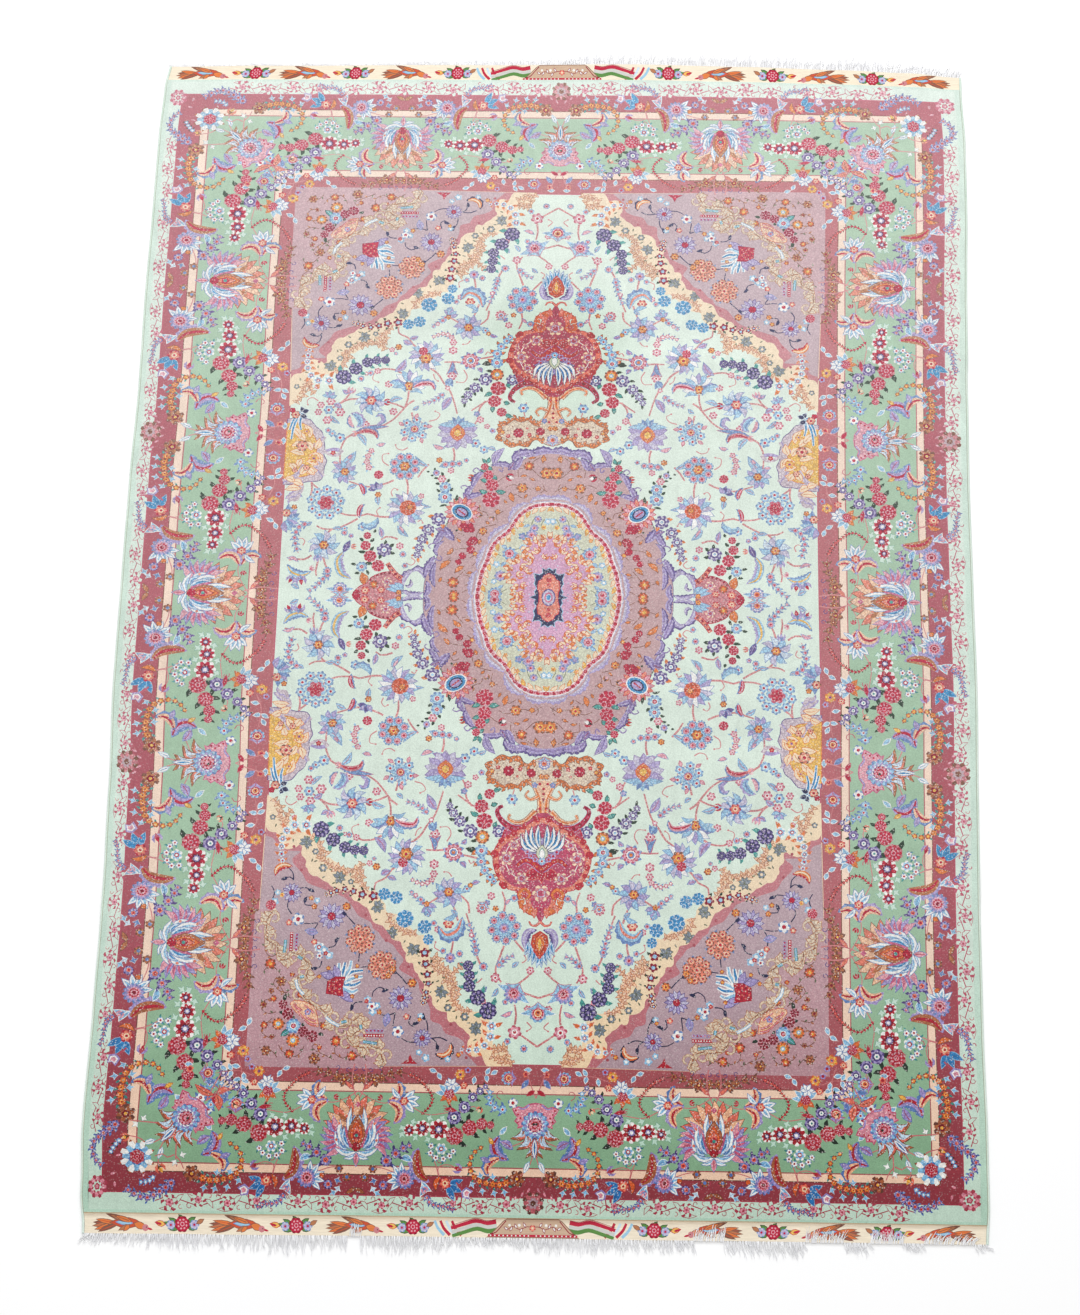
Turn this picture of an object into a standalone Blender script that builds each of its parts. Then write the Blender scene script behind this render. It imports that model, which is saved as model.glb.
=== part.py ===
"""Persian rug, about 2 x 3 m, lying flat: a knotted pile ground with flat-woven bands at
both ends, an overcast cord along each side, and a fringe of warp ends at each end.

Metres, +Z up. +Y runs along the rug to its far end, +X to its right side, and the origin is
under the middle of the rug, on the floor.

A place on the rug is given in weave coordinates: u runs from -1 at the left edge to 1 at the
right edge, and v is the distance in metres from the weave's middle line along the rug. The
function lie() says where such a place lies on the floor: a handmade rug is not quite
square, its ends bow, and its middle line sits a little towards the far end.
"""

import math
import random

import bmesh
import bpy
from mathutils import Vector

RUG_NAME = "persian_rug"

# The knotted ground and its end bands.
PILE_HALF_LENGTH = 1.459
BAND_HALF_LENGTH = 1.500
PILE_THICKNESS = 0.008
BAND_THICKNESS = 0.003
STEP_WIDTH = 0.001

# Borders, as the weave coordinate of each border's outer line (sides, ends).
ROSE_LINE = (0.953, 1.4155)
STRIPE_LINE = (0.898, 1.371)
GREEN_LINE = (0.879, 1.352)
INNER_STRIPE_LINE = (0.708, 1.190)
INNER_ROSE_LINE = (0.690, 1.171)
FIELD_LINE = (0.641, 1.125)

# The weave's middle line lies this far towards the far end.
DRIFT = 0.048
# The origin lies this far from the middle of a weave without drift, between the fringes.
CENTRE_Y = 0.0080

# How far each side edge stands from the rug's long centre line, by place along the rug.
SIDE_COLUMNS = ("along", "left", "right")
SIDE_EDGES = (
    (-1.50, 0.9920, 1.0060),
    (-1.41, 1.0025, 1.0110),
    (-1.25, 1.0100, 1.0105),
    (-1.00, 1.0050, 1.0060),
    (-0.72, 1.0025, 1.0050),
    (-0.45, 1.0065, 1.0075),
    (-0.18, 1.0145, 1.0105),
    (0.10, 1.0135, 1.0065),
    (0.35, 1.0120, 1.0035),
    (0.60, 1.0065, 1.0045),
    (0.85, 1.0075, 1.0080),
    (1.12, 1.0040, 1.0135),
    (1.30, 1.0025, 1.0135),
    (1.45, 0.9965, 1.0065),
    (1.53, 0.9850, 1.0060),
)

# How far the end bands' outer edges lie past a straight line, positive to the far end.
END_COLUMNS = ("u", "near", "far")
END_BOWS = (
    (-1.00, -0.008, 0.010),
    (-0.75, -0.006, 0.016),
    (-0.25, -0.002, 0.023),
    (0.20, -0.001, 0.030),
    (0.45, 0.001, 0.026),
    (0.70, 0.002, 0.019),
    (0.87, 0.003, 0.012),
    (1.00, 0.003, 0.000),
)
# The bow starts inside the end borders and grows by this power towards the edge.
BOW_START = 1.05
BOW_POWER = 4.5

# Soft ridges left by folding for storage: where each crosses the left and right edges, the
# width of its rise, and its height above the floor at each edge.
FOLD_COLUMNS = ("left_v", "right_v", "width", "left_height", "right_height")
FOLDS = (
    (0.60, 0.665, 0.050, 0.0012, 0.0034),
    (-0.05, -0.01, 0.060, 0.0012, 0.0010),
    (-0.77, -0.700, 0.050, 0.0026, 0.0034),
)
FOLD_FOOT = 0.0004

# Overcast cord along each side.
CORD_RADIUS = 0.003
GAP = 0.0003

# Fringe: a line of knots along each end band, with the locks of warp ends fused to it.
LOCKS = 132
ROOT_DEPTH = 0.006
ROOT_HEIGHT = 0.0026
ROOT_SHARE = 0.52
TIP_HALF_WIDTH = 0.0014
TIP_HEIGHT = 0.0012
LOCK_STEPS = (0.36, 0.70, 1.0)
FRINGE_INSET = 0.004

# How far the locks reach, and how far their tips lean to the right.
REACH_COLUMNS = ("u", "reach", "lean")
NEAR_REACH = (
    (-1.00, 0.024, -0.012),
    (-0.90, 0.027, -0.004),
    (-0.78, 0.036, 0.002),
    (-0.68, 0.031, 0.000),
    (-0.55, 0.042, 0.003),
    (-0.42, 0.034, 0.002),
    (-0.28, 0.038, -0.002),
    (-0.10, 0.024, 0.003),
    (0.10, 0.034, 0.001),
    (0.30, 0.026, 0.005),
    (0.52, 0.037, 0.006),
    (0.70, 0.028, 0.006),
    (0.88, 0.024, 0.008),
    (1.00, 0.020, 0.012),
)
FAR_REACH = (
    (-1.00, 0.012, -0.003),
    (-0.80, 0.009, -0.002),
    (-0.55, 0.010, -0.003),
    (-0.30, 0.016, -0.003),
    (-0.05, 0.021, 0.000),
    (0.12, 0.033, 0.002),
    (0.45, 0.035, 0.002),
    (0.75, 0.034, 0.004),
    (1.00, 0.026, 0.009),
)
REACH_JITTER = 0.16
LEAN_JITTER = 0.002

# Stretches of the near fringe whose locks have flopped back over the end band.
FLOPPED_COLUMNS = ("from_u", "to_u")
FLOPPED = ((-0.415, -0.385), (0.355, 0.425), (0.605, 0.685), (0.745, 0.82), (0.865, 0.975))
FLOP_CLEARANCE = 0.0005
FLOP_THICKNESS = 0.0018
FLOP_STEPS = (0.0, 0.5, 1.0)

# Colour, roughness and metallic value of each piece.
FINISHES = {
    "mint_pile": ((0.66, 0.78, 0.69, 1.0), 0.85, 0.0),
    "rose_pile": ((0.48, 0.15, 0.18, 1.0), 0.85, 0.0),
    "cream_pile": ((0.86, 0.74, 0.60, 1.0), 0.85, 0.0),
    "green_pile": ((0.40, 0.60, 0.42, 1.0), 0.85, 0.0),
    "field_pile": ((0.72, 0.83, 0.74, 1.0), 0.85, 0.0),
    "flat_weave": ((0.87, 0.79, 0.64, 1.0), 0.80, 0.0),
    "overcast_yarn": ((0.60, 0.74, 0.64, 1.0), 0.75, 0.0),
    "warp_cotton": ((0.90, 0.90, 0.91, 1.0), 0.80, 0.0),
}


def clear_scene():
    for obj in list(bpy.data.objects):
        bpy.data.objects.remove(obj, do_unlink=True)


def finish(name):
    colour, roughness, metallic = FINISHES[name]
    material = bpy.data.materials.new(name)
    material.use_nodes = True
    shader = material.node_tree.nodes["Principled BSDF"]
    shader.inputs["Base Color"].default_value = colour
    shader.inputs["Roughness"].default_value = roughness
    shader.inputs["Metallic"].default_value = metallic
    material.diffuse_color = colour
    return material


def smooth(share):
    share = min(max(share, 0.0), 1.0)
    return share * share * (3.0 - 2.0 * share)


def read_table(rows, columns, column, place):
    """The value of one column at a place along the table's first column."""
    index = columns.index(column)
    if place <= rows[0][0]:
        return rows[0][index]
    for before, after in zip(rows, rows[1:]):
        if place <= after[0]:
            share = smooth((place - before[0]) / (after[0] - before[0]))
            return before[index] + share * (after[index] - before[index])
    return rows[-1][index]


def side_distance(u, along):
    side = "left" if u < 0 else "right"
    return read_table(SIDE_EDGES, SIDE_COLUMNS, side, along)


def end_bow(u, v):
    end = "near" if v < 0 else "far"
    share = (abs(v) - BOW_START) / (BAND_HALF_LENGTH - BOW_START)
    return max(share, 0.0) ** BOW_POWER * read_table(END_BOWS, END_COLUMNS, end, u)


def fold_height(u, v):
    """How far the underside stands off the floor at the storage folds."""
    height = 0.0
    across = 0.5 * (u + 1.0)
    for row in FOLDS:
        fold = dict(zip(FOLD_COLUMNS, row))
        middle = fold["left_v"] + across * (fold["right_v"] - fold["left_v"])
        top = fold["left_height"] + across * (fold["right_height"] - fold["left_height"])
        rise = top * math.exp(-(((v - middle) / fold["width"]) ** 2))
        height += max(rise - FOLD_FOOT, 0.0)
    return height


def lie(u, v, inset=0.0):
    """Where a place of the weave lies: inset is its distance in from the side edge's line."""
    along = v + DRIFT * (1.0 - (v / BAND_HALF_LENGTH) ** 2) + end_bow(u, v)
    x = u * (side_distance(u, along) - inset)
    return Vector((x, along - CENTRE_Y, fold_height(u, v)))


def new_object(name, mesh, materials):
    for material in materials:
        mesh.materials.append(material)
    obj = bpy.data.objects.new(name, mesh)
    bpy.data.collections[RUG_NAME].objects.link(obj)
    return obj


# ---------------------------------------------------------------- knotted ground and bands


def mirrored(values):
    return sorted({-value for value in values} | set(values))


def ground_columns():
    lines = [line[0] for line in (ROSE_LINE, STRIPE_LINE, GREEN_LINE)]
    lines += [line[0] for line in (INNER_STRIPE_LINE, INNER_ROSE_LINE, FIELD_LINE)]
    return mirrored(lines + [1.0, 0.80, 0.48, 0.32, 0.16, 0.0])


def ground_rows():
    """Rows at the borders' lines, at each fold's rise, and evenly between them."""
    lines = [line[1] for line in (ROSE_LINE, STRIPE_LINE, GREEN_LINE)]
    lines += [line[1] for line in (INNER_STRIPE_LINE, INNER_ROSE_LINE, FIELD_LINE)]
    step = 0.5 * STEP_WIDTH
    lines += [PILE_HALF_LENGTH - step, PILE_HALF_LENGTH + step, BAND_HALF_LENGTH, 1.26]
    rows = mirrored(lines + [0.24, 0.40, 0.90, 1.01])
    for row in FOLDS:
        fold = dict(zip(FOLD_COLUMNS, row))
        middle = 0.5 * (fold["left_v"] + fold["right_v"])
        rows += [middle + share * fold["width"] for share in (-2.2, -1.2, -0.4, 0.4, 1.2, 2.2)]
    return sorted(rows)


def ground_finish(u, v):
    """Index of the finish that the middle of a face has, in the order of ground_materials()."""
    across, along = abs(u), abs(v)
    if along > PILE_HALF_LENGTH:
        return 0
    bands = (
        (FIELD_LINE, 1),
        (INNER_ROSE_LINE, 2),
        (INNER_STRIPE_LINE, 3),
        (GREEN_LINE, 4),
        (STRIPE_LINE, 3),
        (ROSE_LINE, 2),
    )
    for (side, end), index in bands:
        if across < side and along < end:
            return index
    return 5


def ground_materials():
    names = ("flat_weave", "field_pile", "rose_pile", "cream_pile", "green_pile", "mint_pile")
    return [finish(name) for name in names]


def rug_body():
    """One woven sheet, thick where it is knotted and thin at its flat-woven ends."""
    columns, rows = ground_columns(), ground_rows()
    bm = bmesh.new()
    across, along = len(columns) - 1, len(rows) - 1
    bmesh.ops.create_grid(bm, x_segments=across, y_segments=along, size=1.0)
    places = {}
    for vert in bm.verts:
        u = columns[round(0.5 * (vert.co.x + 1.0) * across)]
        v = rows[round(0.5 * (vert.co.y + 1.0) * along)]
        places[vert.index] = (u, v)
        vert.co = lie(u, v, inset=2.0 * CORD_RADIUS + GAP)
    for face in bm.faces:
        middle_u = sum(places[vert.index][0] for vert in face.verts) / len(face.verts)
        middle_v = sum(places[vert.index][1] for vert in face.verts) / len(face.verts)
        face.material_index = ground_finish(middle_u, middle_v)
    mesh = bpy.data.meshes.new("rug_body")
    bm.to_mesh(mesh)
    bm.free()

    obj = new_object("rug_body", mesh, ground_materials())
    thickness = obj.vertex_groups.new(name="thickness")
    for index, (_, v) in places.items():
        knotted = abs(v) < PILE_HALF_LENGTH
        thickness.add([index], 1.0 if knotted else BAND_THICKNESS / PILE_THICKNESS, "REPLACE")
    solid = obj.modifiers.new("Solidify", "SOLIDIFY")
    solid.thickness = PILE_THICKNESS
    solid.offset = 1.0
    solid.vertex_group = thickness.name
    return obj


# ---------------------------------------------------------------- overcast side cords


def side_cord(name, side):
    """A round cord of overcast yarn, laid against the edge of the knotted ground."""
    curve = bpy.data.curves.new(name, "CURVE")
    curve.dimensions = "3D"
    curve.bevel_depth = CORD_RADIUS
    curve.bevel_resolution = 2
    curve.use_fill_caps = True
    rows = ground_rows()
    spline = curve.splines.new("POLY")
    spline.points.add(len(rows) - 1)
    for v, point in zip(rows, spline.points):
        place = lie(side, v, inset=CORD_RADIUS)
        point.co = (place.x, place.y, place.z + CORD_RADIUS, 1.0)
    return new_object(name, curve, [finish("overcast_yarn")])


# ---------------------------------------------------------------- fringes


def flopped_back(u):
    for row in FLOPPED:
        stretch = dict(zip(FLOPPED_COLUMNS, row))
        if stretch["from_u"] <= u <= stretch["to_u"]:
            return True
    return False


def past_edge(u, end, distance):
    """The point on the floor that lies this far outside an end band's straight-sided edge."""
    columns = ground_columns()
    right = next(index for index in range(1, len(columns)) if u <= columns[index])
    before, after = columns[right - 1], columns[right]
    corner = lie(before, end * BAND_HALF_LENGTH, inset=FRINGE_INSET)
    next_corner = lie(after, end * BAND_HALF_LENGTH, inset=FRINGE_INSET)
    place = corner.lerp(next_corner, (u - before) / (after - before))
    return Vector((place.x, place.y + end * distance, 0.0))


def section(centre, heading, half_width, bottom, top):
    """Corners of a lock across its run: bottom left, bottom right, top right, top left."""
    side = Vector((heading.y, -heading.x, 0.0)).normalized() * half_width
    if side.x < 0.0:
        side = -side
    corners = []
    for height, shift in ((bottom, -side), (bottom, side), (top, side), (top, -side)):
        corners.append(Vector((centre.x + shift.x, centre.y + shift.y, height)))
    return corners


def lying_lock(u, end, reach, lean, half_width):
    """Sections of a lock that lies outwards, level on the floor."""
    root = past_edge(u, end, ROOT_DEPTH + GAP)
    sections = []
    for share in LOCK_STEPS:
        centre = root + Vector((lean * share * share, end * reach * share, 0.0))
        heading = Vector((2.0 * lean * share, end * reach, 0.0))
        width = half_width + share * (TIP_HALF_WIDTH - half_width)
        top = ROOT_HEIGHT + share * (TIP_HEIGHT - ROOT_HEIGHT)
        sections.append(section(centre, heading, width, 0.0, top))
    return sections


def flopped_lock(u, end, reach, lean, half_width):
    """Sections of a lock that turns up over its root and lies back on the end band."""
    root = past_edge(u, end, GAP)
    bottom = BAND_THICKNESS + FLOP_CLEARANCE
    sections = []
    for share in FLOP_STEPS:
        centre = root + Vector((lean * share * share, -end * reach * share, 0.0))
        heading = Vector((2.0 * lean * share, -end * reach, 0.0))
        width = half_width + share * (TIP_HALF_WIDTH - half_width)
        top = bottom + FLOP_THICKNESS * (1.0 - 0.4 * share)
        sections.append(section(centre, heading, width, bottom, top))
    return sections


def grow(bm, face, corners, sections):
    """Extrudes a face through the sections given, corner by corner."""
    for target in sections:
        face = bmesh.ops.extrude_discrete_faces(bm, faces=[face])["faces"][0]
        moves = []
        for vert in face.verts:
            nearest = min(range(4), key=lambda index: (vert.co - corners[index]).length)
            moves.append((vert, target[nearest]))
        for vert, place in moves:
            vert.co = place
        corners = target


def fringe(name, end, table, seed):
    """A row of knots along the end band, and the locks that grow out of it."""
    bm = bmesh.new()
    cells = 2 * LOCKS + 1
    bmesh.ops.create_grid(bm, x_segments=cells, y_segments=1, size=1.0)
    bmesh.ops.extrude_face_region(bm, geom=bm.faces[:], use_keep_orig=True)
    pitch = 2.0 / (LOCKS + 1.0 - ROOT_SHARE)

    def line_u(line):
        """Weave coordinate of a line between two cells: odd lines start a lock."""
        lock, inside = divmod(line - 1, 2)
        if line == 0:
            return -1.0
        if line == cells:
            return 1.0
        return -1.0 + pitch * (lock + 1.0 - ROOT_SHARE + inside * ROOT_SHARE)

    corner = {}
    bm.verts.ensure_lookup_table()
    half = len(bm.verts) // 2
    for index, vert in enumerate(bm.verts):
        line = round(0.5 * (vert.co.x + 1.0) * cells)
        outer = vert.co.y * end > 0
        upper = index >= half
        place = past_edge(line_u(line), end, GAP + (ROOT_DEPTH if outer else 0.0))
        vert.co = Vector((place.x, place.y, ROOT_HEIGHT if upper else 0.0))
        corner[line, outer, upper] = vert

    draw = random.Random(seed)
    for lock in range(LOCKS):
        left, right = 2 * lock + 1, 2 * lock + 2
        u = 0.5 * (line_u(left) + line_u(right))
        flop = end < 0 and flopped_back(u)
        bottom = [corner[left, not flop, flop], corner[right, not flop, flop]]
        top = [corner[right, True, True], corner[left, True, True]]
        root_face = bm.faces.get(bottom + top)
        reach = read_table(table, REACH_COLUMNS, "reach", u)
        reach *= 1.0 + draw.uniform(-REACH_JITTER, REACH_JITTER)
        lean = read_table(table, REACH_COLUMNS, "lean", u)
        lean += draw.uniform(-LEAN_JITTER, LEAN_JITTER)
        half_width = 0.5 * (top[0].co - top[1].co).length
        shape = flopped_lock if flop else lying_lock
        sections = shape(u, end, reach, lean, half_width)
        grow(bm, root_face, [vert.co.copy() for vert in bottom + top], sections)

    bmesh.ops.recalc_face_normals(bm, faces=bm.faces)
    mesh = bpy.data.meshes.new(name)
    bm.to_mesh(mesh)
    bm.free()
    return new_object(name, mesh, [finish("warp_cotton")])


def main():
    clear_scene()
    collection = bpy.data.collections.new(RUG_NAME)
    bpy.context.scene.collection.children.link(collection)
    rug_body()
    side_cord("selvedge_left", -1.0)
    side_cord("selvedge_right", 1.0)
    fringe("fringe_near", -1.0, NEAR_REACH, seed=11)
    fringe("fringe_far", 1.0, FAR_REACH, seed=23)


main()
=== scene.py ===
"""Looks of the Persian rug: its pile with the woven pattern, the flat-woven end bands, the
overcast sides and the fringes.

Metres, +Z up, in the frame of the solids: +Y runs along the rug to its far end.

The pattern is drawn on a flat chart of one quarter of the rug. A place on the chart is (u, v):
the distances in millimetres from the rug's long and cross middle lines. Shapes are laid on one
another, the last on top. Then the chart is turned to metres, cut into triangles along every
outline, mirrored to the other quarters, and laid on the rug by lie(), which knows how this one
is out of square.
"""

import math
import random

import bpy
import numpy as np
from mathutils import Euler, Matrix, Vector
from mathutils.geometry import delaunay_2d_cdt


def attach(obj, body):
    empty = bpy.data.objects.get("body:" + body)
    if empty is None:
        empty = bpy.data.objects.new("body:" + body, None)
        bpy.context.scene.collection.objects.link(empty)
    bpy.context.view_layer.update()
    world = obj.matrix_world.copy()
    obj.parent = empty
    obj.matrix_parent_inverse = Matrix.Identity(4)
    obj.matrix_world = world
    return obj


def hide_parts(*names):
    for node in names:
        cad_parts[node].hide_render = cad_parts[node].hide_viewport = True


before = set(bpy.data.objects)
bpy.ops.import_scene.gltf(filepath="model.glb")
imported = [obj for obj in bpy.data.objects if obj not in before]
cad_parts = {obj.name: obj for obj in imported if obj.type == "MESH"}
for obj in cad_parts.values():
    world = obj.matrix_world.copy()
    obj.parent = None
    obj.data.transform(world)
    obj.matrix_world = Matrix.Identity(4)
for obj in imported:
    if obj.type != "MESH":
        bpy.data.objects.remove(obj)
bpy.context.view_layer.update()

# ---------------------------------------------------------------- sizes

PILE_TOP = 0.008
GROUND_TOP = 0.003
CORD_RADIUS = 0.003
BAND_LINE = 1.459
END_LINE = 1.500
DRIFT = 0.048
CENTRE_Y = 0.0080

# A millimetre of the chart, and the chart's lines between the borders (sides, ends).
MM = 0.001
GUARD_LINE = (1000, 1459)
ROSE_LINE = (949, 1415.5)
STRIPE_LINE = (899, 1371)
GREEN_LINE = (880, 1352)
INNER_STRIPE_LINE = (708, 1190)
INNER_ROSE_LINE = (690, 1171)
FIELD_LINE = (642, 1125)

# Where the chart's lines lie on this rug, left and right of its middle line, as shares of the
# distance to the side edge.
ACROSS_COLUMNS = ("u", "left", "right")
ACROSS = (
    (0.000, -0.0035, 0.0035),
    (0.642, 0.6320, 0.6400),
    (0.690, 0.6835, 0.6885),
    (0.708, 0.7020, 0.7065),
    (0.880, 0.8800, 0.8790),
    (0.899, 0.9010, 0.8965),
    (0.949, 0.9570, 0.9480),
    (1.000, 1.0000, 1.0000),
)

# How far each side edge stands from the rug's long centre line, by place along the rug.
SIDE_COLUMNS = ("along", "left", "right")
SIDE_EDGES = (
    (-1.50, 0.9920, 1.0060),
    (-1.41, 1.0025, 1.0110),
    (-1.25, 1.0100, 1.0105),
    (-1.00, 1.0050, 1.0060),
    (-0.72, 1.0025, 1.0050),
    (-0.45, 1.0065, 1.0075),
    (-0.18, 1.0145, 1.0105),
    (0.10, 1.0135, 1.0065),
    (0.35, 1.0120, 1.0035),
    (0.60, 1.0065, 1.0045),
    (0.85, 1.0075, 1.0080),
    (1.12, 1.0040, 1.0135),
    (1.30, 1.0025, 1.0135),
    (1.45, 0.9965, 1.0065),
    (1.53, 0.9850, 1.0060),
)

# How far the end bands' outer edges lie past a straight line, positive to the far end.
END_COLUMNS = ("u", "near", "far")
END_BOWS = (
    (-1.00, -0.008, 0.010),
    (-0.75, -0.006, 0.016),
    (-0.25, -0.002, 0.023),
    (0.20, -0.001, 0.030),
    (0.45, 0.001, 0.026),
    (0.70, 0.002, 0.019),
    (0.87, 0.003, 0.012),
    (1.00, 0.003, 0.000),
)
BOW_START = 1.05
BOW_POWER = 4.5

# Soft ridges left by folding for storage.
FOLD_COLUMNS = ("left_v", "right_v", "width", "left_height", "right_height")
FOLDS = (
    (0.60, 0.665, 0.050, 0.0012, 0.0034),
    (-0.05, -0.01, 0.060, 0.0012, 0.0010),
    (-0.77, -0.700, 0.050, 0.0026, 0.0034),
)
FOLD_FOOT = 0.0004

# Spacing of the points that let the pile follow the folds and the uneven sides.
GRID_STEP = 0.018

# Points nearer than this become one, and lie exactly on a border's line when this near to it.
# Bends flatter than the last are drawn straight.
MERGE = 1e-4
SNAP = 1.4e-4
STRAIGHT = 2e-4


# ---------------------------------------------------------------- how the rug lies


def smooth(share):
    share = np.clip(share, 0.0, 1.0)
    return share * share * (3.0 - 2.0 * share)


def read_table(rows, columns, column, place):
    """One column's values at places along the table's first column, smooth between rows."""
    table = np.array(rows, float)
    index = columns.index(column)
    after = np.clip(np.searchsorted(table[:, 0], place), 1, len(table) - 1)
    start, stop = table[after - 1], table[after]
    share = smooth((place - start[..., 0]) / (stop[..., 0] - start[..., 0]))
    return start[..., index] + share * (stop[..., index] - start[..., index])


def side_distance(side, along):
    left = read_table(SIDE_EDGES, SIDE_COLUMNS, "left", along)
    right = read_table(SIDE_EDGES, SIDE_COLUMNS, "right", along)
    return np.where(side < 0, left, right)


def end_bow(side, v):
    near = read_table(END_BOWS, END_COLUMNS, "near", side)
    far = read_table(END_BOWS, END_COLUMNS, "far", side)
    share = np.maximum(np.abs(v) - BOW_START, 0.0) / (END_LINE - BOW_START)
    return share**BOW_POWER * np.where(v < 0, near, far)


def fold_height(side, v):
    """How far the underside stands off the floor at the storage folds."""
    height = np.zeros_like(v)
    across = 0.5 * (side + 1.0)
    for row in FOLDS:
        fold = dict(zip(FOLD_COLUMNS, row))
        middle = fold["left_v"] + across * (fold["right_v"] - fold["left_v"])
        top = fold["left_height"] + across * (fold["right_height"] - fold["left_height"])
        rise = top * np.exp(-(((v - middle) / fold["width"]) ** 2))
        height += np.maximum(rise - FOLD_FOOT, 0.0)
    return height


def across_share(u):
    """The share of the way to the side edge at which a chart distance lies."""
    column = dict(zip(ACROSS_COLUMNS, np.array(ACROSS).T))
    left = np.interp(np.abs(u), column["u"], column["left"])
    right = np.interp(np.abs(u), column["u"], column["right"])
    return np.where(u < 0, -left, right)


def lie(u, v, height, inset=2.0 * CORD_RADIUS):
    """Points on the rug for places of the chart, at a height above its underside."""
    side = across_share(u)
    along = v + DRIFT * (1.0 - (v / END_LINE) ** 2) + end_bow(side, v)
    x = side * (side_distance(side, along) - inset)
    return np.stack([x, along - CENTRE_Y, fold_height(side, v) + height], -1)


# ---------------------------------------------------------------- dyes

# Dyed wools and silks, as red, green and blue of 255.
DYES = {
    "field": (211, 226, 213),
    "guard": (208, 224, 212),
    "guard_edge": (198, 220, 206),
    "green": (156, 187, 159),
    "cream": (236, 214, 182),
    "stripe": (238, 212, 192),
    "ivory": (244, 231, 208),
    "white": (240, 240, 236),
    "rose": (168, 82, 94),
    "old_rose": (178, 98, 105),
    "light_rose": (206, 132, 138),
    "pink": (228, 166, 178),
    "deep_pink": (208, 112, 142),
    "mauve": (187, 163, 170),
    "corner": (196, 160, 166),
    "ring": (191, 156, 158),
    "khaki": (208, 212, 186),
    "magenta": (212, 160, 192),
    "crimson": (190, 34, 64),
    "maroon": (146, 16, 50),
    "pendant": (192, 76, 106),
    "salmon": (232, 138, 116),
    "orange": (226, 126, 66),
    "gold": (238, 190, 96),
    "tan": (186, 122, 84),
    "brown": (134, 88, 72),
    "violet": (98, 82, 142),
    "violet_pale": (146, 128, 178),
    "lilac": (174, 162, 206),
    "steel": (116, 148, 196),
    "sky": (158, 202, 228),
    "bright": (64, 144, 196),
    "teal": (80, 160, 152),
    "dark_green": (44, 66, 50),
    "navy": (38, 42, 84),
    "vine": (204, 132, 134),
    "stem": (214, 142, 142),
    "line": (186, 88, 108),
    "black": (36, 26, 34),
    "peach": (240, 198, 164),
    "moss": (120, 124, 98),
    "slate": (132, 144, 156),
    "rose_patch": (192, 122, 130),
    "buff": (224, 206, 180),
    "orange_red": (206, 84, 52),
    "pale_blue": (206, 226, 238),
    "mist": (200, 196, 218),
    "silver": (206, 192, 200),
    "leaf_green": (92, 140, 70),
    "pale_grey": (206, 206, 200),
    "panel": (206, 176, 150),
}


def linear(value):
    """A colour value of 255 as light."""
    value /= 255.0
    return value / 12.92 if value <= 0.04045 else ((value + 0.055) / 1.055) ** 2.4


# How much fine drawing a dye carries: none in the plain grounds, all in the motifs.
GROUND_DRAWING = {
    "field": 0, "guard": 0, "guard_edge": 0, "green": 0.05, "cream": 0.2, "stripe": 0.15, "ivory": 0,
    "rose": 0.25, "old_rose": 0.3, "mauve": 0.4, "corner": 0.45, "ring": 0.5, "khaki": 0.6,
    "magenta": 0.7, "white": 0.5, "vine": 0.2, "line": 0.2, "rose_patch": 0.4, "panel": 0.3,
}
DYE_NAMES = list(DYES)
DYE_TABLE = np.array(
    [[*(linear(c) for c in DYES[n]), GROUND_DRAWING.get(n, 1)] for n in DYE_NAMES], np.float32
)

# ---------------------------------------------------------------- chart


def pairs(values):
    """Chart places from points, or from a flat row of their two distances in turn."""
    return np.asarray(values, float).reshape(-1, 2)


def threes(values):
    """Places and sizes (u, v, r) from a flat row of them."""
    return np.asarray(values, float).reshape(-1, 3)


class Chart:
    """Flat shapes of one dye each, laid on one another."""

    def __init__(self):
        self.shapes = []
        self.layout = np.array([[1.0, 0.0, 0.0], [0.0, 1.0, 0.0]])

    def lay(self, points, dye, bold=False):
        """Adds a shape, in millimetres. A bold one also shows on the back of the weave."""
        places = pairs(points) @ self.layout[:, :2].T + self.layout[:, 2]
        self.shapes.append((MM * places, DYE_NAMES.index(dye), bold))

    def triangles(self, box, only_bold=False, step=GRID_STEP, straight=STRAIGHT):
        """Cuts the shapes inside a box (u0, v0, u1, v1) into triangles with a dye each."""
        u0, v0, u1, v1 = box
        shapes = [(np.array([(u0, v0), (u1, v0), (u1, v1), (u0, v1)]), 0, True)]
        for places, dye, bold in self.shapes:
            low, high = places.min(0), places.max(0)
            outside = low[0] > u1 or high[0] < u0 or low[1] > v1 or high[1] < v0
            if not outside and (bold or not only_bold):
                shapes.append((places, dye, bold))
        edges, count = [], 0
        for places, _, _ in shapes:
            size = len(places)
            edges += [(count + i, count + (i + 1) % size) for i in range(size)]
            count += size
        points = np.concatenate([places for places, _, _ in shapes])
        points, tris, dyes = cut_apart(shapes, points, edges, box)
        points, edges = colour_edges(points, tris, dyes, straight)
        columns = np.linspace(u0, u1, max(2, round((u1 - u0) / step) + 1))
        rows = np.linspace(v0, v1, max(2, round((v1 - v0) / step) + 1))
        grid = np.stack(np.meshgrid(columns, rows), -1).reshape(-1, 2)
        return cut_apart(shapes, np.concatenate([points, grid]), edges, box)


def cut_apart(shapes, points, edges, box):
    """Triangles between the edges, inside the box, each with the dye of the topmost shape."""
    found = delaunay_2d_cdt([Vector(p) for p in points.tolist()], edges, [], 0, MERGE, True)
    places = snapped(np.array([tuple(p) for p in found[0]]))
    tris = np.array(found[2])
    middle = places[tris].mean(1)
    inside = (middle > box[:2]).all(1) & (middle < box[2:]).all(1)
    tris = tris[inside]
    return places, tris, painted(shapes, middle[inside])


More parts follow.
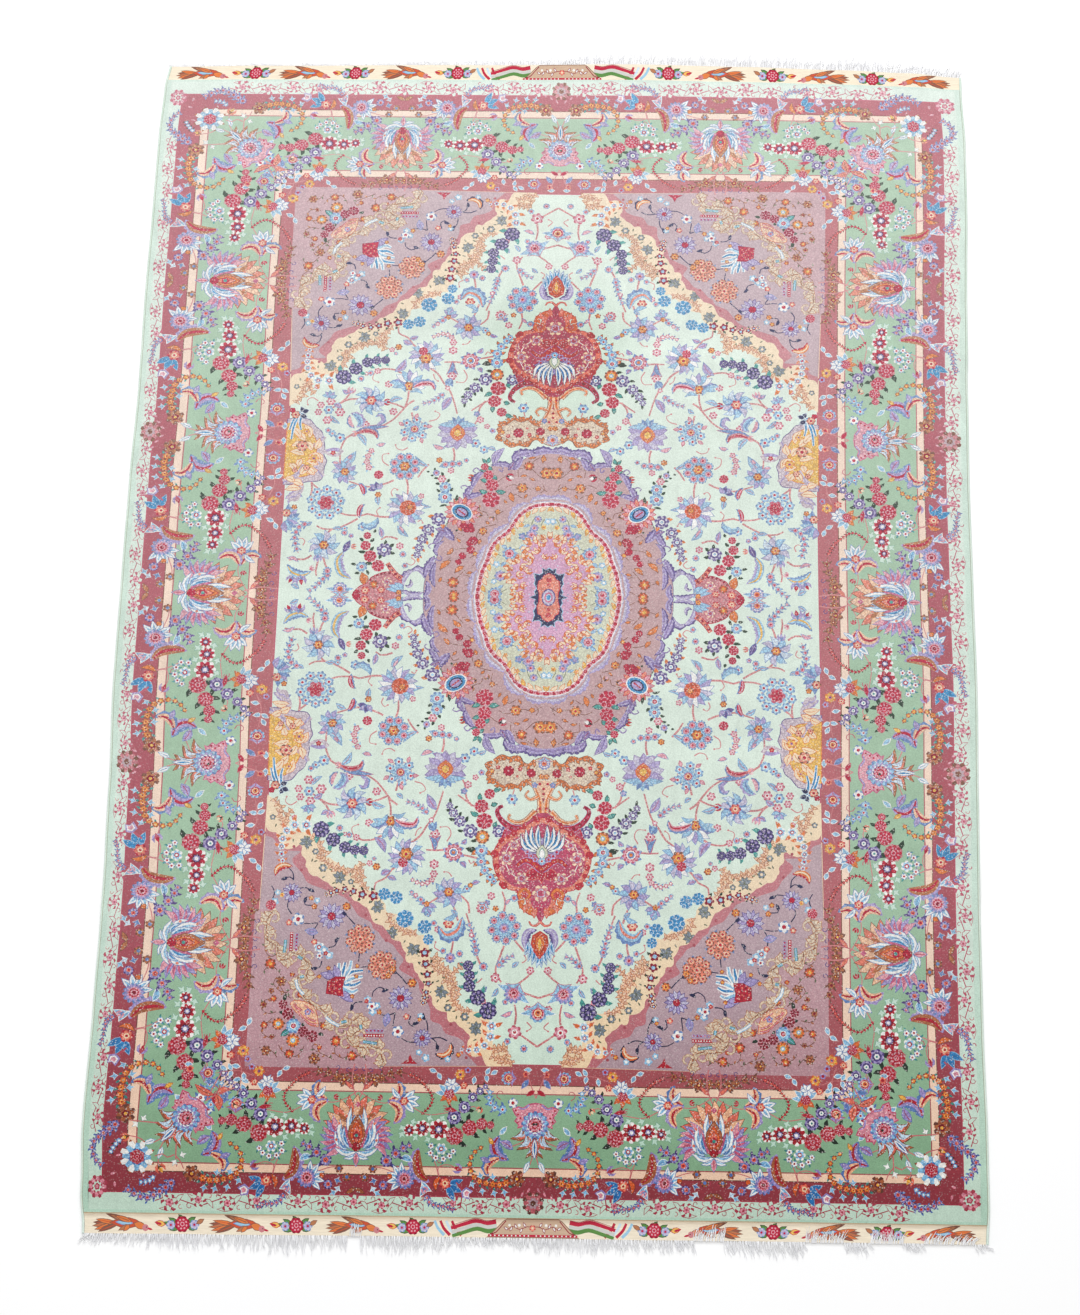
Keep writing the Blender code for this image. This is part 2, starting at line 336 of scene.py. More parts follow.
def snapped(places):
    """Moves points that all but lie on a border's line exactly onto it."""
    for axis in (0, 1):
        for place in (0.0, *(MM * line[axis] for line in PIECE_LINES)):
            near = np.abs(places[:, axis] - place) < SNAP
            places[near, axis] = place
    return places


def colour_edges(points, tris, dyes, straight):
    """Only those edges that part two dyes or bound the chart, with straight runs in one."""
    edges = np.sort(np.concatenate([tris[:, [0, 1]], tris[:, [1, 2]], tris[:, [2, 0]]]), axis=1)
    order = np.lexsort((edges[:, 1], edges[:, 0]))
    edges, sides = edges[order], np.concatenate([dyes, dyes, dyes])[order]
    twin = (edges[1:] == edges[:-1]).all(1)
    hidden = np.zeros(len(edges), bool)
    hidden[1:] |= twin & (sides[1:] == sides[:-1])
    hidden[:-1] |= twin & (sides[1:] == sides[:-1])
    repeat = np.concatenate([[False], twin])
    kept = edges[~hidden & ~repeat]
    around = {}
    for a, b in kept.tolist():
        around.setdefault(a, set()).add(b)
        around.setdefault(b, set()).add(a)
    places = points.tolist()
    for at in list(around):
        if len(around[at]) != 2:
            continue
        a, b = around[at]
        (ax, ay), (bx, by), (x, y) = places[a], places[b], places[at]
        run = math.hypot(bx - ax, by - ay)
        off = abs((bx - ax) * (y - ay) - (by - ay) * (x - ax))
        if b in around[a] or off > straight * run:
            continue
        around[a].discard(at)
        around[b].discard(at)
        around[a].add(b)
        around[b].add(a)
        del around[at]
    index = {at: k for k, at in enumerate(around)}
    found = [(index[a], index[b]) for a in around for b in around[a] if a < b]
    return points[list(around)], found


def painted(shapes, points):
    """The dye of the last shape that lies over each point."""
    order = np.argsort(points[:, 1])
    points = points[order]
    dyes = np.zeros(len(points), int)
    for places, dye, _ in shapes:
        (left, low), (right, high) = places.min(0), places.max(0)
        start, stop = np.searchsorted(points[:, 1], (low, high))
        near = start + np.nonzero((points[start:stop, 0] > left) & (points[start:stop, 0] < right))[0]
        dyes[near[covers(places, points[near])]] = dye
    found = np.empty_like(dyes)
    found[order] = dyes
    return found


def covers(outline, points):
    """Which points lie inside a closed outline."""
    x, y = points[:, :1], points[:, 1:]
    start, stop = outline, np.roll(outline, -1, 0)
    rise = stop[:, 1] - start[:, 1]
    slope = (stop[:, 0] - start[:, 0]) / np.where(rise == 0, 1.0, rise)
    passed = ((start[:, 1] > y) != (stop[:, 1] > y)) & (x < start[:, 0] + slope * (y - start[:, 1]))
    return passed.sum(1) % 2 == 1


PIECE_LINES = (GUARD_LINE, ROSE_LINE, GREEN_LINE, INNER_STRIPE_LINE, FIELD_LINE)

# ---------------------------------------------------------------- shapes of the motifs

# Width of the line round a motif, spacing of the points on a curve, and the radius below which
# a layer of a flower is too small to knot.
OUTLINE = 1.35
CURVE_STEP = 7
LEAST_LAYER = 1.8


def heading_frame(u, v, heading):
    """Turns points (forward, left) into chart places round (u, v). Heading 90 is along +v."""
    angle = math.radians(heading)
    forward = np.array([math.cos(angle), math.sin(angle)])
    left = np.array([-forward[1], forward[0]])
    return lambda points: np.array([u, v]) + np.asarray(points) @ np.stack([forward, left])


def smooth_path(points, step=CURVE_STEP):
    """Points along a smooth curve through the given ones."""
    control = pairs(points)
    if len(control) < 3:
        return control
    padded = np.vstack([2 * control[0] - control[1], control, 2 * control[-1] - control[-2]])
    path = [control[0]]
    for a, b, c, d in zip(padded, padded[1:], padded[2:], padded[3:]):
        parts = max(1, round(np.linalg.norm(c - b) / step))
        for part in range(1, parts + 1):
            t = part / parts
            path.append(
                0.5 * (2 * b + (c - a) * t + (2 * a - 5 * b + 4 * c - d) * t * t
                       + (3 * b - a - 3 * c + d) * t ** 3)
            )
    return np.array(path)


def sideways(path):
    """Unit vectors to the left of a path at each of its points."""
    run = np.gradient(path, axis=0)
    run /= np.maximum(np.linalg.norm(run, axis=1), 1e-9)[:, None]
    return np.stack([-run[:, 1], run[:, 0]], -1)


def spaced(points, pitch, start=0.5):
    """Places at even distances along a path, with the path's heading at each."""
    path = smooth_path(points, 4)
    runs = np.linalg.norm(np.diff(path, axis=0), axis=1)
    gone = np.concatenate([[0.0], np.cumsum(runs)])
    found = []
    distance = start * pitch
    while distance < gone[-1]:
        place = [np.interp(distance, gone, path[:, axis]) for axis in (0, 1)]
        ahead = [np.interp(distance + 2, gone, path[:, axis]) for axis in (0, 1)]
        behind = [np.interp(distance - 2, gone, path[:, axis]) for axis in (0, 1)]
        heading = math.degrees(math.atan2(ahead[1] - behind[1], ahead[0] - behind[0]))
        found.append((place[0], place[1], heading, distance / gone[-1]))
        distance += pitch
    return found


def line(chart, points, dye, width=2.2, taper=0.6, step=CURVE_STEP, bold=False):
    """A vine, stem or outline: quads along a smooth path, thinner at its end."""
    path = smooth_path(points, step)
    share = np.linspace(0.0, 1.0, len(path))[:, None]
    half = 0.5 * width * (1.0 - (1.0 - taper) * share)
    side = sideways(path) * half
    left, right = path + side, path - side
    for i in range(len(path) - 1):
        chart.lay([right[i], right[i + 1], left[i + 1], left[i]], dye, bold)


def spot(chart, u, v, r, dye, sides=7, bold=False):
    angles = np.arange(sides) * 2 * math.pi / sides
    chart.lay(np.stack([u + r * np.cos(angles), v + r * np.sin(angles)], -1), dye, bold)


# The half width of a leaf at shares of its length.
LEAF_SHAPE = ((0, 0), (0.16, 0.62), (0.40, 1), (0.66, 0.86), (0.86, 0.42), (1, 0))
SMALL_LEAF_SHAPE = ((0, 0), (0.28, 0.9), (0.68, 0.8), (1, 0))
# The longest leaf that is drawn in the small shape.
SMALL_LEAF = 27


def leaf(chart, start, end, width, dye, rim=None, rib=None, bend=0.0, bold=False):
    """A pointed leaf from its stalk to its tip, bent to its left by a share of its length."""
    start, end = np.array(start, float), np.array(end, float)
    axis = end - start
    length = max(np.linalg.norm(axis), 1e-6)
    ahead = axis / length
    left = np.array([-ahead[1], ahead[0]])
    fullness = LEAF_SHAPE if length > SMALL_LEAF else SMALL_LEAF_SHAPE

    def outline(grow):
        edge = []
        for side in (1.0, -1.0):
            run = fullness if side > 0 else fullness[-2:0:-1]
            for along, full in run:
                middle = start + axis * along + left * bend * length * 4 * along * (1 - along)
                reach = along * 2 - 1
                edge.append(middle + left * side * (0.5 * width * full + grow * (full > 0))
                            + ahead * grow * 2.0 * reach * (full == 0))
        return edge

    if rim:
        chart.lay(outline(OUTLINE), rim, bold)
    chart.lay(outline(0.0), dye, bold and not rim)
    if rib:
        line(chart, [start + axis * 0.15 + left * bend * length * 0.5,
            start + axis * 0.5 + left * bend * length, start + axis * 0.85 + left * bend * length * 0.5],
            rib, 1.8, 0.5)


# The layers of a flower from its rim inwards: share of its radius, dye, depth of the petals.
FLOWERS = {
    "blue": (6, ((1.0, "steel", 0.30), (0.86, "sky", 0.34), (0.42, "white", 0.2),
        (0.28, "crimson", 0.0))),
    "sky": (6, ((1.0, "white", 0.30), (0.80, "sky", 0.34), (0.40, "crimson", 0.1), (0.22, "white", 0.0))),
    "snow": (5, ((1.0, "steel", 0.30), (0.84, "white", 0.34), (0.34, "crimson", 0.0))),
    "lilac": (8, ((1.0, "steel", 0.24), (0.88, "lilac", 0.28), (0.46, "pink", 0.2),
        (0.26, "crimson", 0.0))),
    "orange_lilac": (8, ((1.0, "violet", 0.24), (0.86, "lilac", 0.28), (0.60, "steel", 0.3),
        (0.46, "salmon", 0.2), (0.24, "crimson", 0.0))),
    "violet": (7, ((1.0, "violet", 0.22), (0.90, "lilac", 0.26), (0.62, "violet", 0.1),
        (0.36, "white", 0.0), (0.16, "teal", 0.0))),
    "crimson": (8, ((1.0, "maroon", 0.22), (0.90, "crimson", 0.26), (0.56, "maroon", 0.4),
        (0.40, "crimson", 0.0), (0.16, "pink", 0.0))),
    "carnation": (9, ((1.0, "light_rose", 0.24), (0.92, "crimson", 0.30), (0.64, "pink", 0.34),
        (0.54, "crimson", 0.26), (0.30, "pink", 0.3), (0.18, "crimson", 0.0))),
    "maroon": (8, ((1.14, "white", 0.22), (1.02, "crimson", 0.34), (0.66, "maroon", 0.36),
        (0.44, "navy", 0.0), (0.36, "lilac", 0.3), (0.20, "white", 0.0))),
    "orange": (6, ((1.0, "brown", 0.30), (0.84, "orange", 0.34), (0.44, "gold", 0.2),
        (0.24, "crimson", 0.0))),
    "gold": (6, ((1.0, "orange", 0.30), (0.82, "gold", 0.34), (0.38, "salmon", 0.1),
        (0.2, "violet", 0.0))),
    "tan": (6, ((1.0, "brown", 0.42), (0.86, "tan", 0.46), (0.40, "maroon", 0.2), (0.18, "gold", 0.0))),
    "salmon": (6, ((1.0, "crimson", 0.28), (0.84, "salmon", 0.32), (0.42, "cream", 0.2),
        (0.22, "crimson", 0.0))),
    "pink": (6, ((1.0, "line", 0.28), (0.82, "pink", 0.32), (0.42, "white", 0.2),
        (0.24, "crimson", 0.0))),
    "guard": (6, ((1.0, "line", 0.40), (0.88, "guard", 0.44), (0.50, "line", 0.3), (0.40, "pink", 0.2),
        (0.16, "line", 0.0))),
    "dusty": (8, ((1.0, "brown", 0.34), (0.88, "light_rose", 0.38), (0.50, "mauve", 0.3),
        (0.26, "brown", 0.0))),
    "gold_dot": (5, ((1.0, "gold", 0.30), (0.46, "orange", 0.0))),
    "red_dot": (5, ((1.0, "crimson", 0.30), (0.46, "salmon", 0.0))),
    "salmon_dot": (5, ((1.0, "salmon", 0.30), (0.50, "crimson", 0.0))),
    "sky_dot": (5, ((1.0, "sky", 0.30), (0.46, "white", 0.0))),
    "steel_dot": (5, ((1.0, "steel", 0.32), (0.5, "lilac", 0.0))),
    "lilac_dot": (5, ((1.0, "lilac", 0.30), (0.5, "crimson", 0.0))),
    "white_dot": (5, ((1.0, "white", 0.30), (0.42, "crimson", 0.0))),
    "slate": (6, ((1.0, "moss", 0.30), (0.84, "slate", 0.36), (0.36, "cream", 0.0))),
    "grape": (5, ((1.0, "navy", 0.20), (0.74, "violet", 0.2), (0.40, "lilac", 0.0))),
    "red_star": (5, ((1.10, "cream", 0.26), (0.96, "maroon", 0.36), (0.40, "sky", 0.0))),
    "outline": (6, ((1.0, "cream", 0.32), (0.86, "light_rose", 0.34), (0.54, "mist", 0.3),
        (0.40, "pendant", 0.2))),
    "violet_ring": (7, ((1.0, "violet", 0.22), (0.80, "mist", 0.26), (0.62, "violet", 0.2),
        (0.36, "white", 0.0), (0.2, "sky", 0.0))),
    "gold_daisy": (9, ((1.0, "brown", 0.24), (0.90, "orange", 0.28), (0.52, "gold", 0.2),
        (0.34, "sky", 0.0), (0.18, "white", 0.0))),
    "sky_daisy": (8, ((1.0, "steel", 0.22), (0.88, "sky", 0.28), (0.44, "white", 0.2),
        (0.34, "crimson", 0.0), (0.18, "pink", 0.0))),
    "orange_brown": (7, ((1.0, "brown", 0.30), (0.84, "orange_red", 0.34), (0.52, "orange", 0.3),
        (0.28, "gold", 0.0))),
    "orange_red": (6, ((1.0, "brown", 0.26), (0.88, "salmon", 0.30), (0.60, "peach", 0.3),
        (0.30, "crimson", 0.0))),
    "full_rose": (8, ((1.0, "maroon", 0.16), (0.90, "crimson", 0.20), (0.66, "pink", 0.30),
        (0.54, "crimson", 0.24), (0.30, "pink", 0.2), (0.18, "crimson", 0.0))),
    "lilac_rose": (6, ((1.0, "steel", 0.22), (0.86, "mist", 0.26), (0.52, "lilac", 0.2),
        (0.26, "crimson", 0.0))),
    # Palmettes, seen from the side.
    "palmette": (11, ((1.0, "steel", 0.16), (0.90, "lilac", 0.20), (0.70, "white", 0.12),
        (0.62, "steel", 0.16), (0.48, "pink", 0.10), (0.38, "orange", 0.14), (0.20, "crimson", 0.0))),
    "red_palmette": (11, ((1.0, "sky", 0.18), (0.88, "steel", 0.20), (0.72, "pink", 0.10),
        (0.62, "crimson", 0.16), (0.44, "cream", 0.08), (0.34, "orange", 0.12), (0.16, "maroon", 0.0))),
    "carnation_palmette": (13, ((1.0, "steel", 0.26), (0.92, "lilac", 0.30), (0.62, "pink", 0.24),
        (0.46, "crimson", 0.2), (0.34, "pink", 0.2), (0.20, "maroon", 0.0))),
    "pink_palmette": (11, ((1.0, "line", 0.18), (0.88, "pink", 0.22), (0.64, "crimson", 0.12),
        (0.54, "white", 0.10), (0.42, "steel", 0.14), (0.22, "orange", 0.0))),
    "blue_pink": (9, ((1.0, "steel", 0.20), (0.86, "sky", 0.24), (0.62, "line", 0.12),
        (0.52, "pink", 0.14), (0.28, "crimson", 0.0))),
    "rosette": (13, ((1.0, "steel", 0.22), (0.94, "sky", 0.26), (0.78, "lilac", 0.26),
        (0.60, "white", 0.12), (0.54, "violet", 0.12), (0.49, "pink", 0.14), (0.30, "crimson", 0.2),
        (0.18, "pink", 0.0))),
    "star": (8, ((1.0, "white", 0.46), (0.86, "sky", 0.48), (0.52, "bright", 0.30), (0.46, "line", 0.0),
        (0.40, "pink", 0.2), (0.26, "crimson", 0.2), (0.12, "pink", 0.0))),
    "guard_corner": (8, ((1.0, "line", 0.34), (0.88, "pink", 0.38), (0.56, "line", 0.3),
        (0.48, "guard", 0.3), (0.30, "line", 0.2), (0.16, "pink", 0.0))),
}


def petal_outline(petals, depth, per_petal):
    """Directions and reaches of a ring of rounded petals, of radius 1."""
    points = []
    for index in range(petals * per_petal):
        angle = 2 * math.pi * index / (petals * per_petal)
        inside = (index % per_petal) / per_petal
        reach = 1.0 - depth * (1.0 - math.sin(math.pi * inside) ** 0.8)
        points.append((angle, reach))
    return points


def flower(chart, u, v, r, kind, heading=90.0, fan=0.0, turn=0.0, only=None):
    """A flower of one of the kinds above. Fan, 0 to 0.4, makes it a palmette that opens towards
    its heading: the petals reach further there than at its stalk."""
    petals, layers = FLOWERS[kind]
    place = heading_frame(u, v, heading)
    if r < 9:
        petals = min(petals, 5)
    for index, (share, dye, depth) in enumerate(layers):
        reach = share * r
        if reach < LEAST_LAYER or (only and index >= only):
            continue
        count = petals if share > 0.5 or depth > 0.25 else max(5, petals - 3)
        per_petal = 3 if depth and reach > 5 else 2
        if not depth:
            count, per_petal = 6, 1
        points = []
        for angle, size in petal_outline(count, depth, per_petal):
            angle += math.radians(turn) + index * 0.35
            stretch = 1.0 - fan + fan * math.cos(angle)
            points.append((reach * size * stretch * math.cos(angle),
                reach * size * stretch * math.sin(angle)))
        shift = np.array([fan * r * 0.35 * (1.0 - share), 0.0])
        chart.lay(place(np.array(points) + shift), dye, bold=index < 2 and r > 20)


def palmette(chart, u, v, r, kind, heading, calyx="steel", wings=None):
    """A palmette with two curled leaves at its stalk, and two larger wings if they have a dye."""
    place = heading_frame(u, v, heading)
    if wings:
        for side in (1.0, -1.0):
            tip = place([(0.15 * r, side * 1.55 * r)])[0]
            root = place([(-0.75 * r, side * 0.1 * r)])[0]
            leaf(chart, root, tip, 0.55 * r, wings, rim="white", rib="steel", bend=-0.22 * side, bold=r > 20)
    flower(chart, u, v, r, kind, heading, fan=0.22)
    for side in (1.0, -1.0):
        root = place([(-0.85 * r, 0.0)])[0]
        tip = place([(-0.30 * r, side * 0.95 * r)])[0]
        leaf(chart, root, tip, 0.30 * r, calyx, rim="line", bend=-0.25 * side)


def feather(chart, start, end, width, bend=0.0, dye="white", heart="sky", rim="steel", bold=False):
    """A long curled petal with a stripe of another dye along its middle."""
    leaf(chart, start, end, width, dye, rim=rim, bend=bend, bold=bold)
    start, end = np.array(start, float), np.array(end, float)
    leaf(chart, start * 0.88 + end * 0.12, start * 0.14 + end * 0.86, 0.46 * width, heart, bend=bend)


def fringe_leaf(chart, points, width, dye, frill, inner=None, teeth=5.5):
    """A curved saw-edged leaf along a path: a frill on its left side, a plain right side."""
    bold = width > 20
    path = smooth_path(points, teeth)
    share = np.linspace(0.0, 1.0, len(path))
    full = np.sin(np.pi * np.clip(share, 0.0, 1.0)) ** 0.7
    left = sideways(path)
    saw = np.where(np.arange(len(path)) % 2 == 0, 1.0, 0.45)
    outer = path + left * (full * width * (0.5 + 0.42 * saw))[:, None]
    body = path + left * (full * width * 0.42)[:, None]
    ridge = path + left * (full * width * 0.08)[:, None]
    right = path - left * (full * width * 0.5)[:, None]
    chart.lay(np.vstack([right, outer[::-1]]), frill, bold)
    chart.lay(np.vstack([right[1:-1], body[-2:0:-1]]), dye)
    if inner:
        low = path - left * (full * width * 0.22)[:, None]
        chart.lay(np.vstack([low[1:-1], ridge[-2:0:-1]]), inner)


def bud(chart, u, v, r, heading, dye, calyx="dark_green", tip=None):
    """A closed bud of three petals in its calyx."""
    place = heading_frame(u, v, heading)
    back, front = place([(-r, 0.0)])[0], place([(r, 0.0)])[0]
    for side in (1.0, -1.0):
        leaf(chart, back, place([(0.9 * r, side * 0.75 * r)])[0], 0.7 * r, dye, bend=0.2 * side)
    leaf(chart, back, front, 0.9 * r, tip or dye)
    for side in (1.0, -1.0):
        leaf(chart, place([(-1.3 * r, 0.0)])[0], place([(0.1 * r, side * 0.7 * r)])[0], 0.4 * r, calyx,
            bend=-0.2 * side)


def star_leaf(chart, u, v, r, heading, dye, rim=None):
    """A small leaf of three points."""
    place = heading_frame(u, v, heading)
    for grow, paint in ((OUTLINE / max(r, 1e-4), rim), (0.0, dye)):
        if not paint:
            continue
        k = 1.0 + grow
        chart.lay(place(np.array([(-0.8, 0.0), (-0.35, -0.35), (0.1, -0.9), (0.15, -0.3), (1.0, 0.0),
            (0.15, 0.3), (0.1, 0.9), (-0.35, 0.35)]) * r * k), paint)


def wreath(chart, u, v, ring, count, r, kind, middle, middle_r, turn=0.0):
    """Small flowers in a ring round a larger one, on a ring of stem."""
    angles = [math.radians(turn) + 2 * math.pi * k / count for k in range(count)]
    stem = [(u + ring * math.cos(a), v + ring * math.sin(a)) for a in angles + angles[:1]]
    line(chart, stem, "vine", 1.8, 1.0)
    for angle in angles:
        spot(chart, u + 0.54 * ring * math.cos(angle + 0.4), v + 0.54 * ring * math.sin(angle + 0.4),
            0.56 * r, FLOWERS[kind][1][1][1], 6)
    for angle in angles:
        flower(chart, u + ring * math.cos(angle), v + ring * math.sin(angle), r, kind,
            turn=math.degrees(angle))
    flower(chart, u, v, middle_r, middle)


def garland(chart, points, start_r, end_r, kind, leaves=None, stem="vine", crowd=1.75, tilt=55):
    """Flowers strung on a curved stem, from one size to another, with leaves on both sides."""
    line(chart, points, stem, 2, 1.0)
    pitch = crowd * 0.5 * (start_r + end_r)
    for index, (u, v, heading, share) in enumerate(spaced(points, pitch)):
        r = start_r + (end_r - start_r) * share
        if leaves:
            for side in (1.0, -1.0):
                angle = math.radians(heading + side * tilt)
                root = (u + 0.4 * r * math.cos(angle), v + 0.4 * r * math.sin(angle))
                tip = (u + 1.75 * r * math.cos(angle), v + 1.75 * r * math.sin(angle))
                leaf(chart, root, tip, 0.62 * r, leaves, bend=0.12 * side)
        flower(chart, u, v, r, kind, turn=index * 40.0)


def blooms(chart, rows, kind, leaves=None, rim=None, reach=1.75):
    """Flowers at given places and sizes (u, v, r), with a pair of leaves beside each."""
    places = threes(rows)
    run = np.gradient(places[:, :2], axis=0) if len(places) > 1 else np.array([[1.0, 0.0]])
    for index, (u, v, r) in enumerate(places):
        if leaves:
            base = math.atan2(run[index][1], run[index][0])
            for side in (1.0, -1.0):
                angle = base + side * 1.15
                root = (u + 0.5 * r * math.cos(angle), v + 0.5 * r * math.sin(angle))
                tip = (u + reach * r * math.cos(angle), v + reach * r * math.sin(angle))
                leaf(chart, root, tip, 0.62 * r, leaves, rim=rim, bend=0.15 * side)
    for index, (u, v, r) in enumerate(places):
        flower(chart, u, v, r, kind, turn=index * 33.0)


def outlined(chart, places, dye, rim, grow=OUTLINE, bold=True):
    """A region with a thin line of another dye round it."""
    places = pairs(places)
    run = np.roll(places, -1, 0) - np.roll(places, 1, 0)
    run /= np.maximum(np.linalg.norm(run, axis=1), 1e-9)[:, None]
    out = np.stack([run[:, 1], -run[:, 0]], -1)
    area = np.sum(places[:, 0] * np.roll(places[:, 1], -1) - np.roll(places[:, 0], -1) * places[:, 1])
    if area < 0:
        out = -out
    chart.lay(places + out * grow, rim, bold)
    chart.lay(places, dye, bold)


def scalloped(points, lobe, height, step=5):
    """A smooth path whose left side is drawn out into rounded lobes."""
    path = smooth_path(points, step)
    runs = np.concatenate([[0.0], np.cumsum(np.linalg.norm(np.diff(path, axis=0), axis=1))])
    lobes = max(1, round(runs[-1] / lobe))
    wave = np.abs(np.sin(np.pi * lobes * runs / runs[-1])) ** 0.7
    return path + sideways(path) * (height * wave)[:, None]


def both_sides(points):
    """A closed shape from its right half, mirrored at the long middle line."""
    half = pairs(points)
    return np.vstack([half, half[::-1] * (-1.0, 1.0)])

# ---------------------------------------------------------------- borders
#
# The borders repeat one half unit of the pattern, drawn in its own places (s, t): s runs along
# the border from a lotus palmette at 0 to a rosette palmette at 0.40, and t runs outwards from
# the inner edge of the green ground. Below 0 it runs over the inner rose guard.

UNIT = 400
END_LOTUS = 400
SIDE_LOTUSES = (0, 860)
SIDE_ROSETTE = 430
SIDE_ALONG = SIDE_ROSETTE / UNIT
SIDE_ACROSS = 1.065
CORNER_ROSETTE = (773, 1252)
ROSETTE_T = 63


def end_layout(place, direction):
    return np.array([[direction, 0, place], [0, 1, INNER_STRIPE_LINE[1]]])


def side_layout(place, direction):
    return np.array([[0, SIDE_ACROSS, INNER_STRIPE_LINE[0]], [direction * SIDE_ALONG, 0, place]])


def corner_layout():
    """The rosette palmette of the corner, turned to look outwards along the diagonal."""
    slope = math.sqrt(0.5)
    u, v = CORNER_ROSETTE
    return np.array([[-slope, slope, u - ROSETTE_T * slope], [slope, slope, v - ROSETTE_T * slope]])


def curl(chart, s, t, r, heading, dye="vine", turns=0.7, width=2):
    """A hooked tendril."""
    angles = np.linspace(math.radians(heading), math.radians(heading) + 2 * math.pi * turns, 6)
    reach = np.linspace(r, 0.45 * r, 6)
    line(chart, np.stack([s + reach * np.cos(angles), t + reach * np.sin(angles)], -1), dye, width, 0.8)


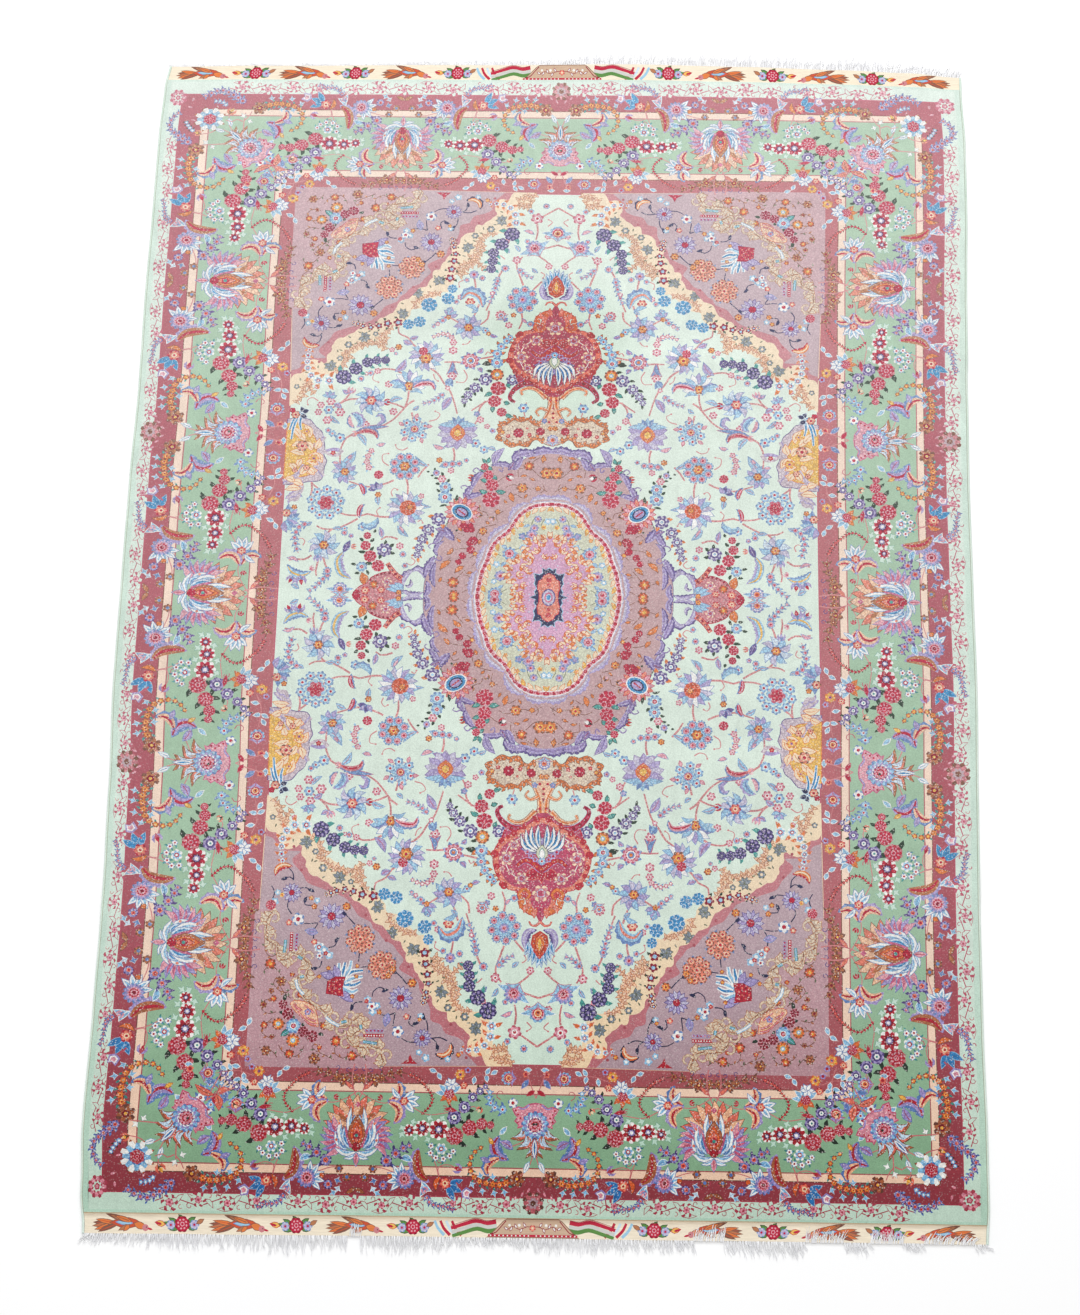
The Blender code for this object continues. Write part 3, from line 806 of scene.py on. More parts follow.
def half_unit(chart):
    # Stems first, so that the flowers cover them.
    for stem in ([(0, 0), (30, 18), (56, 26), (83, 22), (100, 20)],
            [(102, 20), (125, 35), (160, 50), (205, 45), (218, 55)],
            [(166, 133), (180, 160), (187, 185), (200, 199)],
            [(205, 20), (222, 45), (260, 30), (274, 37.5)],
            [(188, 185), (185, 165), (205, 158), (228, 165)], [(258, 161), (240, 165), (228, 167)],
            [(340, 120), (370, 108), (400, 100)], [(30, 165), (60, 168), (90, 178)],):
        line(chart, stem, "vine", 2.4, 0.8)
    for s, t, r, heading in ((150, 188, 8, 200), (188, 148, 8, 20), (321, 2, 12, 90), (12, 188, 7, 60),
            (196, 37, 8, 240), (300, 225, 8, 30)):
        curl(chart, s, t, r, heading, "line")

    # Saw-edged curved leaves and paisleys.
    fringe_leaf(chart, (140, 122, 136, 150, 143, 178, 166, 196), 24, "tan", "lilac", "crimson")
    leaf(chart, (126, 152), (98, 146), 13, "sky", "white", "bright", 0.15)
    fringe_leaf(chart, (344, 146, 318, 136, 309, 115, 321, 92), 22, "lilac", "steel", "crimson")
    fringe_leaf(chart, (326, 140, 303, 150, 294, 165, 298, 182), 18, "peach", "steel", "crimson")
    leaf(chart, (350, 122), (322, 106), 16, "lilac", "steel", "crimson", 0.1)
    leaf(chart, (322, 90), (336, 74), 10, "sky", "white")
    leaf(chart, (300, 150), (280, 142), 12, "lilac", "steel")
    leaf(chart, (306, 112), (298, 98), 9, "gold", "tan")
    fringe_leaf(chart, (66, 22, 84, 14, 94, -2, 88, -24), 18, "peach", "steel", "crimson")
    fringe_leaf(chart, (82, 72, 94, 52, 90, 34, 66, 22), 19, "peach", "lilac", "crimson")
    feather(chart, (95, 14), (76, -8), 10, -0.1)

    # Chains of flowers in the green ground.
    blooms(chart, (68, 152, 14.5, 89, 136, 12, 106, 124, 9.5, 119, 118, 6.5), "orange_lilac", "violet")
    blooms(chart, (218, 129, 7.2, 210, 139, 7.5, 196, 145.5, 7.8, 179, 143.5, 7.8, 167, 133.5, 7.8, 168,
        118, 7.8), "snow", "teal")
    flower(chart, 191, 124, 13.5, "sky")
    blooms(chart, (118, 84.5, 12.5, 147, 80, 16.5, 184, 82, 21), "maroon")
    for s, t, heading in ((102, 80, 60), (101, 94.5, 120), (127, 66, 10), (132, 101, 130),
            (163, 57.5, 20), (160, 104.5, 150), (192, 57.5, 30)):
        star_leaf(chart, s, t, 9.5, heading, "guard_edge", "teal")
    blooms(chart, (220, 95.5, 21, 253, 77, 18.5, 280, 68.5, 14, 300, 70.5, 9.5), "carnation",
        "dark_green")
    blooms(chart, (218, 54.5, 17.2, 240, 32, 14.6, 258, 10, 11.8, 274, -4, 9.5, 286, -14, 6.5), "violet",
        "dark_green")
    bud(chart, 274, 37.5, 7.5, 120, "salmon", "black", "cream")
    blooms(chart, (326, 36, 10.5, 309, 32, 9.2, 299, 22, 8, 294, 10, 7, 296, -2, 6), "blue", "steel")
    flower(chart, 349, 21, 12.5, "snow")
    garland(chart, (144, 50, 163, 30, 167, 11, 153, -10, 138, -26, 112, -40), 3.6, 4.2, "red_dot",
        "dark_green", "tan", crowd=2.0)

    # The flower over the inner stripe, and the one beside it.
    for angle in (-70, -35, 0, 35, 70):
        tip = heading_frame(205, 3, 255 + angle)([(30, 0)])[0]
        leaf(chart, (205, 3), tip, 11, "sky", "white")
    for angle in (-50, 0, 50):
        tip = heading_frame(205, 3, 90 + angle)([(24, 0)])[0]
        leaf(chart, (205, 3), tip, 12, "orange", "tan")
    flower(chart, 205, 3, 12.5, "carnation")
    leaf(chart, (222, 40), (196, 36), 8, "crimson", "line")
    for angle in (-60, -20, 20, 60):
        tip = heading_frame(112, 21, angle)([(27, 0)])[0]
        feather(chart, (104, 21), tip, 14)
    flower(chart, 104, 21, 11, "salmon")
    bud(chart, 49, 14, 6.5, 200, "crimson", "vine")

    # Over the outer stripe and the rose border.
    for angle in (-64, -32, 0, 32, 64):
        tip = heading_frame(106, 190, 200 + angle)([(36, 0)])[0]
        feather(chart, (104, 190), tip, 12, bold=True)
    flower(chart, 108, 190, 25.5, "carnation_palmette", 10, fan=0.12)
    leaf(chart, (80, 188), (72, 182), 12, "orange", "brown")
    flower(chart, 60, 203, 13.5, "orange_lilac", 30, fan=0.2)
    for s, t, heading, dye in ((40, 214, 60, "pale_blue"), (50, 222, 30, "sky"), (40, 196, 160, "steel")):
        star_leaf(chart, s, t, 9, heading, dye, "white")
    for s, t in ((20, 188), (38, 170)):
        flower(chart, s, t, 10.5, "tan")
        spot(chart, s, t, 4.2, "steel", 6)
    leaf(chart, (0, 212), (20, 222), 9, "tan", "brown")
    leaf(chart, (150, 196), (170, 214), 14, "sky", "white", "bright", 0.2)
    leaf(chart, (150, 202), (146, 226), 12, "sky", "white", "steel", -0.2)
    bud(chart, 156, 214, 8, 50, "pink", "steel")
    garland(chart, (160, 224, 166, 238, 182, 246, 205, 248, 220, 254), 6.6, 5, "orange_lilac", "steel",
        "line", crowd=1.9)
    for s, t, heading in ((166, 228, 250), (150, 232, 300), (190, 258, 60), (214, 240, 200)):
        curl(chart, s, t, 5, heading, "line", 0.5)
    for angle in (-46, -8, 30):
        tip = heading_frame(203, 201, 30 + angle)([(38, 0)])[0]
        leaf(chart, (206, 203), tip, 13, "bright", "sky")
    leaf(chart, (190, 184), (182, 214), 10, "orange", "brown", None, 0.2)
    flower(chart, 201, 198, 14.5, "salmon", 60)
    line(chart, (226, 196, 238, 208, 240, 225, 236, 252), "line", 3.6, 0.6)
    bud(chart, 228, 166, 10.5, 200, "lilac", "line", "crimson")
    tulip = np.array([(-0.8, -0.7), (0.5, -0.9), (1, 0), (0.5, 0.9), (-0.8, 0.7), (-0.4, 0)])
    for dye, r in (("lilac", 13.5), ("white", 9), ("pink", 6)):
        chart.lay(heading_frame(251, 219, 200)(tulip * r), dye)
    garland(chart, (286, 116, 264, 132, 256, 150, 258, 170, 272, 189, 298, 197, 325, 199, 350, 190), 5.5,
        10.5, "orange", "teal", "tan", crowd=1.9)
    for s, t, heading in ((262, 200, 60), (285, 214, 80), (312, 218, 70), (335, 216, 80), (280, 180, 250),
            (308, 182, 260)):
        star_leaf(chart, s, t, 8.5, heading, "sky", "white")
    flower(chart, 362, 186, 20.5, "tan")

    # Inner rose guard.
    garland(chart, (0, -30, 34, -24, 62, -36, 88, -43, 108, -40), 12.5, 7.5, "tan", "brown", "brown",
        crowd=2.1)
    flower(chart, 34, -25, 16, "tan")
    for s, t, heading in ((10, -50, 30), (26, -46, 200), (50, -52, 90)):
        curl(chart, s, t, 6, heading, "violet", 0.8, 1.8)
    for s, t, heading in ((166, -48, 20), (181, -36, 60), (260, -28, 100), (288, -33, 80),
            (290, -48, 300), (381, -53, 180), (305, -46, 150)):
        leaf(chart, heading_frame(s, t, heading)([(-7, 0)])[0], heading_frame(s, t, heading)([(8, 0)])[0],
            9, "sky", "white")
    for angle in range(0, 360, 60):
        tip = heading_frame(209, -18, angle)([(15, 0)])[0]
        leaf(chart, (209, -18), tip, 8, "white", "steel")
    flower(chart, 228, -40, 13.5, "gold")
    flower(chart, 237, -16, 9.5, "salmon")
    flower(chart, 245, -50, 7.5, "lilac_dot")
    flower(chart, 377, -43, 8.5, "salmon_dot")
    palmette(chart, 340, -34, 19.5, "red_palmette", 180, "lilac")
    line(chart, (240, -30, 270, -40, 300, -38, 320, -34), "vine", 2)


def lotus_palmette(chart):
    """The large lotus in the green ground, opening towards the middle of the rug."""
    for side in (1.0, -1.0):
        line(chart, [(side * 12, -60), (side * 16, -30), (side * 10, 0), (0, 22)], "vine", 3, 0.8)
        leaf(chart, (side * 12, -4), (side * 30, -20), 8, "salmon", "line")
    long_petals(chart, 0, 84, 16, 76, 13, ("peach", "salmon"), 22, -90, 200, bend=0.08, rim="brown")
    long_petals(chart, 0, 84, 14, 56, 11, ("tan", "peach"), 12, -90, 180, bend=0.08, rim=None)
    for side in (1.0, -1.0):
        heading = 90 - side * 100
        long_petals(chart, side * 24, 106, 2, 58, 7, ("pink", "lilac"), 15, heading, 116, rim="steel")
        long_petals(chart, side * 24, 106, 20, 48, 5, ("deep_pink",), 6, heading, 90, rim=None)
    spot(chart, 0, 98, 30, "deep_pink", 12, bold=True)
    for side in (1.0, -1.0):
        for start, end, width, bend in (((26, 126), (48, 92), 10, 0.16), ((20, 124), (37, 64), 12, 0.14),
                ((6, 108), (14, 38), 12, 0.10)):
            feather(chart, (side * start[0], start[1]), (side * end[0], end[1]), width, side * bend)
            feather(chart, (side * (start[0] - 5), start[1] + 3), (side * (end[0] - 9), end[1] + 16),
                0.8 * width, side * bend, "pale_blue", "bright")
        for s, t in ((24, 56), (40, 72), (45, 108)):
            spot(chart, side * s, t, 3.6, "salmon", 5)
    leaf(chart, (0, 126), (0, 54), 38, "tan", rim="brown", bold=True)
    leaf(chart, (0, 120), (0, 66), 26, "orange", rim="crimson")
    leaf(chart, (0, 114), (0, 76), 15, "salmon", rim="maroon")
    flower(chart, 0, 98, 10, "red_dot")
    spot(chart, 0, 98, 4.4, "teal", 6)
    spot(chart, 0, 30, 7, "deep_pink", 4)
    for side in (1.0, -1.0):
        feather(chart, (0, 134), (side * 48, 125), 11, side * 0.16)
        feather(chart, (0, 138), (side * 27, 148), 8, side * 0.10)
    flower(chart, 0, 123, 11, "crimson")
    leaf(chart, (0, 136), (0, 164), 12, "pink", "steel", "crimson")


def rosette_palmette(chart):
    """The round rosette in its pink crescent, opening outwards, at s = 0 of this layout."""
    centre = np.array([0, ROSETTE_T])
    for side in (1.0, -1.0):
        line(chart, [(side * 22, -50), (side * 12, -20), (0, 10)], "vine", 2.6, 0.9)
        leaf(chart, (side * 4, -6), (side * 20, 4), 9, "crimson", "line")
        leaf(chart, (side * 18, -30), (side * 32, -12), 11, "steel", "lilac")
        line(chart, [(0, 125), (side * 12, 160), (side * 30, 180)], "vine", 2.4, 0.9)
        leaf(chart, (side * 12, 150), (side * 22, 172), 10, "white", "sky", "bright")
        for s, t in ((8, 205), (22, 214), (38, 222)):
            leaf(chart, (side * s, t), (side * (s + 6), t + 10), 5, "pink")
    # Hooked tan leaves with white and blue hearts, over the outer side.
    for side in (1.0, -1.0):
        for start, end, width, bend in (((26, 74), (54, 98), 16, 0.34), ((18, 86), (40, 122), 18, 0.32),
                ((8, 90), (20, 140), 17, 0.26)):
            root, tip = (side * start[0], start[1]), (side * end[0], end[1])
            feather(chart, root, tip, width, side * bend, "tan", "pale_blue", "brown", bold=True)
            feather(chart, (side * (start[0] - 6), start[1] + 6), (side * (end[0] - 12), end[1] - 2),
                0.5 * width, side * bend, "salmon", "pale_blue", "brown")
    feather(chart, (0, 100), (0, 142), 10, 0.0, "white", "bright")
    # The deep pink shell that holds it, with three points on each side.
    half = [(s, ROSETTE_T - t) for s, t in pairs(SHELL)]
    shell = [*half, *[(-s, t) for s, t in half[::-1]]]
    outlined(chart, shell, "pink", "deep_pink", 3.5)
    for side in (1.0, -1.0):
        line(chart, [(side * s, t) for s, t in half[1:4]], "lilac", 4.5, 0.6, step=5)
        for s, t in half[4:8]:
            spot(chart, side * 0.88 * s, t + 2, 2.6, "crimson", 5)
    flower(chart, 0, ROSETTE_T + 6, 32, "rosette")
    for k in range(9):
        angle = 2 * math.pi * k / 9
        spot(chart, 13 * math.cos(angle), ROSETTE_T + 6 + 13 * math.sin(angle), 2.2, "crimson", 5)
    spot(chart, 3, ROSETTE_T + 4, 3.4, "dark_green", 5)


# The right half of the shell, from its foot round its three points and back inside: along the
# border, and inwards from the rosette's middle.
SHELL = (0, 40, 14, 38, 27, 29, 38, 32, 50, 28, 44, 19, 38, 11, 44, 3, 35, -5, 39, -11, 27, -8, 26, 10,
    18, 21, 0, 25)


def corner_extras(chart):
    """The star flower, garlands and stems that fill the corner of the borders."""
    line(chart, (705, 1192, 718, 1205, 738, 1218), "vine", 3, 0.9)
    leaf(chart, (716, 1204), (708, 1238), 16, "salmon", "crimson", "brown", 0.1, bold=True)
    leaf(chart, (722, 1204), (762, 1182), 14, "salmon", "crimson", "brown", 0.1, bold=True)
    leaf(chart, (714, 1200), (690, 1190), 12, "salmon", "line", None, 0.1)
    for line_points in ([(796, 1312), (797, 1340), (795, 1362)], [(797, 1338), (786, 1352), (780, 1366)],
            [(800, 1336), (815, 1342), (826, 1335), (842, 1340)], [(838, 1268), (862, 1266), (898, 1263)],
            [(868, 1306), (880, 1300), (900, 1296)],):
        line(chart, line_points, "vine", 3, 0.7)
    for u, v, heading in ((800, 1353, 60), (782, 1336, 200), (885, 1272, 40), (868, 1258, 240)):
        star_leaf(chart, u, v, 9, heading, "white", "teal")
    for angle in range(0, 360, 45):
        tip = heading_frame(880, 1342, angle + 22)([(38, 0)])[0]
        leaf(chart, (880, 1342), tip, 16, "orange", "brown")
    flower(chart, 880, 1342, 37, "star")
    flower(chart, 880, 1342, 15.5, "carnation")
    for points in ([(800, 1392), (826, 1412), (858, 1428), (884, 1420), (906, 1406)],
            [(920, 1268), (946, 1290), (976, 1316), (970, 1346), (950, 1364)]):
        garland(chart, points, 10.5, 7, "orange_lilac", "steel", "line", crowd=1.7)
    garland(chart, (842, 1382, 856, 1394, 876, 1396), 6, 5, "blue", "steel", "tan")
    garland(chart, (914, 1304, 928, 1322, 936, 1340), 6, 5, "blue", "dark_green", "tan")
    bud(chart, 830, 1366, 11, 120, "salmon", "brown", "gold")
    bud(chart, 905, 1300, 9, 20, "salmon", "brown", "gold")
    flower(chart, 962, 1406, 26, "guard_corner")
    for u, v, heading in ((925, 1395, 100), (934, 1380, 200)):
        leaf(chart, (u, v), heading_frame(u, v, heading)([(12, 0)])[0], 6, "pink")


def guard_vine(chart, length, pitch=64):
    """The thin pink vine of the outer guard, along s from 0 to its length, t across it."""
    count = max(1, round(length / pitch))
    step = length / count
    wave = [(s * step * 0.5, 8.5 * (-1) ** (s // 2) * (s % 2 == 1)) for s in range(2 * count + 1)]
    line(chart, wave, "line", 2.2, 1.0)
    for station in range(count):
        side = 1 if station % 2 else -1
        s = (station + 0.5) * step
        root = (s - 16, side * 4)
        for tip in ((s - 30, -side * 13), (s + 22, side * 15)):
            leaf(chart, root, tip, 8.5, "guard", "line", None, 0.15)
        curl(chart, s + 20, -side * 10, 7, 90 * side, "line", 0.8, 1.8)
        curl(chart, s - 24, side * 13, 6, -90 * side, "vine", 0.6, 1.8)
        flower(chart, s, side * 2, 19.5 if station % 3 else 22, "guard", 90 * side, fan=0.1)


def outer_guard(chart):
    side_mid = 0.5 * (ROSE_LINE[0] + 987)
    end_mid = 0.5 * (ROSE_LINE[1] + 1452)
    for start, stop in ((0, 200), (232, 414), (450, 640), (672, 1060), (1092, 1290)):
        chart.layout = np.array([[0, 1, side_mid], [1, 0, start]])
        guard_vine(chart, stop - start)
    for start, stop in ((30, 210), (246, 560), (590, 840)):
        chart.layout = np.array([[1, 0, start], [0, 1, end_mid]])
        guard_vine(chart, stop - start)
    chart.layout = np.array([[1, 0, 0], [0, 1, 0]])
    flower(chart, 960, SIDE_ROSETTE, 30, "dusty")
    flower(chart, 0, 1428, 26, "dusty")


def rounded_box(size, r=0, corner_parts=4):
    """The quarter of a centred box, its far corner rounded."""
    u, v = size
    if not r:
        return [(0, 0), (u, 0), (u, v), (0, v)]
    points = [(0, 0), (u, 0)]
    for part in range(corner_parts + 1):
        angle = 0.5 * math.pi * part / corner_parts
        points.append((u - r + r * math.cos(angle), v - r + r * math.sin(angle)))
    return points + [(0, v)]


def grounds(chart):
    """The plain grounds of all borders and the field, with the thin lines between them."""
    chart.lay(rounded_box(GUARD_LINE), "guard_edge", True)
    chart.lay(rounded_box((987, 1453)), "guard", True)
    rims = ((ROSE_LINE, "line", "rose", 2.2, 12), (STRIPE_LINE, "brown", "stripe", 2, 0),
        (GREEN_LINE, "old_rose", "green", 2.6, 0), (INNER_STRIPE_LINE, "old_rose", "stripe", 2.6, 0),
        (INNER_ROSE_LINE, "brown", "old_rose", 2, 0), (FIELD_LINE, "line", "field", 2.4, 0),)
    for (u, v), rim, dye, width, r in rims:
        chart.lay(rounded_box((u + width, v + width), r), rim, True)
        chart.lay(rounded_box((u, v), r), dye, True)


def borders(chart):
    plain = chart.layout
    outer_guard(chart)
    for place, directions in ((SIDE_LOTUSES[0], (1.0,)), (SIDE_LOTUSES[1], (-1.0, 1.0))):
        for direction in directions:
            chart.layout = side_layout(place, direction)
            half_unit(chart)
    for direction in (-1.0, 1.0):
        chart.layout = end_layout(END_LOTUS, direction)
        half_unit(chart)
    for place in SIDE_LOTUSES:
        chart.layout = side_layout(place, 1)
        lotus_palmette(chart)
    chart.layout = end_layout(END_LOTUS, 1)
    lotus_palmette(chart)
    chart.layout = side_layout(SIDE_ROSETTE, 1)
    rosette_palmette(chart)
    chart.layout = end_layout(0, 1)
    rosette_palmette(chart)
    chart.layout = corner_layout()
    rosette_palmette(chart)
    chart.layout = plain
    corner_extras(chart)


# ---------------------------------------------------------------- the field


def long_petals(chart, u, v, start, r, count, dyes, width, heading=90.0, spread=360.0, bend=0.12,
                rim="steel"):
    """Long petals standing out round a place, their dyes in turn."""
    for index in range(count):
        place = heading_frame(u, v, heading + spread * ((index + 0.5) / count - 0.5))
        leaf(chart, place([(start, 0)])[0], place([(r, 0)])[0], width, dyes[index % len(dyes)], rim=rim,
            bend=bend, bold=r > 40)


def petal_rose(chart, u, v, r, petal="crimson", ground="pink", turn=0.0):
    """A full rose: dark petals set apart on a pale disc."""
    spot(chart, u, v, r * 0.98, ground, 10, bold=r > 8)
    for ring, count, size in ((0.72, 8, 0.29), (0.30, 4, 0.25)):
        for index in range(count):
            angle = math.radians(turn) + 2 * math.pi * index / count
            petal_u, petal_v = u + ring * r * math.cos(angle), v + ring * r * math.sin(angle)
            spot(chart, petal_u, petal_v, size * r, petal, 5)


def petal_roses(chart, rows, petal="crimson", ground="pink"):
    for index, (u, v, r) in enumerate(threes(rows)):
        petal_rose(chart, u, v, r, petal, ground, index * 25.0)


def leaves(chart, dye, rows, rim=None, rib=None, bold=False):
    """Leaves from stalk to tip: u and v of both, width, bend."""
    for u0, v0, u1, v1, width, bend in np.reshape(rows, (-1, 6)):
        leaf(chart, (u0, v0), (u1, v1), width, dye, rim, rib, bend, bold)


def flowers(chart, rows):
    """Flowers: kind, u, v, radius."""
    for index, (kind, u, v, r) in enumerate(rows):
        flower(chart, u, v, r, kind, turn=index * 31.0)


def hook(chart, points, dye="vine", width=3.2):
    """A tendril that ends in a small knob."""
    line(chart, points, dye, width, 0.55, step=5)
    spot(chart, *pairs(points)[-1], width * 0.8, dye, 6)


FIELD_VINES = (
    (310, 620, 285, 600, 270, 575, 255, 555, 245, 530, 234, 490),
    (335, 670, 350, 684, 362, 702, 385, 715, 386, 738),
    (125, 532, 160, 527, 185, 510, 200, 499),
    (166, 526, 180, 505, 183, 478, 190, 462),
    (165, 782, 168, 758, 186, 741),
    (230, 741, 243, 750, 262, 762),
    (150, 651, 172, 646, 190, 643),
    (226, 632, 246, 634, 270, 633),
    (345, 492, 340, 470, 336, 448),
    (340, 526, 356, 514, 370, 495, 390, 471, 414, 455, 436, 450),
    (364, 504, 384, 514, 408, 520),
    (355, 552, 356, 530, 362, 508),
    (374, 600, 392, 610, 420, 612, 433, 606),
    (470, 528, 500, 526, 522, 514, 545, 498),
    (498, 545, 508, 528, 524, 514),
    (484, 430, 500, 420, 508, 404, 513, 385, 512, 348),
    (380, 306, 395, 298, 420, 290, 442, 287, 462, 292, 488, 301),
    (350, 310, 345, 290, 346, 255),
    (385, 207, 410, 207, 440, 214, 452, 210, 490, 211, 515, 222, 530, 236),
    (462, 201, 486, 186, 515, 173, 545, 173, 560, 181),
    (523, 172, 534, 160, 538, 140),
    (364, 148, 378, 153, 392, 154, 404, 146),
    (568, 102, 585, 91, 605, 92, 622, 89),
    (552, 88, 556, 60, 554, 48),
    (540, 98, 534, 78, 526, 64),
    (578, 298, 576, 276, 580, 258),
    (560, 280, 572, 290, 580, 300),
    (85, 780, 82, 754, 90, 730),
    (128, 910, 142, 885, 150, 850, 160, 815, 172, 782),
    (82, 856, 92, 885, 100, 915, 86, 940),
    (205, 880, 200, 850, 206, 825),
    (190, 800, 200, 770, 214, 750),
    (255, 790, 262, 778, 262, 765),
    (0, 975, 20, 968, 38, 962),
    (52, 1036, 50, 1012, 54, 990),
    (0, 1085, 22, 1070, 40, 1058),
    (12, 912, 30, 930, 50, 945),
    (36, 868, 52, 850, 66, 832),
    (240, 395, 236, 375, 238, 352, 243, 330),
    (297, 350, 312, 332, 322, 314),
)

FIELD_HOOKS = (
    (222, 612, 213, 594, 220, 578, 238, 578),
    (302, 468, 284, 474, 276, 488, 288, 496),
    (420, 611, 440, 600, 444, 582, 430, 575),
    (394, 345, 408, 356, 410, 374, 396, 378),
    (381, 262, 385, 274, 378, 284, 370, 280),
    (412, 208, 418, 222, 410, 231),
    (575, 521, 590, 530, 602, 522, 600, 510),
    (208, 696, 216, 686, 226, 685),
    (590, 128, 586, 140, 594, 147, 604, 144),
    (350, 395, 362, 388, 376, 392, 380, 402),
    (318, 195, 310, 200, 306, 192),
    (330, 100, 320, 90, 328, 80, 340, 84),
    (170, 655, 165, 664, 158, 660),
    (296, 600, 292, 586, 284, 580),
    (130, 932, 142, 942, 150, 932),
    (25, 1030, 14, 1042, 24, 1050),
    (230, 870, 242, 862, 240, 850),
    (40, 895, 30, 888, 34, 878),
)

# Leaves of the field by dye: stalk, tip, width, bend.
FIELD_LEAVES = (
    ("lilac", (250, 535, 270, 500, 18, 0.06, 190, 662, 178, 674, 12, 0.25, 188, 616, 178, 606, 11, -0.25,
        160, 713, 143, 708, 10, 0.1, 390, 606, 366, 640, 17, 0.16, 535, 512, 518, 502, 13, -0.12, 372,
        694, 352, 684, 14, 0.1, 402, 152, 408, 178, 12, 0.05, 600, 258, 622, 262, 12, 0.2, 356, 700, 338,
        706, 12, 0.12, 60, 752, 52, 738, 10, 0.1, 236, 402, 262, 398, 10, 0.1, 120, 952, 135, 962, 11,
        0.15, 500, 545, 516, 552, 11, -0.15)),
    ("sky", (400, 520, 370, 530, 13, -0.16, 542, 480, 520, 460, 10, 0.12, 508, 345, 476, 382, 19, 0.1,
        475, 430, 453, 400, 13, -0.14, 418, 262, 414, 240, 12, 0.05, 470, 290, 490, 278, 12, 0.14, 155,
        396, 138, 390, 10, -0.2, 500, 172, 520, 174, 10, 0.1, 194, 790, 206, 776, 11, -0.12, 258, 790,
        266, 772, 13, 0.1, 365, 182, 340, 156, 13, 0.08, 585, 184, 573, 190, 9, 0.1, 270, 345, 250, 356,
        11, 0.12, 300, 346, 330, 372, 11, -0.16, 94, 955, 106, 972, 10, 0.12, 60, 905, 48, 894, 10, 0.1,
        320, 250, 288, 236, 10, 0.2, 595, 15, 612, 24, 12, 0.1, 342, 500, 330, 510, 10, 0.15)),
    ("pink", (60, 1006, 84, 1016, 10, 0.14, 262, 395, 288, 404, 11, -0.14, 425, 402, 406, 406, 10, 0.12,
        530, 352, 514, 350, 8, 0, 350, 166, 362, 184, 7, 0, 494, 362, 484, 374, 7, 0, 80, 760, 70, 748,
        7, 0.1, 600, 85, 626, 94, 8, 0.2)),
)

FIELD_FLOWERS = (
    ("pink", 250, 690, 10), ("pink", 250, 667, 12), ("steel_dot", 186, 490, 9),
    ("pink", 177, 474, 10), ("pink", 160, 456, 8), ("lilac", 146, 444, 8),
    ("blue", 186, 409, 13), ("blue", 165, 392, 12), ("blue", 172, 725, 10),
    ("orange", 164, 716, 7), ("steel_dot", 124, 757, 8), ("pink", 115, 741, 10),
    ("pink", 390, 494, 11), ("pink", 433, 606, 9), ("blue_pink", 450, 600, 8),
    ("pink", 460, 598, 6), ("blue_pink", 473, 584, 9), ("pink", 456, 457, 11),
    ("blue", 516, 420, 14), ("blue", 535, 431, 10), ("blue_pink", 546, 440, 8),
    ("orange", 384, 675, 10), ("pink", 400, 667, 8), ("blue_pink", 390, 656, 6),
    ("pink", 405, 570, 10), ("orange", 416, 266, 9), ("blue", 450, 180, 13),
    ("blue_pink", 492, 163, 9), ("lilac", 476, 155, 7), ("blue", 492, 174, 8),
    ("pink", 358, 130, 10), ("blue_pink", 350, 108, 9), ("blue_pink", 528, 62, 11),
    ("blue_pink", 344, 78, 8), ("orange", 272, 362, 9), ("blue_pink", 240, 352, 10),
    ("pink", 243, 334, 9), ("blue_pink", 224, 353, 9), ("blue_pink", 257, 350, 10),
    ("blue_pink", 207, 362, 7), ("pink", 312, 264, 8), ("blue_pink", 278, 752, 8),
    ("pink", 52, 1053, 17), ("blue_pink", 68, 1074, 8), ("pink", 100, 930, 12),
    ("blue_pink", 128, 905, 11), ("pink", 20, 912, 10), ("blue_pink", 146, 868, 8),
    ("pink", 158, 832, 7), ("blue_pink", 75, 985, 8), ("pink", 24, 1000, 9),
    ("blue_pink", 105, 1005, 9), ("pink", 126, 985, 8), ("lilac", 205, 886, 13),
    ("blue_pink", 222, 870, 8), ("pink", 180, 902, 8), ("blue_pink", 184, 876, 9),
    ("orange", 104, 770, 8), ("blue_pink", 62, 745, 9), ("pink", 236, 820, 9),
    ("blue_pink", 246, 806, 8), ("blue_pink", 30, 1090, 9), ("blue_pink", 618, 440, 7),
    ("blue_pink", 300, 735, 6), ("pink", 290, 742, 6), ("pink", 580, 560, 7),
)

# Chains of small flowers: path, first and last radius, kind, leaves.
FIELD_CHAINS = (
    ((250, 700, 262, 711, 280, 714, 300, 705), 8, 5, "pink", "steel"),
    ((268, 546, 282, 533, 300, 522, 322, 517), 8, 5, "blue_pink", "lilac"),
    ((434, 392, 446, 368, 446, 348, 436, 332), 8, 9, "pink", "sky"),
    ((582, 188, 602, 176, 611, 150, 606, 125, 600, 108), 9, 7, "blue_pink",
     "steel"),
    ((522, 55, 538, 40, 552, 22, 570, 8), 9, 6, "blue_pink", "steel"),
    ((96, 905, 76, 885, 58, 878), 8, 5, "blue_pink", "lilac"),
    ((145, 880, 150, 852, 156, 828, 166, 802), 8, 6, "blue_pink", "steel"),
    ((268, 764, 284, 750, 302, 736), 7, 5, "blue_pink", "steel"),
)


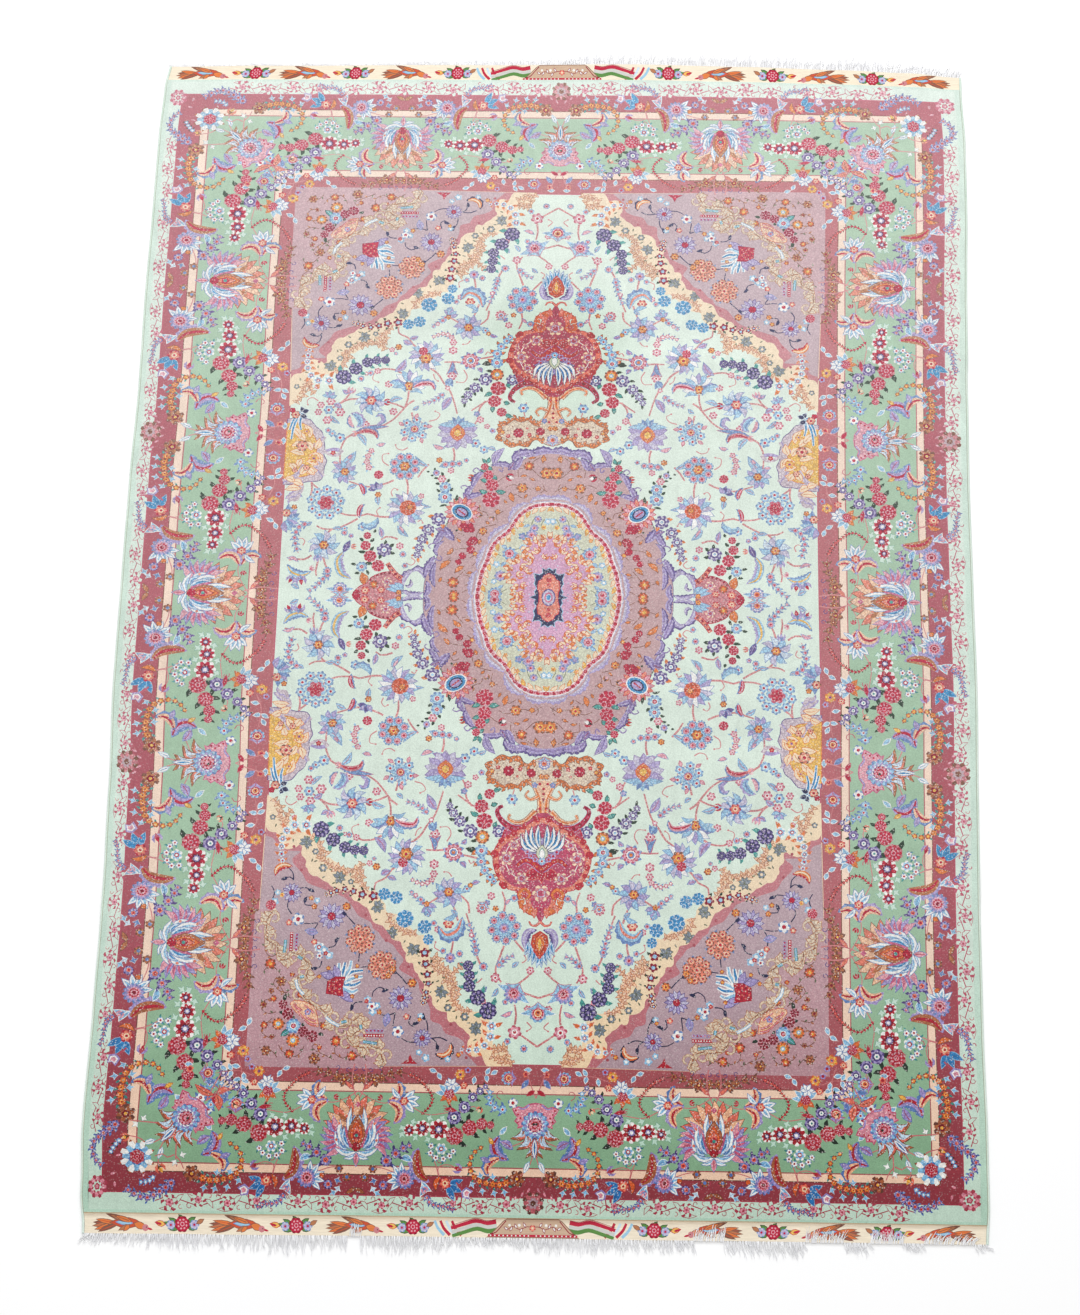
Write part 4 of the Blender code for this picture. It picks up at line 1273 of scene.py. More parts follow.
def field_flowers(chart):
    for path in FIELD_VINES:
        line(chart, path, "stem", 5.2, 0.75, step=10)
    for path in FIELD_HOOKS:
        hook(chart, path)
    for dye, rows in FIELD_LEAVES:
        leaves(chart, dye, rows, rim="steel", rib="line" if dye != "pink" else None, bold=True)
    for path, start_r, end_r, kind, green in FIELD_CHAINS:
        garland(chart, path, start_r, end_r, kind, green, crowd=1.9)
    flowers(chart, FIELD_FLOWERS)

    # Left of the field: palmettes and sprays round the pendant.
    long_petals(chart, 206, 638, 10, 25, 8, ("steel", "lilac"), 10)
    flower(chart, 206, 638, 21, "pink_palmette")
    spot(chart, 214, 734, 29, "lilac", 11)
    long_petals(chart, 214, 734, 12, 36, 10, ("mist", "sky", "lilac"), 13, bend=0.2)
    flower(chart, 214, 733, 13, "orange")
    spot(chart, 315, 650, 36, "sky", 12)
    long_petals(chart, 315, 650, 14, 43, 16, ("mist", "sky", "white", "lilac"), 12, bend=0.18)
    flower(chart, 316, 644, 18, "orange")
    petal_rose(chart, 323, 664, 12, "crimson", "pink")
    palmette(chart, 134, 767, 17, "pink_palmette", 60, "sky")
    long_petals(chart, 262, 766, 2, 20, 5, ("lilac", "sky"), 11, 110, 150)
    flower(chart, 264, 762, 8, "orange")
    leaf(chart, (250, 634), (236, 600), 12, "steel", rim="line", bend=0.2)
    leaf(chart, (250, 634), (264, 600), 12, "steel", rim="line", bend=-0.2)
    flower(chart, 250, 594, 12, "pink")
    long_petals(chart, 252, 590, 4, 24, 3, ("steel", "sky"), 9, -80, 60)
    flower(chart, 260, 561, 7, "pink")
    large_palmette(chart, 231, 440, 1.0, 90)
    wreath(chart, 336, 446, 26, 6, 12, "blue", "red_palmette", 14, 40)
    for angle in range(0, 360, 72):
        place = heading_frame(336, 446, angle + 20)
        leaf(chart, place([(30, 0)])[0], place([(42, 4)])[0], 8, "pink", rim="line")

    # Towards the ends of the field.
    palmette(chart, 0, 1006, 26, "red_palmette", 90, "sky", wings="sky")
    palmette(chart, 55, 962, 28, "carnation_palmette", 60, "sky", wings="sky")
    wreath(chart, 83, 815, 29, 8, 12, "blue_pink", "lilac", 13, 10)
    fringe_leaf(chart, (180, 790, 190, 822, 216, 834, 236, 812), 22, "sky", "steel", "salmon")
    flower(chart, 212, 806, 13, "salmon")
    leaf(chart, (222, 796), (196, 782), 10, "sky", rim="steel", bend=-0.2)

    # Beyond the wreaths, to the corner pieces.
    long_petals(chart, 355, 570, 10, 40, 9, ("sky", "lilac", "white"), 14, 90, 230, bend=0.08)
    flower(chart, 355, 565, 14, "orange")
    fringe_leaf(chart, (290, 552, 300, 572, 325, 572, 348, 560), 14, "pink", "steel", "crimson")
    fringe_leaf(chart, (362, 548, 374, 566, 390, 574, 404, 574), 12, "sky", "steel")
    leaf(chart, (350, 548), (322, 544), 9, "sky", rim="steel", bend=-0.3)
    spot(chart, 446, 524, 28, "steel", 11)
    long_petals(chart, 446, 524, 11, 40, 9, ("sky", "mist", "pale_blue"), 13, 60, 360, bend=0.32)
    flower(chart, 446, 524, 14, "salmon")
    bud(chart, 406, 520, 9, 180, "crimson", "sky")
    fringe_leaf(chart, (430, 456, 414, 468, 420, 484, 434, 478), 10, "lilac", "steel")
    fringe_leaf(chart, (478, 448, 468, 462, 478, 480, 494, 488), 16, "sky", "lilac", "steel")
    fringe_leaf(chart, (496, 484, 494, 462, 482, 446), 10, "pink", "steel")
    leaf(chart, (478, 438), (400, 452), 12, "steel", rim="line", bend=-0.05, bold=True)
    fringe_leaf(chart, (424, 416, 432, 434, 455, 440, 484, 430), 14, "light_rose", "steel", "crimson")
    bud(chart, 482, 431, 8, 0, "pink", "salmon")
    for u, v, r in ((544, 520, 12), (568, 510, 10), (573, 490, 10), (550, 468, 12), (520, 490, 13)):
        flower(chart, u, v, r, "pink")
    flower(chart, 548, 496, 13, "blue")
    long_petals(chart, 548, 532, 0, 17, 5, ("sky", "lilac"), 9, 90, 190)
    bud(chart, 495, 552, 10, 110, "pink", "lilac")

    # Beside the medallion.
    wreath(chart, 355, 344, 27, 8, 12.5, "blue_pink", "orange", 15, 20)
    petal_rose(chart, 417, 320, 12, "crimson", "pink")
    spot(chart, 500, 326, 24, "sky", 11)
    long_petals(chart, 500, 326, 12, 31, 10, ("lilac", "sky", "mist"), 12, bend=0.2)
    flower(chart, 499, 327, 12, "orange")
    spot(chart, 348, 229, 39, "lilac", 12)
    long_petals(chart, 348, 229, 14, 46, 16, ("mist", "sky", "lilac", "white"), 13, bend=0.16)
    petal_rose(chart, 343, 232, 21, "orange_red", "salmon")
    flower(chart, 338, 234, 9, "orange")
    long_petals(chart, 420, 280, 2, 20, 4, ("violet", "lilac"), 12, 60, 170)
    fringe_leaf(chart, (450, 262, 454, 282, 464, 298), 12, "crimson", "steel", "pink")
    wreath(chart, 541, 243, 36, 9, 12.5, "blue", "pink", 21, 12)
    petal_rose(chart, 541, 243, 15, "crimson", "light_rose")
    fringe_leaf(chart, (458, 202, 461, 218, 456, 234, 446, 240), 11, "crimson", "steel", "pink")
    fringe_leaf(chart, (456, 188, 434, 182, 418, 194, 414, 206), 14, "sky", "steel")
    fringe_leaf(chart, (470, 42, 496, 56, 505, 90, 490, 116), 18, "sky", "lilac", "gold")
    leaf(chart, (492, 112), (478, 142), 14, "violet", rim="steel", rib="lilac")
    bud(chart, 468, 127, 7, 180, "salmon", "pink")
    spot(chart, 540, 130, 27, "steel", 11)
    long_petals(chart, 540, 130, 10, 38, 9, ("sky", "mist", "pale_blue"), 14, bend=0.28)
    flower(chart, 540, 130, 13, "orange")
    bud(chart, 553, 94, 10, -90, "lilac", "steel")
    fringe_leaf(chart, (566, 60, 588, 50, 612, 58, 626, 78), 16, "sky", "steel", "gold")
    bud(chart, 590, 36, 13, -100, "lilac", "steel", "crimson")
    bud(chart, 614, 38, 11, -60, "lilac", "steel", "crimson")
    bud(chart, 565, 68, 7, 150, "pink", "line")
    palmette(chart, 496, 12, 22, "palmette", 90, "sky", wings="sky")


def large_palmette(chart, u, v, size, heading):
    """A broad palmette: orange heart, violet side petals, a blue crown over two long leaves."""
    place = heading_frame(u, v, heading)
    long_petals(chart, u, v, 12 * size, 48 * size, 9, ("lilac", "mist"), 22 * size, heading + 180, 235,
        bend=0.05, rim="violet_pale")
    for side in (1.0, -1.0):
        root = place([(14 * size, 0)])[0]
        leaf(chart, root, place([(18 * size, side * 46 * size)])[0], 12 * size, "sky", rim="steel",
            bend=-0.08 * side, bold=True)
    crown = place([(16 * size, 0)])[0]
    long_petals(chart, *crown, 2, 27 * size, 5, ("sky", "steel"), 11 * size, heading, 150, bend=0.05)
    leaf(chart, place([(-24 * size, 0)])[0], place([(20 * size, 0)])[0], 36 * size, "orange", rim="line",
        bold=True)
    leaf(chart, place([(-14 * size, 0)])[0], place([(8 * size, 0)])[0], 20 * size, "gold", rim="crimson")


# ---------------------------------------------------------------- corner pieces

# The corner piece: its cream band's edge towards the field, and the band's rosy inner edge.
CORNER_EDGE = (55, 1130, 60, 1105, 78, 1085, 96, 1088, 100, 1060, 108, 1026, 130, 1008, 150, 1004, 180,
    990, 188, 966, 186, 940, 196, 915, 215, 905, 232, 884, 248, 890, 252, 862, 262, 836, 284, 830, 300,
    812, 330, 785, 352, 782, 362, 757, 392, 735, 408, 712, 414, 685, 424, 662, 440, 680, 466, 672, 490,
    655, 512, 648, 516, 618, 530, 600, 560, 592, 586, 588, 592, 566, 606, 552, 618, 528, 630, 512, 645,
    505)
ROSE_EDGE = (112, 1130, 122, 1108, 148, 1104, 155, 1080, 152, 1060, 172, 1044, 186, 1030, 200, 1030, 208,
    1010, 236, 998, 240, 978, 258, 962, 262, 944, 280, 920, 288, 900, 302, 894, 308, 872, 322, 848, 342,
    840, 352, 822, 372, 808, 388, 800, 392, 782, 416, 760, 430, 756, 446, 730, 470, 728, 498, 712, 512,
    702, 530, 696, 546, 678, 544, 664, 556, 650, 556, 634, 566, 622, 584, 634, 606, 626, 616, 600, 636,
    590, 645, 580)
CORNER_GROUND = (134, 1130, 150, 1114, 166, 1098, 166, 1078, 184, 1066, 210, 1058, 222, 1038, 244, 1030,
    246, 1006, 256, 984, 272, 962, 278, 940, 302, 926, 322, 912, 312, 892, 328, 872, 338, 858, 360, 846,
    374, 828, 386, 820, 392, 806, 420, 792, 432, 776, 452, 752, 480, 740, 512, 728, 542, 716, 556, 694,
    576, 672, 580, 658, 562, 642, 590, 640, 612, 636, 626, 612, 645, 605)
# The scroll chain that parts the corner itself from the rest of the piece.
CHAIN = (345, 1130, 352, 1112, 368, 1092, 400, 1092, 420, 1085, 430, 1070, 412, 1060, 402, 1046, 404,
    1020, 418, 1030, 440, 1045, 466, 1040, 482, 1022, 494, 1008, 512, 1000, 532, 985, 546, 962, 552, 942,
    534, 934, 530, 905, 546, 892, 566, 880, 588, 896, 600, 884, 606, 862, 628, 850, 632, 822, 626, 796,
    612, 780)
CREAM_SCROLLS = (
    (50, 1118, 66, 1122, 76, 1110, 66, 1102, 74, 1092, 94, 1090),
    (76, 1128, 86, 1114, 100, 1108, 94, 1094, 78, 1086),
    (150, 1006, 172, 1006, 186, 994, 190, 976, 182, 960, 192, 948),
    (182, 998, 194, 984, 200, 964, 196, 944, 200, 924, 186, 910, 176, 902),
    (196, 944, 216, 938, 208, 925, 222, 920, 236, 914, 246, 900, 240, 886),
    (206, 918, 220, 906, 232, 902, 228, 890, 238, 882),
    (284, 836, 296, 826, 306, 832, 318, 822, 338, 812, 350, 800, 346, 784),
    (402, 738, 410, 722, 420, 710, 414, 694, 424, 684, 418, 668),
    (420, 716, 432, 700, 426, 684, 440, 682, 450, 690, 466, 680, 480, 674),
    (450, 694, 470, 690, 488, 676, 504, 664, 514, 650, 506, 638, 496, 648),
    (512, 664, 518, 644, 514, 626, 524, 610, 536, 604),
    (590, 570, 600, 560, 592, 548, 584, 540),
    (600, 586, 606, 566, 616, 550, 610, 536, 622, 526, 630, 514),
)
CREAM_LEAVES = (
    (140, 1046), (222, 964), (290, 866), (344, 830), (378, 770), (470, 702), (550, 620),
)
CREAM_MARKS = (
    (142, 1072, 30), (158, 1034, 10), (136, 1020, -30), (186, 1022, 80), (208, 985, 40),
    (230, 985, 60), (232, 940, 20), (218, 932, -10), (192, 1008, 10), (276, 882, 20),
    (302, 880, 40), (312, 850, 60), (356, 852, 20), (330, 806, -20), (370, 752, 60),
    (380, 800, 20), (444, 694, 90), (490, 684, -20), (506, 702, 40), (526, 664, 20),
    (534, 662, 70), (528, 616, 80), (546, 634, 30), (580, 616, 90), (606, 576, 40),
    (622, 580, 70), (548, 606, -10), (482, 716, 30), (608, 600, 10),
)
CORNER_VINES = (
    (205, 1075, 222, 1068, 240, 1070, 262, 1072), (240, 1070, 230, 1078, 228, 1092),
    (275, 1080, 296, 1078, 310, 1070), (250, 1052, 252, 1036, 260, 1020),
    (290, 1020, 294, 1036, 284, 1044, 277, 1038),
    (326, 1014, 345, 1020, 360, 1018), (326, 1014, 330, 1044),
    (302, 948, 316, 932, 332, 918), (350, 962, 364, 956, 378, 966, 380, 978),
    (402, 990, 418, 992, 428, 1004), (388, 908, 410, 911),
    (414, 878, 416, 898), (428, 812, 442, 798, 454, 786),
    (500, 898, 504, 912, 518, 914), (486, 867, 472, 862, 466, 848),
    (522, 848, 522, 826, 514, 810, 530, 812, 546, 811),
    (576, 790, 586, 774, 584, 756), (520, 770, 546, 768, 544, 756),
    (532, 736, 545, 728, 562, 730), (575, 712, 578, 692, 590, 680),
    (575, 710, 584, 703, 598, 706), (622, 756, 618, 740, 626, 724),
)
CORNER_FLOWERS = (
    ("sky_dot", 202, 1116, 8), ("orange", 178, 1106, 7), ("orange", 290, 945, 12),
    ("orange", 336, 914, 10), ("orange", 346, 929, 9), ("orange", 449, 771, 11),
    ("sky_dot", 378, 1012, 10), ("sky_dot", 390, 984, 9), ("sky_dot", 368, 998, 9),
    ("red_dot", 393, 988, 6), ("snow", 380, 1000, 12), ("orange", 362, 1013, 7),
    ("sky_dot", 484, 884, 11), ("sky", 508, 866, 13), ("sky_dot", 496, 872, 10),
    ("snow", 506, 886, 9), ("red_dot", 492, 880, 6), ("salmon", 520, 854, 8),
    ("sky_dot", 268, 1020, 8), ("salmon", 300, 1022, 8), ("orange", 270, 1028, 6),
    ("orange", 524, 772, 8), ("sky_dot", 518, 758, 8), ("orange", 532, 752, 7),
    ("sky_dot", 610, 740, 8), ("gold_dot", 600, 746, 6), ("snow", 560, 802, 16),
    ("snow", 318, 1056, 15), ("salmon", 581, 810, 8), ("sky_dot", 616, 762, 10),
    ("carnation", 625, 770, 13), ("sky_dot", 252, 1114, 10), ("sky_dot", 268, 1102, 8),
)
CORNER_WREATHS = (361, 905, 24, 414, 846, 25)
CORNER_DAISIES = (262, 1070, 20, 578, 740, 22, 315, 980, 27, 483, 794, 30)
BROWN_VINES = (
    (385, 1122, 400, 1112, 420, 1108, 440, 1118, 458, 1108, 460, 1090),
    (460, 1122, 480, 1112, 500, 1104, 512, 1094, 506, 1086),
    (530, 1092, 534, 1104, 548, 1116, 562, 1112, 580, 1104, 588, 1090),
    (590, 1118, 602, 1104, 618, 1104, 632, 1096),
    (595, 1070, 612, 1074, 630, 1060, 620, 1044, 606, 1030),
    (430, 1062, 452, 1060, 470, 1052, 488, 1046, 502, 1040),
    (598, 1016, 616, 1020, 632, 1010, 626, 990, 606, 986),
    (566, 960, 578, 972, 596, 966, 608, 950, 598, 934, 590, 946),
    (592, 932, 604, 918, 618, 910, 632, 922),
    (600, 880, 616, 890, 630, 880, 634, 862), (566, 985, 582, 972, 592, 958),
)
BROWN_FLOWERS = (420, 1112, 13, 458, 1080, 14, 505, 1120, 15, 495, 1094, 7, 562, 1110, 12, 616, 1104, 13,
    488, 1046, 10, 624, 1046, 10, 590, 946, 13, 618, 906, 14, 606, 986, 9, 628, 1000, 9, 566, 930, 7,
    545, 976, 9, 612, 968, 8, 618, 868, 7, 430, 1092, 6, 605, 1072, 7)


def corner_piece(chart):
    beyond = [(660, 1140)]
    chart.lay([*smooth_path(scalloped(CORNER_EDGE, 24, 3)), *beyond], "cream", True)
    for path in CREAM_SCROLLS:
        line(chart, path, "line", 6.2, 0.7, step=6)
    for path in CREAM_SCROLLS:
        line(chart, path, "peach", 4, 0.6, step=6)
        for u, v, heading, _ in spaced(path, 12):
            place = heading_frame(u, v, heading)
            for side in (1.0, -1.0):
                leaf(chart, (u, v), place([(5, side * 9)])[0], 5.5, "peach", rim="tan", bend=-0.2 * side)
    for u, v, heading in CREAM_MARKS:
        place = heading_frame(u, v, heading)
        leaf(chart, place([(-5, 0)])[0], place([(5, 0)])[0], 4, "moss")
    for index, (u, v) in enumerate(CREAM_LEAVES):
        long_petals(chart, u, v, 0, 15, 7, ("slate",), 9, index * 40.0, 310, bend=0.0, rim="moss")
    for u, v, r in ((167, 1020, 11), (206, 1000, 10), (508, 680, 11), (527, 641, 9), (442, 712, 8),
            (630, 560, 8)):
        flower(chart, u, v, r, "slate")
    chart.lay([*smooth_path(scalloped(ROSE_EDGE, 30, 4)), *beyond], "rose_patch", True)
    chart.lay([*smooth_path(CORNER_GROUND), *beyond], "mauve", True)
    for u, v in pairs(ROSE_EDGE)[2::4]:
        spot(chart, u + 12, v + 8, 4, "rose", 5)

    # The corner itself, in a pinker dye, behind its chain of scrolls.
    chart.lay([*smooth_path(CHAIN), (660, 780), (660, 1140), (350, 1140)], "corner", True)
    for path in BROWN_VINES:
        line(chart, path, "brown", 2, 0.8, step=9)
        for index, (u, v, heading, _) in enumerate(spaced(path, 15)):
            place = heading_frame(u, v, heading + (50 if index % 2 else -50))
            leaf(chart, (u, v), place([(9, 0)])[0], 4.5, "tan" if index % 3 else "moss")
    for index, (u, v, r) in enumerate(threes(BROWN_FLOWERS)):
        flower(chart, u, v, r, "tan" if index % 3 == 2 else "orange_brown", turn=index * 23.0)
    line(chart, CHAIN, "tan", 13, 0.9, step=8)
    line(chart, CHAIN, "buff", 10.5, 0.9, step=8)
    for index, (u, v, heading, _) in enumerate(spaced(CHAIN, 31)):
        place = heading_frame(u, v, heading)
        side = 1.0 if index % 2 else -1.0
        turns = np.radians(np.linspace(-100, 190, 8))
        reach = np.linspace(16, 7, 8)
        hook = place(np.stack([reach * np.cos(turns), side * (11 + reach * np.sin(turns))], -1))
        line(chart, hook, "tan", 9, 0.6, step=6)
        line(chart, hook, "buff", 6.5, 0.6, step=6)
        for along, turn, length in ((-15, 60, 19), (-4, 85, 22), (8, 110, 17)):
            tip = place([(along + length * math.cos(math.radians(turn)),
                -side * length * math.sin(math.radians(turn)))])[0]
            leaf(chart, place([(along, 0)])[0], tip, 12, "buff", rim="tan", bend=-0.25 * side)
        line(chart, place([(-12, 0), (0, 2), (12, 0)]), "brown", 1.4, 1.0, step=7)
    for bar, pale, deep in (((364, 1084, 396, 1080), "sky", "teal"),
            ((588, 880, 586, 850), "sky", "teal"), ((452, 1046, 472, 1036, 484, 1026), "white", "sky"),
            ((538, 976, 552, 960, 557, 942), "white", "sky"), ((402, 1052, 404, 1042), "sky", "teal"),
            ((436, 1034, 448, 1038), "sky", "teal"), ((539, 934, 548, 936), "sky", "teal"),
            ((545, 894, 556, 888), "sky", "teal")):
        line(chart, bar, deep, 7.2, 1.0)
        line(chart, bar, pale, 3.6, 1.0)
    for bar in (((350, 1066), (396, 1066)), ((573, 832), (573, 876))):
        line(chart, bar, "crimson", 7.5, 1.0)
        for u, v, _, _ in spaced(bar, 6.2):
            spot(chart, u, v, 1.9, "white", 4)
    for bar in (((350, 1055), (390, 1055)), ((561, 834), (561, 876))):
        for u, v, _, _ in spaced(bar, 8.5):
            flower(chart, u, v, 4.8, "lilac_dot")

    # Spray of flowers on an orange scroll body.
    body = ((500, 1048), (520, 1044), (534, 1030), (552, 1016), (566, 998), (558, 990), (536, 992),
        (516, 1002), (505, 1020))
    outlined(chart, smooth_path([*body, body[0]])[:-1], "peach", "orange_red")
    for path in (((506, 1036), (520, 1032), (532, 1022), (526, 1012)),
            ((540, 1012), (552, 1004), (556, 996)), ((512, 1018), (520, 1010), (534, 1000)),
            ((504, 1044), (522, 1040), (540, 1024), (560, 998))):
        line(chart, path, "orange_red", 5.6, 0.6)
        line(chart, path, "pink", 2.4, 0.6)
    flower(chart, 526, 1015, 8, "lilac")
    leaves(chart, "dark_green", (500, 1064, 486, 1068, 9, 0.1, 524, 1064, 526, 1078, 8, 0.1, 575, 1042,
        588, 1036, 9, 0.2, 578, 1016, 592, 1016, 9, 0.1, 580, 992, 577, 974, 10, 0.1, 538, 1040, 534,
        1050, 8, 0.1, 556, 1032, 558, 1022, 8, 0.1))
    leaf(chart, (565, 1056), (584, 1070), 13, "teal", rim="black", rib="sky")
    flower(chart, 556, 1080, 17, "gold_daisy")
    flower(chart, 592, 1043, 15, "gold_daisy")
    flower(chart, 557, 1047, 18, "sky_daisy")
    petal_roses(chart, (513, 1070, 14, 534, 1060, 13, 571, 1020, 14, 583, 999, 11), "maroon", "pink")

    # Ground between the chain and the rosy edge.
    for path in CORNER_VINES:
        line(chart, path, "navy", 3, 0.7, step=7)
    for u, v, heading in ((228, 1092, 90), (260, 1020, -80), (277, 1038, 200), (350, 964, 200),
            (427, 1004, 80), (454, 785, -45), (466, 848, 230), (518, 914, 0), (544, 756, 250),
            (532, 736, 160), (598, 706, 20), (332, 918, -40)):
        place = heading_frame(u, v, heading)
        leaf(chart, place([(-10, 0)])[0], place([(8, 0)])[0], 9, "navy", bend=0.1)
    for u, v, heading in ((345, 1030, 80), (528, 830, -10)):
        place = heading_frame(u, v, heading)
        leaf(chart, place([(-14, 0)])[0], place([(14, 0)])[0], 16, "lilac", rim="steel", rib="steel")
    fringe_leaf(chart, (196, 1078, 198, 1098, 212, 1108, 232, 1104), 13, "orange", "navy", "cream")
    fringe_leaf(chart, (578, 678, 600, 674, 616, 684, 618, 702), 13, "orange", "crimson", "cream")
    for u, v, r in threes(CORNER_DAISIES):
        long_petals(chart, u, v, 0.3 * r, r, 14, ("lilac", "mist"), 0.34 * r, bend=0.05, rim="violet")
        flower(chart, u, v, 0.34 * r, "crimson")
    for u, v, r in threes(CORNER_WREATHS):
        for k in range(8):
            angle = math.radians(45 * k + 12)
            leaf(chart, (u + r * math.cos(angle), v + r * math.sin(angle)),
                (u + 1.5 * r * math.cos(angle + 0.35), v + 1.5 * r * math.sin(angle + 0.35)), 7, "steel")
        wreath(chart, u, v, r, 8, 11, "orange_red", "orange_red", 13, 12)
    flowers(chart, CORNER_FLOWERS)
    chart.lay((270, 1128, 308, 1128, 292, 1118, 288, 1106, 282, 1118), "crimson")

    # The red mosaic diamond with its feathers.
    for points, dye in (((450, 960, 428, 968, 414, 962), "sky"),
            ((446, 950, 424, 952, 408, 944), "bright"), ((446, 944, 424, 936, 404, 932), "sky"),
            ((448, 938, 430, 922, 404, 918), "bright"), ((450, 936, 436, 916, 432, 896), "sky"),
            ((454, 934, 448, 914, 446, 900), "bright"), ((458, 934, 460, 916, 460, 902), "sky")):
        line(chart, points, "white", 16, 0.5, step=6)
        line(chart, points, dye, 8, 0.45, step=6)
    for points in (((452, 970), (424, 990)), ((460, 974), (432, 974)), ((462, 940), (484, 920)),
            ((470, 936), (500, 926)), ((458, 938), (470, 908))):
        leaf(chart, points[0], points[1], 16, "lilac", rim="violet")
    for u, v in ((426, 978), (419, 932), (418, 908), (484, 914), (504, 934)):
        flower(chart, u, v, 6, "orange")
    diamond = ((446, 978), (486, 972), (484, 944), (466, 934), (444, 934), (450, 956))
    outlined(chart, diamond, "crimson", "maroon")
    for row in range(4):
        for column in range(4):
            dye = "salmon" if (row + column) % 2 else "maroon"
            spot(chart, 456 + 8 * column, 944 + 8 * row, 2.6, dye, 4)

    # Garlands along the cream band.
    for rows in (((171, 1094, 5), (155, 1096, 7), (137, 1094, 9), (120, 1084, 10), (107, 1064, 12),
            (105, 1040, 13)), ((603, 664, 6), (606, 648, 8), (607, 630, 9), (605, 612, 10),
            (596, 592, 11), (578, 578, 12), (551, 578, 14))):
        blooms(chart, rows, "sky", "orange", rim="salmon", reach=1.9)
    for rows in (((114, 1006, 21), (139, 976, 19), (159, 950, 15), (160, 926, 14), (163, 903, 13)),
            ((516, 588, 21), (487, 612, 18), (459, 630, 15), (436, 636, 13), (415, 637, 12))):
        blooms(chart, rows, "violet", "teal", reach=1.7)
        for index, (u, v, r) in enumerate(rows):
            for k in range(7):
                angle = 2 * math.pi * k / 7 + index
                grape_u, grape_v = u + 0.62 * r * math.cos(angle), v + 0.62 * r * math.sin(angle)
                flower(chart, grape_u, grape_v, 0.36 * r, "grape")
            flower(chart, u, v, 0.34 * r, "grape")
    for rows in (((263, 990, 6), (260, 978, 7), (257, 966, 8), (253, 946, 9), (256, 925, 11),
            (261, 901, 12), (264, 875, 13)), ((388, 745, 13), (414, 742, 12), (435, 735, 10),
            (455, 730, 9), (474, 734, 8), (487, 740, 7), (497, 743, 5))):
        blooms(chart, rows, "red_star", "dark_green", reach=1.6)
    petal_roses(chart, (257, 844, 13, 267, 815, 17, 313, 797, 21, 335, 748, 16, 363, 740, 15), "bright",
        "pale_blue")


# ---------------------------------------------------------------- medallion

RING_EDGE = (-10, 386, 30, 384, 60, 372, 82, 352, 96, 342, 120, 350, 145, 346, 160, 334, 174, 314, 186,
    290, 194, 268, 208, 250, 232, 220, 246, 196, 248, 172, 258, 148, 272, 128, 268, 104, 276, 80, 290,
    56, 296, 30, 296, -10)
OVAL_LINE = (-10, 254, 30, 250, 52, 242, 75, 224, 92, 198, 105, 176, 128, 156, 145, 130, 155, 96, 166, 68,
    172, 36, 176, 8, 176, -10)
STAR = (0, 160, 12, 154, 24, 148, 34, 150, 52, 142, 56, 126, 48, 116, 46, 104, 60, 104, 72, 98, 86, 100,
    90, 86, 98, 70, 100, 58, 90, 48, 86, 32, 78, 22, 78, 0)
RING_VINES = (
    (0, 315, 24, 318, 40, 332, 56, 348, 74, 352),
    (10, 280, 30, 292, 50, 286, 70, 290, 90, 298, 110, 290),
    (30, 372, 44, 362, 60, 344, 80, 340, 80, 318),
    (92, 320, 114, 318, 126, 308, 140, 300),
    (130, 190, 148, 186, 166, 178, 176, 160, 170, 140),
    (150, 208, 154, 222, 172, 228, 182, 240),
    (114, 226, 130, 214, 126, 196), (190, 100, 178, 108, 172, 94, 184, 80),
    (200, 70, 212, 56, 226, 40, 244, 36, 262, 44),
    (200, 28, 186, 36, 190, 52, 204, 56),
    (236, 100, 250, 86, 260, 66), (200, 126, 220, 124, 240, 116),
    (206, 160, 220, 166, 230, 150), (70, 262, 86, 272, 96, 262),
    (176, 10, 190, 18, 206, 10), (22, 300, 16, 286, 26, 276),
)
RING_FLOWERS = (12, 330, 18, 55, 349, 14, 70, 289, 15, 161, 172, 12, 228, 36, 16, 20, 368, 8, 127, 224,
    8, 225, 4, 14, 32, 288, 8, 178, 112, 7)
RING_LEAVES = (20, 378, 22, 358, 10, 0, 98, 276, 90, 252, 13, 0.05, 244, 110, 232, 126, 10, 0.1, 204, 78,
    224, 62, 12, 0.1, 236, 92, 260, 70, 13, 0.1, 166, 150, 170, 138, 8, 0, 60, 322, 74, 320, 6, 0.1, 40,
    372, 56, 368, 6, 0.1, 212, 172, 220, 180, 6, 0, 256, 48, 262, 36, 7, 0, 184, 62, 196, 60, 6, 0.1,
    106, 246, 112, 256, 6, 0, 40, 310, 52, 316, 6, 0, 58, 272, 64, 262, 5, 0, 214, 142, 222, 152, 6, 0,
    154, 198, 146, 190, 6, 0)
# Tufts of flame inside the star: place, heading, length.
STAR_FLAMES = ((30, 118, 60, 15), (44, 92, 30, 14), (66, 80, 200, 14), (20, 136, 100, 12), (74, 56, 160, 13),
    (64, 30, 180, 12), (12, 104, 120, 11), (52, 66, 140, 12), (68, 8, 180, 11))
